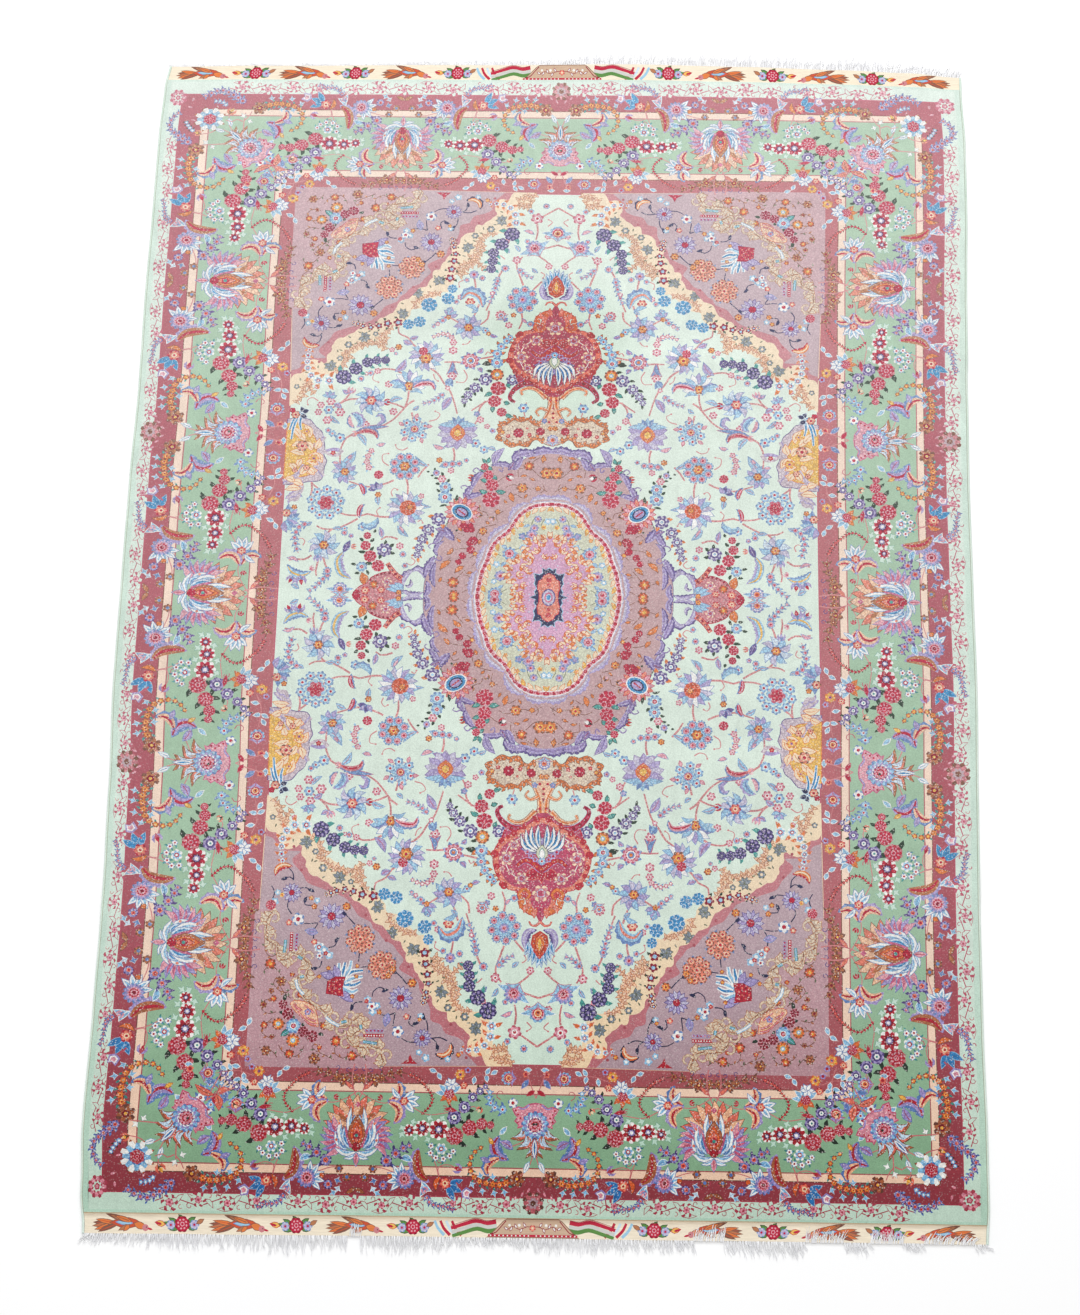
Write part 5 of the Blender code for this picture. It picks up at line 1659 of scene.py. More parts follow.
# Purple scroll leaves round the ring: path, width.
RING_SCROLLS = (
    ((-12, 386, 20, 390, 46, 382, 66, 374), 26),
    ((40, 386, 62, 384, 84, 378, 96, 360), 26),
    ((70, 374, 78, 360, 86, 344, 94, 338), 22),
    ((92, 340, 108, 350, 126, 352, 148, 350), 18),
    ((164, 334, 178, 318, 186, 300, 192, 282), 20),
    ((164, 272, 180, 268, 194, 262, 204, 252), 18),
    ((188, 296, 196, 284, 202, 268, 202, 254), 18),
    ((228, 146, 240, 156, 250, 168, 258, 186), 26),
    ((256, 182, 260, 162, 268, 148, 280, 136), 20),
    ((252, 146, 266, 134, 272, 118, 266, 104), 14),
    ((274, 106, 282, 86, 290, 68, 296, 48), 24),
    ((270, 88, 276, 66, 276, 44, 270, 22), 18),
    ((292, 40, 284, 22, 288, 6, 300, -6), 18),
)
RING_CURLS = (
    (128, 340, 120, 332, 118, 344, 128, 350),
    (172, 334, 182, 342, 190, 334, 182, 328),
    (196, 286, 208, 294, 218, 290, 214, 284),
    (268, 136, 282, 138, 290, 130, 284, 124),
    (276, 100, 262, 92, 256, 100, 264, 106),
)


def medallion(chart):
    half_ring = [*smooth_path(RING_EDGE, 8)]
    outlined(chart, [*half_ring, (-10, -10)], "ring", "violet")

    # The loop at the ring's side.
    for path, width in (((296, 44, 300, 60, 314, 70, 330, 62), 13),
            ((322, 68, 338, 56, 348, 36, 346, 16), 14), ((296, 10, 312, 3, 330, 4, 352, 14), 11),
            ((330, 44, 326, 30, 334, 22, 342, 28), 7)):
        fringe_leaf(chart, path, width, "lilac", "violet", "mist")

    for path in RING_VINES:
        line(chart, path, "brown", 2, 0.8, step=8)
    leaves(chart, "orange", RING_LEAVES, rim="brown")
    for index, (u, v, r) in enumerate(threes(RING_FLOWERS)):
        flower(chart, u, v, r, "orange_brown" if index % 3 == 1 else "orange", turn=index * 29.0)
    for u, v, heading in ((175, 236, 60), (170, 216, 20), (140, 206, -60)):
        bud(chart, u, v, 7, heading, "tan", "black", "pink")
    bud(chart, 194, 315, 9, 0, "orange_red", "dark_green", "crimson")
    bud(chart, 100, 318, 10, 200, "crimson", "black", "white")
    line(chart, (232, 214, 240, 200, 250, 188, 252, 176), "moss", 3, 0.8)

    for path, width in RING_SCROLLS:
        fringe_leaf(chart, path, 0.66 * width, "lilac", "violet", "violet_pale")
    leaf(chart, (140, 350), (116, 396), 19, "lilac", rim="violet", rib="violet", bend=-0.15, bold=True)
    for path in RING_CURLS:
        line(chart, path, "violet_pale", 4.2, 0.6, step=5)
    for u, v, heading in ((205, 262, 60), (98, 350, 120), (262, 172, 20)):
        place = heading_frame(u, v, heading)
        leaf(chart, place([(-13, 0)])[0], place([(13, 0)])[0], 15, "violet_pale", rim="violet",
            rib="maroon", bend=0.1)

    # Roses, leaves and garlands round the ring.
    leaves(chart, "teal", (140, 322, 132, 312, 10, 0.1, 156, 304, 170, 310, 10, 0.1, 132, 280, 110, 278,
        12, 0.1, 154, 276, 172, 282, 11, -0.1, 160, 334, 172, 336, 8, 0.1, 156, 356, 152, 370, 9, 0.1,
        152, 346, 144, 338, 8, 0.1, 160, 354, 168, 366, 7, 0.1), rim="dark_green")
    petal_roses(chart, (162, 345, 10, 152, 323, 13, 143, 296, 17, 144, 257, 22))
    long_petals(chart, 213, 222, 22, 40, 18, ("pink", "salmon"), 10, bend=0.05, rim="crimson")
    for radius, dye in ((27, "white"), (24, "bright"), (17, "navy"), (13, "lilac")):
        place = heading_frame(213, 222, 32)
        angles = np.arange(14) * 2 * math.pi / 14
        ring = np.stack([radius * 1.05 * np.cos(angles), radius * 0.76 * np.sin(angles)], -1)
        chart.lay(place(ring), dye)
    line(chart, (205, 215, 213, 222, 222, 229), "crimson", 4, 0.8)
    for u, v, r in ((192, 186, 9), (200, 178, 11), (208, 184, 10), (188, 176, 9), (184, 146, 13),
            (192, 140, 9), (189, 122, 11), (208, 106, 10), (217, 90, 9)):
        flower(chart, u, v, r, "crimson")
    leaves(chart, "dark_green", (230, 250, 226, 270, 9, 0.1, 248, 240, 268, 236, 7, 0.1, 244, 278, 236,
        288, 8, 0.1, 266, 276, 276, 284, 8, -0.1, 252, 302, 246, 312, 8, 0.1, 268, 296, 280, 298, 8, 0.1,
        262, 318, 266, 330, 8, 0.1, 272, 312, 284, 312, 7, 0.1, 284, 320, 292, 320, 6, 0, 282, 332, 282,
        342, 6, 0, 294, 330, 302, 330, 6, 0, 222, 176, 226, 170, 6, 0))
    blooms(chart, (255, 262, 18, 255, 289, 15), "sky_daisy")
    flowers(chart, (("pink", 264, 311, 11), ("lilac", 278, 327, 9)))
    blooms(chart, (268, 202, 19, 292, 174, 16, 305, 149, 14, 312, 126, 12, 316, 107, 10), "violet_ring",
        "orange", reach=1.5)
    leaf(chart, (314, 100), (312, 86), 8, "orange")

    oval_frame(chart)
    oval_field(chart)


def oval_frame(chart):
    """The pale ring of the oval: lilac leaves outside, dark red beads, cream scallops inside."""
    inner = pairs(OVAL_LINE) * (0.93, 0.955)
    for start, stop in ((0.0, 0.20), (0.17, 0.40), (0.37, 0.60), (0.57, 0.80), (0.77, 1.0)):
        path = [place[:2] for place in spaced(OVAL_LINE, 12, 0.1) if start <= place[3] <= stop]
        if len(path) > 2:
            outward = [(u * 1.035, v * 1.025) for u, v in path]
            fringe_leaf(chart, outward, 18, "mist", "lilac", "ring", teeth=7)
    chart.lay([*smooth_path(OVAL_LINE, 8), (-10, -10)], "white", True)
    chart.lay([*smooth_path(pairs(OVAL_LINE) * (0.988, 0.992), 8), (-10, -10)], "pink", True)
    for index, (u, v, heading, _) in enumerate(spaced(pairs(OVAL_LINE) * (0.962, 0.974), 8, 0.6)):
        place = heading_frame(u, v, heading)
        long, wide = (5.4, 4.6) if index % 2 else (2.2, 1.8)
        chart.lay(place([(-long, 0), (-0.5 * long, -wide), (0.5 * long, -wide), (long, 0),
            (0.5 * long, wide), (-0.5 * long, wide)]), "crimson")
    chart.lay([*smooth_path(inner, 8), (-10, -10)], "white", True)
    chart.lay([*smooth_path(pairs(inner) * (0.985, 0.99), 8), (-10, -10)], "khaki", True)
    for index, (u, v, heading, _) in enumerate(spaced(pairs(inner) * (0.955, 0.965), 19, 0.4)):
        place = heading_frame(u, v, heading)
        leaf(chart, place([(-7, 4)])[0], place([(8, -5)])[0], 9, "cream" if index % 3 else "gold",
            rim="orange", bend=0.15)


def oval_field(chart):
    for path in (((34, 216), (44, 196), (48, 176), (64, 156)), ((60, 200), (76, 186)),
            ((70, 128), (88, 122), (96, 108)), ((104, 90), (118, 86), (128, 74)),
            ((104, 46), (122, 52), (138, 42)), ((100, 20), (116, 12), (134, 20)),
            ((14, 206), (22, 190), (14, 176)), ((116, 108), (128, 114))):
        line(chart, path, "moss", 1.8, 0.8)
    flowers(chart, (("sky_dot", 6, 200, 10), ("lilac", 30, 206, 10), ("lilac", 38, 182, 11),
        ("lilac", 44, 164, 15), ("steel_dot", 66, 160, 11), ("sky_dot", 64, 130, 10),
        ("blue_pink", 96, 114, 18), ("sky_dot", 126, 85, 10), ("lilac", 116, 55, 15),
        ("sky_dot", 131, 40, 8), ("blue_pink", 128, 8, 18), ("gold", 70, 190, 7),
        ("gold_dot", 16, 184, 7), ("gold", 98, 150, 6), ("gold_dot", 128, 112, 6)))
    leaves(chart, "sky", (104, 90, 114, 80, 7, 0.1, 104, 128, 114, 134, 8, 0.1, 80, 116, 76, 106, 7, 0.1,
        120, 24, 110, 30, 7, 0.1, 50, 190, 62, 186, 6, 0), rim="steel")
    # The star at the centre: magenta with a lacy flaming outline, and a dark blue heart.
    chart.lay(both_sides(smooth_path(STAR, 6)), "magenta", True)
    for index, (u, v, heading, _) in enumerate(spaced(STAR, 9.5)):
        place = heading_frame(u, v, heading)
        for side in (1.0, -1.0):
            tip = place([(5 if index % 2 else -5, side * (13 if side > 0 else 9))])[0]
            leaf(chart, (u, v), tip, 7.5, "cream" if (index + (side > 0)) % 3 else "orange",
                rim="orange" if index % 2 else "orange_red", bend=0.25 * side)
    for u, v, heading, size in STAR_FLAMES:
        place = heading_frame(u, v, heading)
        for turn, dye in ((40, "orange"), (-40, "cream"), (0, "cream")):
            tip = heading_frame(u, v, heading + turn)([(size, 0)])[0]
            leaf(chart, place([(-3, 0)])[0], tip, 0.45 * size, dye, rim="orange_red", bend=turn / 200)
    for row in range(10):
        for column in range(5):
            u, v = 12 + 17 * column + 8 * (row % 2), 8 + 15 * row
            if u < 60 or v < 84:
                spot(chart, u, v, 2.6, "pink" if column % 2 else "mist", 5)
    for u, v, heading, size in STAR_FLAMES:
        spot(chart, *heading_frame(u, v, heading)([(0.4 * size, 0)])[0], 2.2, "crimson", 5)
    heart = both_sides((0, 76, 8, 70, 16, 76, 14, 64, 22, 58, 36, 62, 31, 46, 34, 36, 28, 24, 33, 14, 30, 5,
        44, 0, 30, -6))
    outlined(chart, heart, "navy", "sky", 2.4)
    inside = both_sides((0, 62, 12, 56, 16, 46, 24, 42, 26, 24, 22, 12, 22, -10))
    outlined(chart, inside, "salmon", "crimson", 2)
    for v, r in ((46, 7), (32, 5)):
        petal_rose(chart, 0, v, r, "crimson", "salmon")
    for radius, dye in ((20, "violet"), (17, "mist"), (12, "deep_pink"), (8, "pale_blue"), (6, "bright")):
        angles = np.arange(12) * 2 * math.pi / 12
        chart.lay(np.stack([0.85 * radius * np.cos(angles), 1.15 * radius * np.sin(angles)], -1), dye)


# ---------------------------------------------------------------- pendants


def pendant(chart):
    # Beads, blooms and leaves beside the shield.
    leaves(chart, "teal", (150, 548, 168, 540, 11, 0.1, 120, 524, 108, 520, 11, 0.1, 146, 512, 148, 496,
        10, 0.1, 116, 490, 100, 484, 10, 0.1, 112, 578, 108, 564, 10, 0.1), rim="dark_green")
    leaves(chart, "dark_green", (150, 606, 168, 610, 9, 0.1, 184, 586, 199, 584, 8, 0.1, 202, 560, 220,
        556, 9, 0.1, 178, 566, 174, 550, 9, 0.1, 194, 552, 190, 540, 8, 0.1, 214, 536, 228, 536, 8, 0.1,
        206, 534, 198, 526, 7, 0.1, 216, 522, 218, 506, 7, 0))
    leaf(chart, (154, 630), (176, 628), 13, "dark_green", rim="black", bend=0.1)
    blooms(chart, (141, 633, 16, 141, 659, 13, 132, 680, 11, 119, 696, 10, 110, 706, 8), "sky_daisy",
        "orange", rim="brown", reach=1.5)
    flower(chart, 140, 600, 18, "gold_daisy")
    petal_roses(chart, (136, 562, 20, 144, 526, 17, 126, 496, 13))
    blooms(chart, (102, 586, 16, 168, 586, 18, 193, 563, 15, 209, 543, 12, 218, 526, 9), "violet_ring")

    # The cartouche between pendant and medallion.
    edge = ((-10, 478), (20, 466), (44, 460), (56, 474), (78, 470), (100, 474), (116, 462), (134, 462),
        (128, 446), (132, 434), (138, 424), (118, 416), (100, 404), (78, 408), (58, 402), (50, 416),
        (34, 424), (18, 410), (-10, 402))
    outlined(chart, smooth_path(edge, 8), "buff", "brown", 1.8)
    for path in (((30, 460), (48, 466), (60, 478), (78, 472), (96, 478), (116, 462), (134, 460)),
            ((22, 412), (36, 424), (52, 420), (62, 404), (82, 408), (100, 402), (118, 414)),
            ((122, 418), (136, 424), (128, 438), (134, 448), (124, 456))):
        line(chart, path, "brown", 9.2, 0.8, step=6)
        line(chart, path, "orange", 6.2, 0.8, step=6)
        for u, v, heading, _ in spaced(path, 13):
            place = heading_frame(u, v, heading)
            leaf(chart, (u, v), place([(6, 10)])[0], 7, "orange", rim="brown", bend=0.2)
    for kind, u, v, r in (("crimson", 30, 444, 12), ("crimson", 83, 439, 14), ("red_dot", 56, 434, 6),
            ("red_dot", 108, 430, 6), ("red_dot", 62, 452, 4), ("orange", 122, 440, 7),
            ("orange", 6, 452, 8)):
        flower(chart, u, v, r, kind)
    for u, v in ((44, 450), (70, 456), (98, 456), (110, 446), (46, 430), (70, 424), (96, 420)):
        spot(chart, u, v, 2.2, "brown", 4)
    palmette(chart, 0, 418, 18, "palmette", 90, "sky")

    # Hooked band that carries the shield, and its orange scrolls.
    neck = ((-10, 496), (3, 500), (7, 522), (18, 542), (36, 558), (58, 570), (84, 580), (84, 620), (-10, 620))
    outlined(chart, smooth_path(neck, 7), "pendant", "crimson", 4, bold=True)
    band = ((24, 578), (48, 582), (72, 577), (92, 564), (105, 546), (106, 532), (94, 524))
    line(chart, band, "lilac", 24, 0.35, step=7)
    line(chart, band, "crimson", 21, 0.35, step=7, bold=True)
    line(chart, band, "pendant", 8, 0.35, step=7)
    for u, v, _, _ in spaced(band, 17, 0.9):
        spot(chart, u, v, 4.6, "maroon", 6)
    for path, width in ((((6, 540), (8, 510), (20, 480), (36, 466)), 14),
            (((18, 536), (40, 558), (60, 564), (80, 556), (76, 544)), 12),
            (((12, 500), (30, 508), (42, 498), (34, 486)), 9)):
        line(chart, path, "brown", width * 1.25, 0.5, step=6)
        line(chart, path, "peach", width, 0.5, step=6)
        line(chart, path, "orange", width * 0.4, 0.5, step=6)
    chart.lay((-10, 506, 6, 504, 12, 492, 20, 478, 16, 464, -10, 460), "peach", True)
    for u, v in ((0, 494), (0, 482), (9, 470), (8, 530), (22, 550), (42, 566)):
        spot(chart, u, v, 3.6, "crimson", 6)
    line(chart, (68, 484, 72, 500, 66, 524), "vine", 3, 0.8)
    flower(chart, 73, 508, 14, "blue")
    flower(chart, 21, 473, 8, "steel_dot")

    # The shield.
    shield = ((-10, 782), (14, 776), (30, 762), (36, 742), (50, 728), (74, 724), (92, 708), (106, 684),
        (113, 656), (110, 630), (96, 608), (72, 592), (44, 576), (20, 560), (-10, 548))
    outlined(chart, smooth_path(shield, 8), "salmon", "crimson", 2)
    inner = ((-10, 784), (10, 774), (22, 758), (26, 738), (40, 722), (66, 716), (84, 700), (96, 680),
        (101, 656), (98, 634), (86, 617), (66, 603), (40, 588), (18, 572), (-10, 560))
    chart.lay(smooth_path(inner, 8), "pendant", True)
    for u, v, r in ((86, 716, 9), (92, 712, 7), (105, 670, 8), (110, 640, 10), (95, 609, 8), (66, 590, 8),
            (44, 574, 7), (100, 690, 6), (104, 622, 5), (14, 556, 8), (80, 599, 5), (56, 728, 5)):
        petal_rose(chart, u, v, r, "crimson", "orange_red")
    leaf(chart, (4, 676), (40, 694), 26, "crimson", rim="salmon", rib="maroon", bend=0.1)
    leaf(chart, (0, 664), (0, 708), 18, "crimson", rim="salmon", rib="maroon")
    band = ((0, 676), (12, 668), (26, 657), (42, 655), (58, 668))
    line(chart, band, "lilac", 19, 0.6, step=6)
    line(chart, band, "crimson", 16, 0.6, step=6)
    for u, v, _, _ in spaced(band, 10, 0.3):
        spot(chart, u, v, 3.6, "orange_red", 6)
    for path in ((44, 598, 62, 608, 80, 626, 86, 650), (86, 654, 78, 676, 60, 694, 30, 706),
            (60, 606, 56, 618, 66, 626)):
        line(chart, path, "white", 2, 0.8)
    for u, v, r in ((46, 698, 16), (82, 650, 18), (66, 618, 13), (48, 596, 9), (92, 676, 7), (72, 682, 8),
            (0, 733, 21)):
        flower(chart, u, v, r, "outline")
    lily(chart)

    # Scrolls at its head and the flame and drop above it.
    for path in (((10, 782), (28, 776), (44, 764), (50, 750)),
            ((46, 748), (50, 732), (36, 724), (26, 736), (34, 748))):
        line(chart, path, "crimson", 12.5, 0.7, step=6, bold=True)
        line(chart, path, "orange", 8.5, 0.7, step=6)
    petal_rose(chart, 36, 738, 7, "crimson", "salmon")
    leaf(chart, (0, 760), (0, 800), 18, "pendant", rim="crimson", rib="maroon", bold=True)
    for start, end, width, dye in (((10, 768), (14, 790), 11, "salmon"),
            ((20, 766), (26, 782), 10, "orange"), ((30, 758), (38, 778), 10, "salmon"),
            ((38, 748), (48, 768), 9, "orange")):
        leaf(chart, start, end, width, dye, rim="orange_red", bend=-0.1)
    line(chart, (0, 798, 10, 808, 22, 806, 26, 798), "crimson", 7, 0.6, step=6)
    line(chart, (0, 798, 10, 808, 22, 806, 26, 798), "salmon", 4, 0.6, step=6)
    # A beetle-like drop: lilac wings, then blue feathers that hang from a red heart.
    fringe_leaf(chart, (6, 818, 28, 822, 36, 844, 30, 868), 15, "lilac", "violet", "mist")
    for start, end, width in (((26, 846), (33, 876), 11), ((20, 852), (26, 890), 11),
            ((12, 858), (17, 898), 11), ((4, 864), (6, 904), 11)):
        feather(chart, start, end, width, 0.08, "pale_blue", "bright")
    outlined(chart, both_sides((0, 884, 12, 868, 19, 850, 16, 832, 0, 822)), "orange_red", "crimson", 2)
    outlined(chart, both_sides((0, 874, 7, 862, 11, 848, 8, 836, 0, 830)), "orange", "maroon", 1.5)
    leaf(chart, (0, 836), (0, 868), 9, "gold", rim="crimson")


def lily(chart):
    """White and blue lily standing in the shield."""
    for angle in (0, 26, 52, 78):
        tip = heading_frame(8, 636, -90 + angle)([(42, 0)])[0]
        leaf(chart, (8, 638), tip, 15, "lilac", rim="violet", bend=-0.1)
    for start, end, width, bend in (((14, 634), (50, 592), 10, 0.22), ((12, 632), (38, 580), 11, 0.16),
            ((9, 630), (25, 573), 11, 0.12), ((5, 628), (10, 570), 12, 0.06)):
        feather(chart, start, end, width, bend, "white", "bright", "navy")
    leaf(chart, (0, 654), (0, 618), 26, "khaki", rim="moss")
    leaf(chart, (0, 650), (0, 626), 14, "white", rim="teal")
    flower(chart, 0, 656, 10, "blue")
    for u, v in ((16, 652), (26, 644), (34, 634)):
        flower(chart, u, v, 7, "lilac_dot")


# ---------------------------------------------------------------- side pieces


def side_finial(chart):
    """The rosy tip on the medallion's side, with its blooms."""
    body = ((352, -10), (352, 40), (356, 52), (372, 60), (390, 60), (408, 54), (424, 44), (432, 30),
        (446, 24), (460, 10), (470, -10))
    leaf(chart, (440, 28), (446, 58), 20, "orange", rim="brown", rib="orange_red", bend=0.1, bold=True)
    outlined(chart, smooth_path(body, 7), "light_rose", "crimson", 2)
    for u, v, _, _ in spaced((358, 52, 374, 58, 394, 57, 412, 50, 428, 38), 10, 0.3):
        spot(chart, u, v, 3.6, "maroon", 5)
    band = ((350, 44), (362, 52), (374, 66), (386, 84))
    line(chart, band, "crimson", 14, 0.8, step=6)
    line(chart, band, "salmon", 10, 0.8, step=6)
    for u, v, _, _ in spaced(band, 13, 0.5):
        spot(chart, u, v, 4.2, "maroon", 6)
    flower(chart, 385, 36, 12, "outline")
    flower(chart, 398, 14, 10, "salmon")
    flower(chart, 416, 28, 12, "orange_brown")
    flower(chart, 436, 12, 12, "salmon")
    flower(chart, 456, 4, 10, "crimson")
    for start, end in (((346, 4), (386, 16)), ((350, 10), (380, 26)), ((346, 16), (366, 32))):
        leaf(chart, start, end, 11, "sky", rim="steel", bend=0.12, bold=True)
    flower(chart, 356, 8, 8, "orange")
    leaves(chart, "dark_green", (422, 164, 418, 174, 8, 0.1, 430, 140, 420, 150, 9, 0.1, 446, 140, 456,
        150, 9, 0.1, 430, 116, 420, 128, 9, 0.1, 438, 114, 458, 115, 9, -0.1, 406, 94, 405, 112, 9, 0.1,
        420, 80, 442, 82, 10, 0.1, 460, 78, 474, 81, 8, 0.1, 430, 52, 436, 66, 8, 0.1, 450, 56, 464, 56,
        8, 0.1, 384, 128, 372, 136, 10, 0.1, 384, 114, 368, 110, 10, 0.1, 394, 132, 393, 146, 9, 0.1))
    petal_roses(chart, (437, 156, 10, 440, 130, 13, 428, 102, 16, 408, 77, 16))
    flower(chart, 395, 119, 19, "violet_ring")
    flower(chart, 447, 74, 14, "sky_daisy")


def side_half_medallion(chart):
    """The gold and silver-lilac half piece that rises from the side of the field."""
    body = ((645, 290), (610, 294), (585, 300), (560, 302), (552, 316), (550, 340), (545, 356),
        (553, 372), (552, 392), (556, 414), (562, 436), (576, 448), (588, 464), (600, 470), (645, 470))
    outlined(chart, smooth_path(body, 8), "silver", "violet", 2)
    core = ((645, 306), (612, 312), (590, 316), (572, 330), (568, 350), (574, 372), (570, 396),
        (578, 420), (592, 440), (606, 456), (645, 458))
    outlined(chart, smooth_path(core, 8), "gold", "orange", 2)
    line(chart, (512, 384, 530, 388, 552, 382), "lilac", 11, 0.6)
    line(chart, (508, 386, 520, 372, 540, 374, 556, 386), "silver", 10, 0.7)
    flower(chart, 530, 378, 7, "red_dot")
    for path in ((552, 312, 566, 332, 574, 352), (645, 296, 620, 312, 606, 330, 600, 346),
            (556, 424, 566, 404, 582, 396)):
        line(chart, path, "silver", 16, 0.6)
        line(chart, path, "lilac", 4, 0.6)
    fringe_leaf(chart, (600, 302, 604, 276, 620, 262, 640, 252), 16, "silver", "lilac")
    fringe_leaf(chart, (604, 270, 612, 252, 626, 250, 632, 238), 12, "silver", "lilac")
    for points in (((556, 352), (578, 378)), ((560, 364), (588, 370)), ((566, 346), (592, 354)),
            ((566, 330), (590, 322)), ((574, 318), (592, 336)), ((600, 290), (626, 300)),
            ((604, 280), (640, 276)), ((620, 300), (642, 308)), ((606, 360), (612, 340)),
            ((574, 388), (566, 416)), ((582, 384), (600, 408)), ((588, 420), (604, 454)),
            ((600, 410), (626, 432)), ((598, 400), (632, 396)), ((612, 420), (638, 446)),
            ((600, 372), (634, 380)), ((618, 332), (634, 346)), ((606, 318), (596, 344))):
        leaf(chart, points[0], points[1], 16, "cream", rim="orange", rib="orange", bend=0.12)
    flower(chart, 576, 362, 13, "gold")
    flower(chart, 606, 396, 16, "orange_red")
    flower(chart, 592, 336, 9, "orange_red")
    flower(chart, 598, 436, 9, "gold")
    flower(chart, 620, 330, 8, "orange_red")
    for points in (((618, 490), (626, 466), (632, 440), (634, 414)), ((612, 486), (616, 460), (612, 440)),
            ((622, 486), (634, 462), (640, 440))):
        line(chart, points, "white", 11.5, 0.5)
        line(chart, points, "bright", 6.2, 0.5)
    for u, v, heading in ((612, 496, 60), (608, 478, 200), (604, 492, 160)):
        place = heading_frame(u, v, heading)
        leaf(chart, place([(-8, 0)])[0], place([(8, 0)])[0], 12, "navy", rim="pale_blue")
    flower(chart, 628, 482, 12, "orange_red")
    flower(chart, 636, 494, 8, "crimson")
    # Blue and orange half palmette lower down the side.
    long_petals(chart, 640, 200, 10, 38, 9, ("steel", "sky", "lilac"), 13, 180, 170, bend=0.15)
    flower(chart, 634, 214, 12, "orange_red")
    flower(chart, 616, 230, 8, "orange")


# ---------------------------------------------------------------- figures of the end bands


def bird(chart, u, w):
    """A bird in flight, its head towards the middle of the rug."""
    for tip_u, tip_w, dye in ((64, 2, "brown"), (66, -5, "tan"), (60, -12, "orange"), (50, -16, "brown"),
            (56, 8, "orange")):
        leaf(chart, (u + 8, w), (u + tip_u, w + tip_w), 8, dye, rim="brown", rib="orange_red")
    leaf(chart, (u - 38, w + 1), (u + 24, w + 2), 20, "orange_red", rim="brown", rib="crimson", bold=True)
    leaf(chart, (u - 20, w + 1), (u + 12, w + 3), 8, "sky", rim="steel")
    for tip_u, tip_w, dye in ((30, 19, "brown"), (22, 17, "tan"), (12, 15, "orange")):
        leaf(chart, (u - 18, w + 4), (u + tip_u, w + tip_w), 9, dye, rim="brown", rib="brown")
    for tip_u, tip_w, dye in ((6, -13, "tan"), (-4, -14, "orange")):
        leaf(chart, (u - 14, w - 3), (u + tip_u, w + tip_w), 8, dye, rim="brown")
    leaf(chart, (u - 24, w), (u - 50, w - 8), 13, "orange", rim="brown")
    spot(chart, u - 48, w - 8, 7.2, "light_rose", 8, bold=True)
    leaf(chart, (u - 52, w - 9), (u - 64, w - 12), 5, "crimson")
    spot(chart, u - 50, w - 7, 1.4, "black", 5)


def rose_spray(chart, u, w):
    """A full rose between small blossoms, leaves and buds."""
    for start, end, width in (((10, 0), (30, 12), 10), ((8, -6), (28, -12), 9), ((-10, 4), (-26, 14), 9),
            ((-10, -6), (-28, -10), 9), ((0, 10), (8, 18), 7), ((22, 0), (40, 2), 8)):
        stalk, tip = (u + start[0], w + start[1]), (u + end[0], w + end[1])
        leaf(chart, stalk, tip, width, "leaf_green", rim="dark_green")
    line(chart, ((u + 22, w), (u + 36, w + 4), (u + 52, w + 1)), "leaf_green", 2.6, 1.0)
    line(chart, ((u - 22, w), (u - 34, w + 5)), "leaf_green", 2.6, 1.0)
    flower(chart, u + 27, w - 2, 10.5, "lilac_rose")
    flower(chart, u - 24, w - 1, 11, "lilac_rose")
    flower(chart, u + 2, w, 17.5, "full_rose")
    leaf(chart, (u + 40, w - 1), (u + 60, w + 3), 11, "gold", rim="crimson", bold=True)
    leaf(chart, (u + 46, w - 1), (u + 61, w + 3), 6, "crimson")
    leaf(chart, (u - 30, w + 2), (u - 44, w + 10), 8, "tan", rim="brown")


def ribbon(chart):
    """A waving ribbon of red, pale grey and green, with a fan of bars behind it."""
    for index, dye in enumerate(("crimson", "pale_blue", "crimson", "sky")):
        start = 160 + 13 * index
        line(chart, ((start, 4), (start + 14, 18), (start + 22, 34)), dye, 7, 0.8)
    upper = ((82, 33), (104, 30), (128, 35), (154, 28), (184, 19))
    for shift, dye in ((0, "crimson"), (-8.5, "pale_grey"), (-16.5, "leaf_green")):
        line(chart, [(u + 0.18 * shift, w + shift) for u, w in upper], dye, 9.8, 0.72, step=8, bold=True)
    line(chart, [(u, w + 5.5) for u, w in upper], "maroon", 1.2, 1.0, step=8)


def panel(chart):
    """The panel at the middle of a band, with a small floral sprig in it."""
    outlined(chart, (-100, 2, 104, 2, 90, 10, 66, 34, 58, 39, -58, 39), "panel", "brown", 1.6)
    line(chart, (0, 5, 100, 5), "crimson", 5, 1.0)
    for u, w, _, _ in spaced((4, 5, 98, 5), 9.5):
        spot(chart, u, w, 1.9, "white", 5)
    line(chart, (60, 36, 82, 12, 96, 8), "maroon", 2.2, 1.0)
    line(chart, (-10, 21, 12, 24, 28, 18, 44, 24, 58, 17), "maroon", 1.6, 0.8, step=6)
    for u, w, heading in ((16, 24, 60), (24, 20, -70), (36, 21, 65), (46, 23, -60), (56, 18, 30)):
        place = heading_frame(u, w, heading)
        leaf(chart, (u, w), place([(8.5, 0)])[0], 3.8, "white", rim="maroon")
    flower(chart, 0, 21, 7.5, "salmon")
    flower(chart, 30, 27, 4, "white_dot")
    flower(chart, 52, 27, 3.5, "white_dot")


def draw_band(chart):
    chart.lay((0, 0, 1000, 0, 1000, 41, 0, 41), "ivory", True)
    for u in (400, 660, 912):
        bird(chart, u, 20)
    for u in (268, 532, 782):
        rose_spray(chart, u, 20)
    ribbon(chart)
    panel(chart)


# ---------------------------------------------------------------- the whole quarter


def draw_quarter(chart):
    grounds(chart)
    field_flowers(chart)
    corner_piece(chart)
    medallion(chart)
    side_finial(chart)
    side_half_medallion(chart)
    pendant(chart)
    borders(chart)

# ---------------------------------------------------------------- finishes


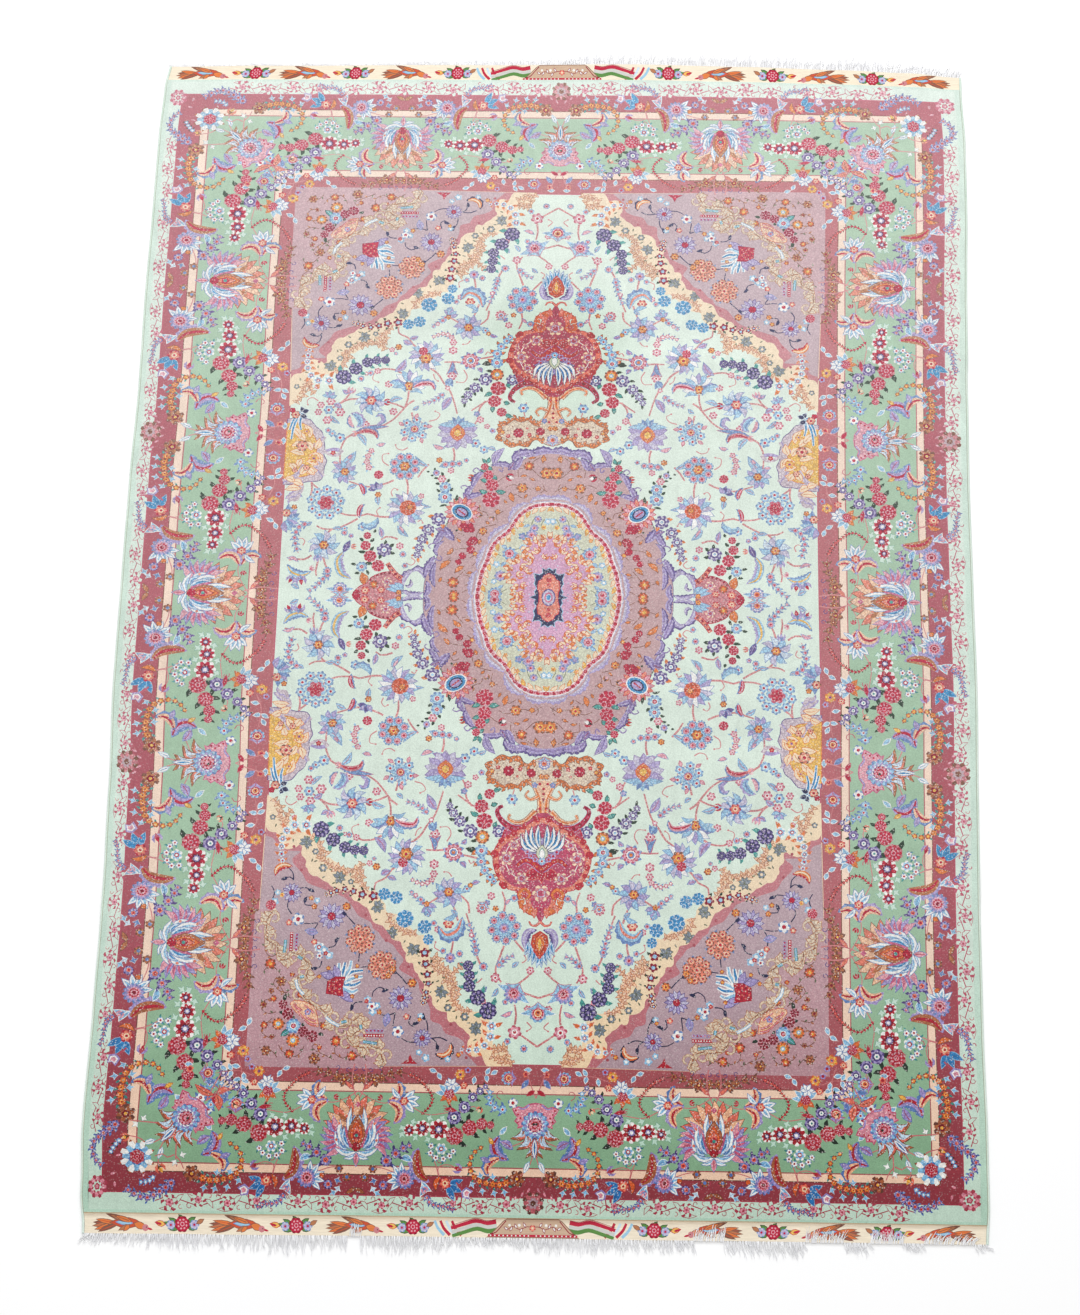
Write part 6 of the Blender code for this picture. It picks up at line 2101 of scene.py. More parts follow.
class Finish:
    """A material's node tree, written as a chain of calls."""

    def __init__(self, name):
        self.material = bpy.data.materials.new(name)
        self.material.use_nodes = True
        self.tree = self.material.node_tree
        self.shader = self.tree.nodes["Principled BSDF"]
        self.place = self.node("ShaderNodeTexCoord").outputs["Object"]

    def node(self, kind, **settings):
        made = self.tree.nodes.new(kind)
        for key, value in settings.items():
            setattr(made, key, value)
        return made

    def link(self, output, socket):
        self.tree.links.new(output, socket)

    def fill(self, node, values):
        for key, value in values.items():
            if isinstance(value, bpy.types.NodeSocket):
                self.link(value, node.inputs[key])
            else:
                node.inputs[key].default_value = value
        return node

    def stretched(self, scale, turn=0.0):
        return self.fill(self.node("ShaderNodeMapping"),
            {"Vector": self.place, "Scale": scale, "Rotation": (0.0, 0.0, turn)}).outputs["Vector"]

    def noise(self, vector, scale, detail=2.0, rough=0.55):
        node = self.fill(self.node("ShaderNodeTexNoise"),
            {"Vector": vector, "Scale": scale, "Detail": detail, "Roughness": rough})
        return node.outputs["Fac"]

    def cells(self, size, feature):
        node = self.node("ShaderNodeTexVoronoi", feature=feature)
        return self.fill(node, {"Vector": self.place, "Scale": 1.0 / size}).outputs["Distance"]

    def waves(self, vector, scale, direction, distortion=0.0):
        node = self.node("ShaderNodeTexWave", bands_direction=direction, wave_profile="SIN")
        return self.fill(node, {"Vector": vector, "Scale": scale, "Distortion": distortion, "Detail": 1.0,
            "Detail Scale": 1.0}).outputs["Fac"]

    def spread(self, value, low, high, low_out, high_out):
        node = self.node("ShaderNodeMapRange")
        return self.fill(node, {"Value": value, "From Min": low, "From Max": high, "To Min": low_out,
            "To Max": high_out}).outputs["Result"]

    def maths(self, operation, first, second):
        return self.fill(self.node("ShaderNodeMath", operation=operation), {0: first, 1: second}).outputs[0]

    def mix(self, share, first, second, blend="MIX"):
        node = self.node("ShaderNodeMix", data_type="RGBA", blend_type=blend)
        return self.fill(node, {0: share, 6: first, 7: second}).outputs[2]

    def bump(self, height, distance, strength=1.0, under=None):
        node = self.node("ShaderNodeBump")
        values = {"Height": height, "Distance": distance, "Strength": strength}
        if under:
            values["Normal"] = under
        return self.fill(node, values).outputs["Normal"]

    def tint(self, value):
        return self.fill(self.node("ShaderNodeCombineColor"), {0: value, 1: value, 2: value}).outputs[0]

    def done(self, colour, roughness, normal, **sockets):
        self.fill(self.shader, {"Base Color": colour, "Roughness": roughness, "Normal": normal})
        for key, value in sockets.items():
            self.shader.inputs[key.replace("_", " ")].default_value = value
        return self.material


# Spacing of the knots, and of the weft ribs in the end bands.
KNOT = 0.0016
WEFT_RIB = 0.0012
# Painted sheen: how far the dyes are washed towards a pale grey, from the near end to the far end, where
# glancing light pales the pile.
PAINTED_SHEEN_NEAR = 0.0
PAINTED_SHEEN_FAR = 0.08
SHEEN_WASH_COLOUR = (0.84, 0.83, 0.82)
# Painted light and shade along the rug, as a gamma on the dyes: painted shade deepens them near, where the
# light falls short, and painted light pales them far.
SHADE_GAMMA = (1.07, 0.76)
NEAR_END_SHADE_GAMMA = 0.5
# Painted shade about the far pendant: a soft round patch where the dyes are deepened, as pile that lies the
# other way looks darker in the light.
SHADED_PATCH_CENTRE = (0.0, 0.70, 0.0)
SHADED_PATCH_GAMMA = 0.5
# The fine drawing inside the motifs: spacing of its dark lines and of its light spots.
DRAWING_LINES = 0.0075
DRAWING_LIGHTS = 0.0055
LINE_SHADE = (0.42, 0.34, 0.42)
LIGHT_YARN = (0.86, 0.83, 0.78)
# Dye lots lie in bands across the rug.
LOT_STRETCH = (0.9, 11.0, 1.0)
MINT_YARN = ((0.58, 0.72, 0.62, 1.0), (0.70, 0.80, 0.73, 1.0))
BLEACHED_COTTON = ((0.97, 0.97, 0.98, 1.0), (0.90, 0.90, 0.93, 1.0))
BACK_COTTON = (0.80, 0.77, 0.70, 1.0)


def wave_scale(pitch):
    """The scale at which a wave texture, which has 20 / tau waves to a unit, repeats at a pitch."""
    return 2.0 * math.pi / 20.0 / pitch


def pile_finish():
    """Short cut pile: rows of knots, a soft nap, dye lots that differ a little in bands across
    the rug, painted shade that deepens the near end and a patch about the far pendant, and
    painted light and sheen that wash the far half paler."""
    f = Finish("knotted_pile")
    attribute = f.node("ShaderNodeAttribute", attribute_name="dye")
    dye, drawing = attribute.outputs["Color"], attribute.outputs["Alpha"]
    tufts = f.noise(f.place, 1.0 / KNOT * 0.55, 2.0, 0.7)
    nap = f.noise(f.stretched((60.0, 22.0, 60.0)), 1.0, 3.0)
    lots = f.noise(f.stretched(LOT_STRETCH), 1.0, 2.0)
    sheen_patches = f.noise(f.place, 5.0, 3.0)
    split = f.node("ShaderNodeSeparateXYZ")
    f.link(f.place, split.inputs[0])

    shade = f.spread(tufts, 0.3, 0.7, 0.78, 1.03)
    shade = f.maths("MULTIPLY", shade, f.spread(nap, 0.3, 0.7, 0.95, 1.05))
    shade = f.maths("MULTIPLY", shade, f.spread(lots, 0.3, 0.7, 0.95, 1.05))
    # Painted shade and light: the gamma on the dyes deepens them towards the near end and pales them towards
    # the far end.
    depth = f.maths("ADD", f.spread(split.outputs["Y"], -1.45, 1.5, *SHADE_GAMMA),
        f.spread(split.outputs["Y"], -1.5, -0.75, NEAR_END_SHADE_GAMMA, 0.0))
    # Painted shade: a soft round patch about the far pendant, deepened further.
    from_shaded_patch = f.fill(f.node("ShaderNodeVectorMath", operation="DISTANCE"), {0: f.place, 1: SHADED_PATCH_CENTRE})
    depth = f.maths("ADD", depth, f.spread(from_shaded_patch.outputs["Value"], 0.10, 0.24, SHADED_PATCH_GAMMA, 0.0))
    # Here depth is painted shade and light, put into the dyes as a gamma.
    dye = f.fill(f.node("ShaderNodeGamma"), {"Color": dye, "Gamma": depth}).outputs[0]
    lines = f.spread(f.cells(DRAWING_LINES, "DISTANCE_TO_EDGE"), 0.03, 0.16, 0.62, 0.0)
    dye = f.mix(f.maths("MULTIPLY", lines, drawing), dye, f.mix(1.0, dye, (*LINE_SHADE, 1.0), "MULTIPLY"))
    lights = f.spread(f.cells(DRAWING_LIGHTS, "F1"), 0.16, 0.34, 0.55, 0.0)
    dye = f.mix(f.maths("MULTIPLY", lights, drawing), dye, (*LIGHT_YARN, 1.0))
    tinted = f.mix(1.0, dye, f.tint(shade), "MULTIPLY")
    # Painted sheen: the far half washed towards pale grey, more in some patches than in others.
    sheen_wash = f.spread(split.outputs["Y"], -1.5, 1.6, PAINTED_SHEEN_NEAR, PAINTED_SHEEN_FAR)
    sheen_wash = f.maths("MULTIPLY", sheen_wash, f.spread(sheen_patches, 0.3, 0.7, 0.8, 1.2))
    colour = f.mix(sheen_wash, tinted, (*SHEEN_WASH_COLOUR, 1.0))
    rows = f.waves(f.place, wave_scale(KNOT), "Y", 0.6)
    normal = f.bump(rows, 0.0005, 0.35)
    normal = f.bump(tufts, 0.0011, 0.6, normal)
    normal = f.bump(nap, 0.0016, 0.35, normal)
    rough = f.spread(nap, 0.3, 0.7, 0.72, 0.9)
    return f.done(colour, rough, normal, Sheen_Weight=0.12, Sheen_Roughness=0.45, Specular_IOR_Level=0.25)


def back_finish():
    """The underside: the same dyes seen as small flat knots in rows, with the cotton between."""
    f = Finish("knotted_back")
    dye = f.node("ShaderNodeAttribute", attribute_name="dye").outputs["Color"]
    rows = f.waves(f.place, wave_scale(KNOT), "Y", 0.3)
    columns = f.waves(f.place, wave_scale(KNOT), "X", 0.3)
    knots = f.maths("MULTIPLY", rows, columns)
    lots = f.noise(f.stretched(LOT_STRETCH), 1.0, 2.0)
    shade = f.spread(knots, 0.0, 1.0, 0.70, 1.05)
    shade = f.maths("MULTIPLY", shade, f.spread(lots, 0.3, 0.7, 0.92, 1.08))
    tinted = f.mix(1.0, dye, f.tint(shade), "MULTIPLY")
    colour = f.mix(0.22, tinted, BACK_COTTON)
    return f.done(colour, 0.9, f.bump(knots, 0.0006, 0.6), Sheen_Weight=0.1, Specular_IOR_Level=0.2)


def band_finish():
    """Flat weave of the end bands: fine weft ribs across the warps, cream yarn with slubs."""
    f = Finish("flat_weave")
    dye = f.node("ShaderNodeAttribute", attribute_name="dye").outputs["Color"]
    ribs = f.waves(f.place, wave_scale(WEFT_RIB), "Y", 1.2)
    slubs = f.noise(f.stretched((30.0, 420.0, 60.0)), 1.0, 3.0)
    shade = f.spread(ribs, 0.0, 1.0, 0.90, 1.03)
    shade = f.maths("MULTIPLY", shade, f.spread(slubs, 0.3, 0.7, 0.90, 1.08))
    colour = f.mix(1.0, dye, f.tint(shade), "MULTIPLY")
    normal = f.bump(ribs, 0.0006, 0.5)
    normal = f.bump(slubs, 0.0006, 0.5, normal)
    return f.done(colour, 0.85, normal, Sheen_Weight=0.2, Sheen_Roughness=0.5, Specular_IOR_Level=0.25)


def yarn_finish():
    """Mint wool overcast along the sides."""
    f = Finish("overcast_wool")
    fibres = f.noise(f.stretched((900.0, 260.0, 900.0)), 1.0, 2.0)
    lots = f.noise(f.place, 9.0, 2.0)
    colour = f.mix(f.spread(lots, 0.3, 0.7, 0.0, 1.0), *MINT_YARN)
    colour = f.mix(1.0, colour, f.tint(f.spread(fibres, 0.25, 0.75, 0.82, 1.12)), "MULTIPLY")
    return f.done(colour, 0.8, f.bump(fibres, 0.0004, 0.6), Sheen_Weight=0.3, Specular_IOR_Level=0.25)


def cotton_finish():
    """Bleached warp cotton, slightly grey in places from dust."""
    f = Finish("warp_cotton")
    fibres = f.noise(f.stretched((1400.0, 500.0, 1400.0)), 1.0, 2.0)
    dust = f.noise(f.place, 14.0, 2.0)
    colour = f.mix(f.spread(dust, 0.35, 0.75, 0.0, 1.0), *BLEACHED_COTTON)
    colour = f.mix(1.0, colour, f.tint(f.spread(fibres, 0.25, 0.75, 0.88, 1.06)), "MULTIPLY")
    return f.done(colour, 0.85, f.bump(fibres, 0.0003, 0.5), Sheen_Weight=0.3, Specular_IOR_Level=0.2)


# ---------------------------------------------------------------- woven pieces


def mirrored_half(cut, half):
    """The chart's triangles for both quarters of one half of the rug (half is -1 or 1)."""
    places, tris, dyes = cut
    parts = []
    for side in (1.0, -1.0):
        turned = tris if side * half > 0 else tris[:, ::-1]
        parts.append((places * (side, half), turned, dyes))
    points = np.concatenate([parts[0][0], parts[1][0]])
    faces = np.concatenate([parts[0][1], parts[1][1] + len(places)])
    return tidy_points(points, faces, np.concatenate([parts[0][2], parts[1][2]]))


def tidy_points(points, faces, dyes):
    """Merges points that lie on each other and drops those that no triangle uses."""
    keys = np.round(points, 5) + 0.0
    used = np.unique(faces)
    _, first, index = np.unique(keys[used], axis=0, return_index=True, return_inverse=True)
    lookup = np.zeros(len(points), int)
    lookup[used] = index.reshape(-1)
    faces = lookup[faces]
    whole = (faces[:, 0] != faces[:, 1]) & (faces[:, 1] != faces[:, 2]) & (faces[:, 0] != faces[:, 2])
    return points[used][first], faces[whole], dyes[whole]


def chosen(cut, keep):
    """Those triangles whose middle lies where keep(u, v) is true."""
    points, faces, dyes = cut
    middle = points[faces].mean(1)
    mask = keep(middle[:, 0], middle[:, 1])
    return tidy_points(points, faces[mask], dyes[mask])


def rim_edges(faces):
    """Directed edges that only one triangle has, with the woven side on their left."""
    edges = np.concatenate([faces[:, [0, 1]], faces[:, [1, 2]], faces[:, [2, 0]]])
    codes = edges[:, 0].astype(np.int64) * (faces.max() + 1) + edges[:, 1]
    back = edges[:, 1].astype(np.int64) * (faces.max() + 1) + edges[:, 0]
    return edges[~np.isin(codes, back)]


def inside_rim(edges, points):
    """Which points lie inside a closed rim, given as its edges' two ends."""
    found = np.zeros(len(points), bool)
    for (ax, ay), (bx, by) in edges[edges[:, 0, 1] != edges[:, 1, 1]]:
        passed = (points[:, 1] < ay) != (points[:, 1] < by)
        found ^= passed & (points[:, 0] < ax + (bx - ax) * (points[:, 1] - ay) / (by - ay))
    return found


# How far the extra points of a plain surface stay from its rim, and when two points are one.
RIM_MARGIN = 0.004
RIM_MERGE = 1e-8


def plain_cover(points, rim, keep, step=0.03):
    """A plain surface with the same rim: extra points, and triangles over rim and extra points."""
    rim_points, rim_index = np.unique(rim, return_inverse=True)
    rim_index = rim_index.reshape(rim.shape)
    corners = points[rim_points]
    low, high = corners.min(0), corners.max(0)
    columns = np.arange(low[0] + 0.5 * step, high[0], step * 2)
    rows = np.arange(low[1] + 0.5 * step, high[1], step)
    inner = np.stack(np.meshgrid(columns, rows), -1).reshape(-1, 2)
    clear = np.ones(len(inner), bool)
    for du, dv in ((1, 0), (-1, 0), (0, 1), (0, -1)):
        clear &= keep(inner[:, 0] + du * RIM_MARGIN, inner[:, 1] + dv * RIM_MARGIN)
    inner = inner[clear]
    flat = [Vector(p) for p in np.concatenate([corners, inner]).tolist()]
    found = delaunay_2d_cdt(flat, rim_index.tolist(), [], 0, RIM_MERGE, True)
    places = np.array([tuple(p) for p in found[0]])
    tris = np.array(found[2])
    middle = places[tris].mean(1)
    tris = tris[inside_rim(corners[rim_index], middle)]
    source = np.array([min(ids) if ids else -1 for ids in found[3]])
    return rim_points, places, tris, source


def slab(name, cut, low, high, keep, material, back=False):
    """A closed woven piece: the chart's triangles on its top (or on its back), walls, and a
    plain surface on the other side."""
    points, faces, dyes = cut
    rim = rim_edges(faces)
    rim_points, places, plain, source = plain_cover(points, rim, keep)
    shown_height, plain_height = (low, high) if back else (high, low)
    shown = lie(points[:, 0], points[:, 1], shown_height)
    count = len(points)
    twin = np.full(count, -1)
    twin[rim_points] = count + np.arange(len(rim_points))
    rim_twins = lie(points[rim_points, 0], points[rim_points, 1], plain_height)
    extra = source >= len(rim_points)
    index = np.where(extra, 0, rim_points[np.minimum(source, len(rim_points) - 1)])
    index = twin[index]
    index[extra] = count + len(rim_points) + np.arange(extra.sum())
    added = lie(places[extra, 0], places[extra, 1], plain_height)
    plain = index[plain]
    a, b = rim[:, 0], rim[:, 1]
    walls = np.concatenate([np.stack([a, twin[a], twin[b]], -1), np.stack([a, twin[b], b], -1)])
    if back:
        faces, walls = faces[:, ::-1], walls[:, ::-1]
    else:
        plain = plain[:, ::-1]
    wall_dyes = np.full(len(walls), DYE_NAMES.index("ivory" if high <= GROUND_TOP else "cream"))
    plain_dyes = np.full(len(plain), DYE_NAMES.index("ivory"))
    verts = np.concatenate([shown, rim_twins, added])
    all_faces = np.concatenate([faces, walls, plain])
    all_dyes = np.concatenate([dyes, wall_dyes, plain_dyes])
    return dyed_mesh(name, verts, all_faces, all_dyes, material)


# Edges that turn by more degrees than this look sharp.
SHARP_ANGLE = 50


def dyed_mesh(name, verts, faces, dyes, material):
    """A mesh of triangles whose corners carry their dye."""
    mesh = bpy.data.meshes.new(name)
    mesh.vertices.add(len(verts))
    mesh.vertices.foreach_set("co", verts.astype(np.float32).ravel())
    mesh.loops.add(faces.size)
    mesh.loops.foreach_set("vertex_index", faces.astype(np.int32).ravel())
    mesh.polygons.add(len(faces))
    mesh.polygons.foreach_set("loop_start", np.arange(0, faces.size, 3, dtype=np.int32))
    mesh.polygons.foreach_set("use_smooth", np.ones(len(faces), bool))
    mesh.update(calc_edges=True)
    colours = mesh.color_attributes.new("dye", "FLOAT_COLOR", "CORNER")
    colours.data.foreach_set("color", np.repeat(DYE_TABLE[dyes], 3, axis=0).ravel())
    mesh.validate()
    mesh.set_sharp_from_angle(angle=math.radians(SHARP_ANGLE))
    mesh.materials.append(material)
    obj = bpy.data.objects.new(name, mesh)
    bpy.context.scene.collection.objects.link(obj)
    return obj


# The pieces of pile: name, inner line, outer line.
PILE_PIECES = (
    ("field", None, FIELD_LINE),
    ("inner_guard", FIELD_LINE, INNER_STRIPE_LINE),
    ("main_border", INNER_STRIPE_LINE, GREEN_LINE),
    ("rose_border", GREEN_LINE, ROSE_LINE),
    ("outer_guard", ROSE_LINE, GUARD_LINE),
)


def between(inner, outer, half):
    """A test for places between two of the chart's lines, in one half of the rug or in both."""

    def inside(u, v, line):
        return (np.abs(u) < MM * line[0]) & (np.abs(v) < MM * line[1])

    def keep(u, v):
        found = inside(u, v, outer) & (v * half >= 0)
        return found & ~inside(u, v, inner) if inner else found

    return keep


# The back of the weave is cut coarser: spacing of its points, and bends that are drawn straight.
BACK_STEP = 0.05
BACK_STRAIGHT = 0.001
BAND_STEP = 0.012


def woven_pieces():
    """The woven back, and the pieces of pile on it."""
    chart = Chart()
    draw_quarter(chart)
    pile = pile_finish()
    quarter = (0.0, 0.0, MM * GUARD_LINE[0], MM * GUARD_LINE[1])
    cut = chart.triangles(quarter)
    pieces = []
    for half, end in ((-1, "near"), (1, "far")):
        whole = mirrored_half(cut, half)
        for name, inner, outer in PILE_PIECES:
            keep = between(inner, outer, half)
            piece = slab(f"pile_{name}_{end}", chosen(whole, keep), GROUND_TOP, PILE_TOP, keep, pile)
            pieces.append(piece)
    back_cut = chart.triangles(quarter, only_bold=True, step=BACK_STEP, straight=BACK_STRAIGHT)
    halves = [mirrored_half(back_cut, half) for half in (-1, 1)]
    count = len(halves[0][0])
    joined = tidy_points(np.concatenate([halves[0][0], halves[1][0]]),
        np.concatenate([halves[0][1], halves[1][1] + count]),
        np.concatenate([halves[0][2], halves[1][2]]))
    keep = between(None, GUARD_LINE, 0)
    ground = slab("ground_weave", joined, 0.0, GROUND_TOP, keep, back_finish(), back=True)
    return ground, pieces


def end_band(end, material):
    """A flat-woven band, its figures the same way up at both ends."""
    chart = Chart()
    draw_band(chart)
    height = END_LINE - BAND_LINE
    places, tris, dyes = chart.triangles((0.0, 0.0, 1.0, height), step=BAND_STEP)
    points = np.concatenate([places, places * (-1.0, 1.0)])
    faces = np.concatenate([tris, tris[:, ::-1] + len(places)])
    points, faces, dyes = tidy_points(points, faces, np.concatenate([dyes, dyes]))
    points = points + (0.0, -END_LINE if end < 0 else BAND_LINE)
    middle = 0.5 * (BAND_LINE + END_LINE) * end

    def keep(u, v):
        return (np.abs(u) < 1.0) & (np.abs(v - middle) < 0.5 * height)

    name = "end_band_near" if end < 0 else "end_band_far"
    return slab(name, (points, faces, dyes), 0.0, GROUND_TOP, keep, material)

# ---------------------------------------------------------------- overcast sides and fringes


class Tree:
    """A Geometry Nodes tree written as a chain of calls, with named inputs."""

    def __init__(self, name):
        self.tree = bpy.data.node_groups.new(name, "GeometryNodeTree")
        self.inputs = {}
        self.socket("Geometry", "NodeSocketGeometry")
        self.tree.interface.new_socket("Geometry", in_out="OUTPUT", socket_type="NodeSocketGeometry")
        self.start = self.tree.nodes.new("NodeGroupInput")
        self.end = self.tree.nodes.new("NodeGroupOutput")

    def socket(self, name, kind, default=None):
        made = self.tree.interface.new_socket(name, in_out="INPUT", socket_type=kind)
        if default is not None:
            made.default_value = default
        self.inputs[name] = made.identifier
        return made

    def size(self, name, default):
        self.socket(name, "NodeSocketFloat", default)
        return self.start.outputs[name]

    def count(self, name, default):
        self.socket(name, "NodeSocketInt", default)
        return self.start.outputs[name]

    def add(self, kind, values=None, **settings):
        node = self.tree.nodes.new(kind)
        for key, value in settings.items():
            setattr(node, key, value)
        for key, value in (values or {}).items():
            if isinstance(value, bpy.types.NodeSocket):
                self.tree.links.new(value, node.inputs[key])
            else:
                node.inputs[key].default_value = value
        return node

    def maths(self, operation, first, second=0.0):
        return self.add("ShaderNodeMath", {0: first, 1: second}, operation=operation).outputs[0]

    def named(self, name, kind="FLOAT"):
        node = self.add("GeometryNodeInputNamedAttribute", {"Name": name}, data_type=kind)
        return node.outputs["Attribute"]

    def vector(self, x=0.0, y=0.0, z=0.0):
        return self.add("ShaderNodeCombineXYZ", {"X": x, "Y": y, "Z": z}).outputs[0]

    def finish(self, geometry, material):
        real = self.add("GeometryNodeRealizeInstances", {"Geometry": geometry}).outputs[0]
        painted = self.add("GeometryNodeSetMaterial", {"Geometry": real, "Material": material}).outputs[0]
        self.tree.links.new(painted, self.end.inputs[0])


def grown(name, source, tree, values):
    """Runs a tree on a source mesh and returns the plain mesh that it makes."""
    guide = bpy.data.objects.new(name + "_guide", source)
    bpy.context.scene.collection.objects.link(guide)
    modifier = guide.modifiers.new("grow", "NODES")
    modifier.node_group = tree.tree
    for key, value in values.items():
        modifier[tree.inputs[key]] = value
    bpy.context.view_layer.update()
    shaped = guide.evaluated_get(bpy.context.evaluated_depsgraph_get())
    mesh = bpy.data.meshes.new_from_object(shaped)
    mesh.name = name
    guide.modifiers.clear()
    bpy.data.objects.remove(guide, do_unlink=True)
    obj = bpy.data.objects.new(name, mesh)
    bpy.context.scene.collection.objects.link(obj)
    return obj


def guide_line(name, points):
    mesh = bpy.data.meshes.new(name)
    mesh.from_pydata([tuple(p) for p in points], [(i, i + 1) for i in range(len(points) - 1)], [])
    return mesh


# The overcast cord: spacing of its turns of yarn, how far it draws in between them, and points
# along each side.
CORD_PITCH = 0.0032
CORD_HOLLOW = 0.18
CORD_POINTS = 120


def overcast_tree(material):
    """A cord whose radius swells at each turn of yarn."""
    t = Tree("overcast_cord")
    radius = t.size("Radius", CORD_RADIUS)
    pitch = t.size("Turn Pitch", CORD_PITCH)
    hollow = t.size("Hollow Between Turns", CORD_HOLLOW)
    curve = t.add("GeometryNodeMeshToCurve", {"Mesh": t.start.outputs["Geometry"]}).outputs[0]
    half_pitch = t.maths("MULTIPLY", pitch, 0.5)
    fine = t.add("GeometryNodeResampleCurve", {"Curve": curve, "Length": half_pitch}, mode="LENGTH")
    index = t.add("GeometryNodeInputIndex").outputs[0]
    odd = t.maths("MODULO", index, 2.0)
    thin = t.maths("SUBTRACT", 1.0, t.maths("MULTIPLY", odd, hollow))
    sized = t.add("GeometryNodeSetCurveRadius", {"Curve": fine.outputs[0], "Radius": thin}).outputs[0]
    ring = t.add("GeometryNodeCurvePrimitiveCircle", {"Resolution": 6, "Radius": radius}).outputs[0]
    tube = t.add("GeometryNodeCurveToMesh", {"Curve": sized, "Profile Curve": ring, "Fill Caps": True})
    if "Scale" in tube.inputs:
        share = t.add("GeometryNodeInputRadius").outputs[0]
        t.tree.links.new(share, tube.inputs["Scale"])
    t.finish(tube.outputs[0], material)
    return t


def side_cord(name, side, tree):
    v = np.linspace(-END_LINE, END_LINE, CORD_POINTS)
    u = np.full_like(v, side)
    points = lie(u, v, CORD_RADIUS, inset=CORD_RADIUS)
    return grown(name, guide_line(name + "_line", points), tree, {})


# How far the locks of the fringe reach, and how far their tips lean to the right.
REACH_COLUMNS = ("u", "reach", "lean")
NEAR_REACH = (
    (-1.00, 0.024, -0.012),
    (-0.90, 0.027, -0.004),
    (-0.78, 0.036, 0.002),
    (-0.68, 0.031, 0.000),
    (-0.55, 0.042, 0.003),
    (-0.42, 0.034, 0.002),
    (-0.28, 0.038, -0.002),
    (-0.10, 0.024, 0.003),
    (0.10, 0.034, 0.001),
    (0.30, 0.026, 0.005),
    (0.52, 0.037, 0.006),
    (0.70, 0.028, 0.006),
    (0.88, 0.024, 0.008),
    (1.00, 0.020, 0.012),
)
FAR_REACH = (
    (-1.00, 0.012, -0.003),
    (-0.80, 0.009, -0.002),
    (-0.55, 0.010, -0.003),
    (-0.30, 0.016, -0.003),
    (-0.05, 0.021, 0.000),
    (0.12, 0.033, 0.002),
    (0.45, 0.035, 0.002),
    (0.75, 0.034, 0.004),
    (1.00, 0.026, 0.009),
)
# Stretches of the near fringe whose locks have flopped back over the end band.
FLOPPED = ((-0.415, -0.385), (0.355, 0.425), (0.605, 0.685), (0.745, 0.82), (0.865, 0.975))
FRINGE_INSET = 0.004
FRINGE_LOCKS = 320
STRANDS_IN_LOCK = 4
STRAND_POINTS = 4
STRAND_RADIUS = 0.0012
STRAND_WANDER = 0.0035
STRAND_TAPER = 0.55
# How the locks differ: shares of their reach, and how far their tips lean.
REACH_JITTER = (-0.28, 0.22)
LEAN_JITTER = 0.003
# How the strands of a lock differ: place along the end, lean, share of its reach, and lift.
ROOT_JITTER = 0.0026
SPREAD_JITTER = 0.005
LENGTH_JITTER = (0.60, 1.08)
MOST_LIFT = 0.0012
# A strand starts this high, rises by this much on its way, and a flopped one lies this far over
# the end band. Its root is this far past the band's edge: an ordinary one's just inside it, a
# flopped one's just outside it.
ROOT_HEIGHT = 0.0020
STRAND_RISE = 0.0016
FLOP_CLEARANCE = 0.0010
ROOT_PAST_EDGE = -0.001
FLOP_ROOT = 0.002


def strand_tree(material):
    """Soft twisted strands: each guide edge chain becomes a tapering, wandering strand."""
    t = Tree("cotton_strands")
    radius = t.size("Radius", STRAND_RADIUS)
    wander = t.size("Wander", STRAND_WANDER)
    scale = t.size("Wander Scale", 90.0)
    curve = t.add("GeometryNodeMeshToCurve", {"Mesh": t.start.outputs["Geometry"]}).outputs[0]
    spot_at = t.add("GeometryNodeInputPosition").outputs[0]
    noise = t.add("ShaderNodeTexNoise", {"Vector": spot_at, "Scale": scale, "Detail": 1.0})
    centred = t.add("ShaderNodeVectorMath", {0: noise.outputs["Color"], 1: (0.5, 0.5, 0.42)},
        operation="SUBTRACT").outputs[0]
    share = t.named("share")
    reach = t.maths("MULTIPLY", wander, t.maths("MULTIPLY", share, 2.0))
    shift = t.add("ShaderNodeVectorMath", {0: centred, "Scale": reach}, operation="SCALE").outputs[0]
    moved = t.add("GeometryNodeSetPosition", {"Geometry": curve, "Offset": shift}).outputs[0]
    apart = t.add("ShaderNodeSeparateXYZ", {0: t.add("GeometryNodeInputPosition").outputs[0]})
    low = t.named("floor")
    height = t.maths("MAXIMUM", apart.outputs["Z"], low)
    settled_at = t.vector(apart.outputs["X"], apart.outputs["Y"], height)
    settled = t.add("GeometryNodeSetPosition", {"Geometry": moved, "Position": settled_at}).outputs[0]
    thin = t.maths("SUBTRACT", 1.0, t.maths("MULTIPLY", share, STRAND_TAPER))
    sized = t.add("GeometryNodeSetCurveRadius", {"Curve": settled, "Radius": thin}).outputs[0]
    ring = t.add("GeometryNodeCurvePrimitiveCircle", {"Resolution": 3, "Radius": radius}).outputs[0]
    tube = t.add("GeometryNodeCurveToMesh", {"Curve": sized, "Profile Curve": ring, "Fill Caps": True})
    if "Scale" in tube.inputs:
        t.tree.links.new(t.add("GeometryNodeInputRadius").outputs[0], tube.inputs["Scale"])
    t.finish(tube.outputs[0], material)
    return t


def flopped_back(u):
    return any(low <= u <= high for low, high in FLOPPED)


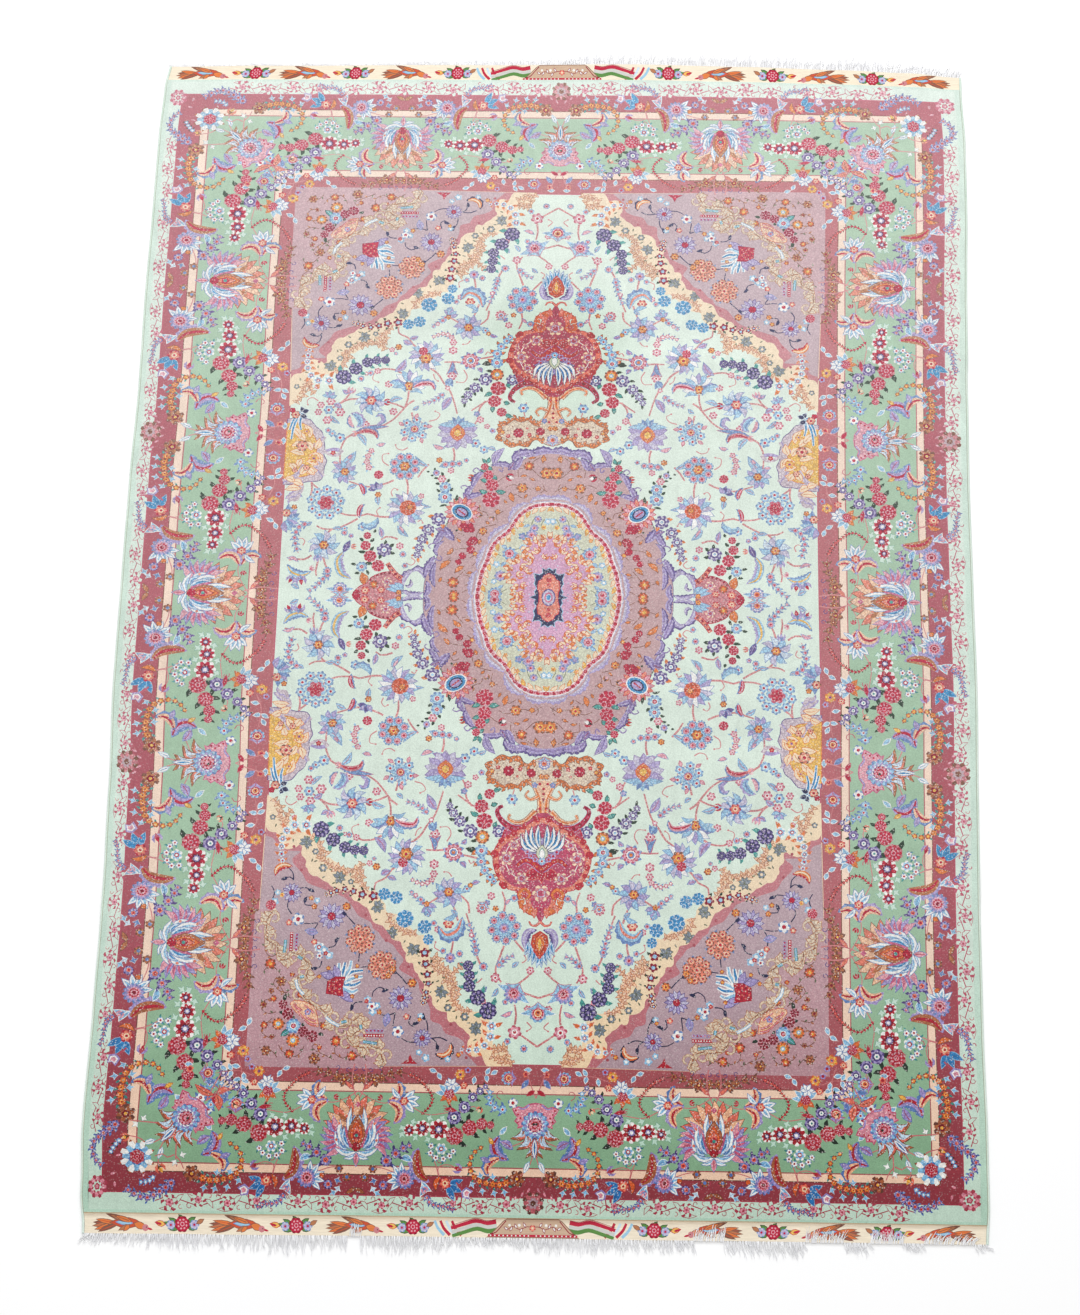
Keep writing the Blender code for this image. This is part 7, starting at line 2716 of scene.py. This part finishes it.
def fringe(name, end, table, tree, seed):
    """Locks of warp ends along one end band."""
    draw = random.Random(seed)
    points, edges, share_values, floors = [], [], [], []
    for lock in range(FRINGE_LOCKS):
        side = -1.0 + 2.0 * (lock + 0.5) / FRINGE_LOCKS
        reach = float(read_table(table, REACH_COLUMNS, "reach", np.array(side)))
        lean = float(read_table(table, REACH_COLUMNS, "lean", np.array(side)))
        reach *= 1.0 + draw.uniform(*REACH_JITTER)
        lean += draw.uniform(-LEAN_JITTER, LEAN_JITTER)
        back = end < 0 and flopped_back(side)
        for strand in range(STRANDS_IN_LOCK):
            u = side + draw.uniform(-ROOT_JITTER, ROOT_JITTER)
            spread = draw.uniform(-SPREAD_JITTER, SPREAD_JITTER)
            length = reach * draw.uniform(*LENGTH_JITTER)
            root = lie(np.array([u]), np.array([end * END_LINE]), 0.0, inset=FRINGE_INSET)[0]
            lift = draw.uniform(0.0, MOST_LIFT)
            for step in range(STRAND_POINTS):
                share = step / (STRAND_POINTS - 1)
                away = -1.0 if back else 1.0
                start = FLOP_ROOT if back else ROOT_PAST_EDGE
                y = root[1] + end * (start + away * length * share)
                x = root[0] + (lean + spread) * share * share + spread * 0.4
                rise = math.sin(math.pi * min(share * 1.6, 1.0)) * (STRAND_RISE + lift)
                low = (GROUND_TOP + FLOP_CLEARANCE) if back and share > 0.1 else STRAND_RADIUS
                points.append((x, y, max(low, ROOT_HEIGHT * (1.0 - share) + rise)))
                share_values.append(share)
                floors.append(low)
                if step:
                    edges.append((len(points) - 2, len(points) - 1))
    mesh = bpy.data.meshes.new(name + "_line")
    mesh.from_pydata(points, edges, [])
    for key, values in (("share", share_values), ("floor", floors)):
        mesh.attributes.new(key, "FLOAT", "POINT").data.foreach_set("value", values)
    return grown(name, mesh, tree, {})


# ---------------------------------------------------------------- the studio


FLOOR_REACH = 40.0
# The floor lies this far under the rug, so that the two don't share a plane.
FLOOR_DROP = 0.0005
FLOOR_COLOURS = ((0.93, 0.93, 0.935, 1.0), (0.95, 0.95, 0.95, 1.0))
WORLD_LIGHT = 0.68
LAMP_COLUMNS = ("name", "place", "size", "power")
LAMPS = (
    ("far_window", (0.5, 7.0, 5.0), (6.0, 3.0), 370.0),
    ("overhead", (-1.0, 0.0, 7.5), (4.0, 4.0), 140.0),
)

CAMERA_PLACE = (0.2328, -3.7124, 8.2165)
CAMERA_TURN = (23.69, 1.11, 1.38)
CAMERA_LENS = 104.56


def floor_and_lights():
    mesh = bpy.data.meshes.new("floor")
    r = FLOOR_REACH
    mesh.from_pydata([(-r, -r, 0), (r, -r, 0), (r, r, 0), (-r, r, 0)], [], [(0, 1, 2, 3)])
    floor = bpy.data.objects.new("floor", mesh)
    floor.location.z = -FLOOR_DROP
    f = Finish("pale_floor")
    soft = f.noise(f.place, 0.6, 2.0)
    colour = f.mix(f.spread(soft, 0.3, 0.7, 0.0, 1.0), *FLOOR_COLOURS)
    f.done(colour, 0.9, f.bump(soft, 0.001, 0.1))
    mesh.materials.append(f.material)
    bpy.context.scene.collection.objects.link(floor)

    world = bpy.data.worlds.new("studio")
    world.use_nodes = True
    back = world.node_tree.nodes["Background"]
    back.inputs["Color"].default_value = (1.0, 1.0, 1.0, 1.0)
    back.inputs["Strength"].default_value = WORLD_LIGHT
    bpy.context.scene.world = world
    for row in LAMPS:
        made = dict(zip(LAMP_COLUMNS, row))
        light = bpy.data.lights.new(made["name"], "AREA")
        light.shape = "RECTANGLE"
        light.size, light.size_y = made["size"]
        light.energy = made["power"]
        lamp = bpy.data.objects.new(made["name"], light)
        lamp.location = made["place"]
        lamp.rotation_euler = (-Vector(made["place"])).to_track_quat("-Z", "Y").to_euler()
        bpy.context.scene.collection.objects.link(lamp)


def camera():
    data = bpy.data.cameras.new("view")
    data.lens = CAMERA_LENS
    data.sensor_width = 36.0
    data.clip_end = 200.0
    cam = bpy.data.objects.new("view", data)
    cam.location = CAMERA_PLACE
    cam.rotation_euler = Euler([math.radians(a) for a in CAMERA_TURN], "XYZ")
    bpy.context.scene.collection.objects.link(cam)
    bpy.context.scene.camera = cam
    bpy.context.scene.view_settings.view_transform = "Standard"


# ---------------------------------------------------------------- the rug


def stand_for(piece, node):
    """Gives a piece its body, and hides the solid that it is shown for."""
    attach(piece, "root")
    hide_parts(node)


def main():
    ground, pile = woven_pieces()
    flat = band_finish()
    bands = [end_band(end, flat) for end in (-1.0, 1.0)]
    for piece in [ground, *pile, *bands]:
        stand_for(piece, "rug_body")
    yarn = yarn_finish()
    cord = overcast_tree(yarn)
    for name, side in (("selvedge_left", -1.0), ("selvedge_right", 1.0)):
        piece = side_cord("overcast_" + name, side, cord)
        stand_for(piece, name)
    cotton = cotton_finish()
    strands = strand_tree(cotton)
    for name, end, table, seed in (("fringe_near", -1.0, NEAR_REACH, 5), ("fringe_far", 1.0, FAR_REACH, 7)):
        piece = fringe("cotton_" + name, end, table, strands, seed)
        stand_for(piece, name)
    floor_and_lights()
    camera()


main()
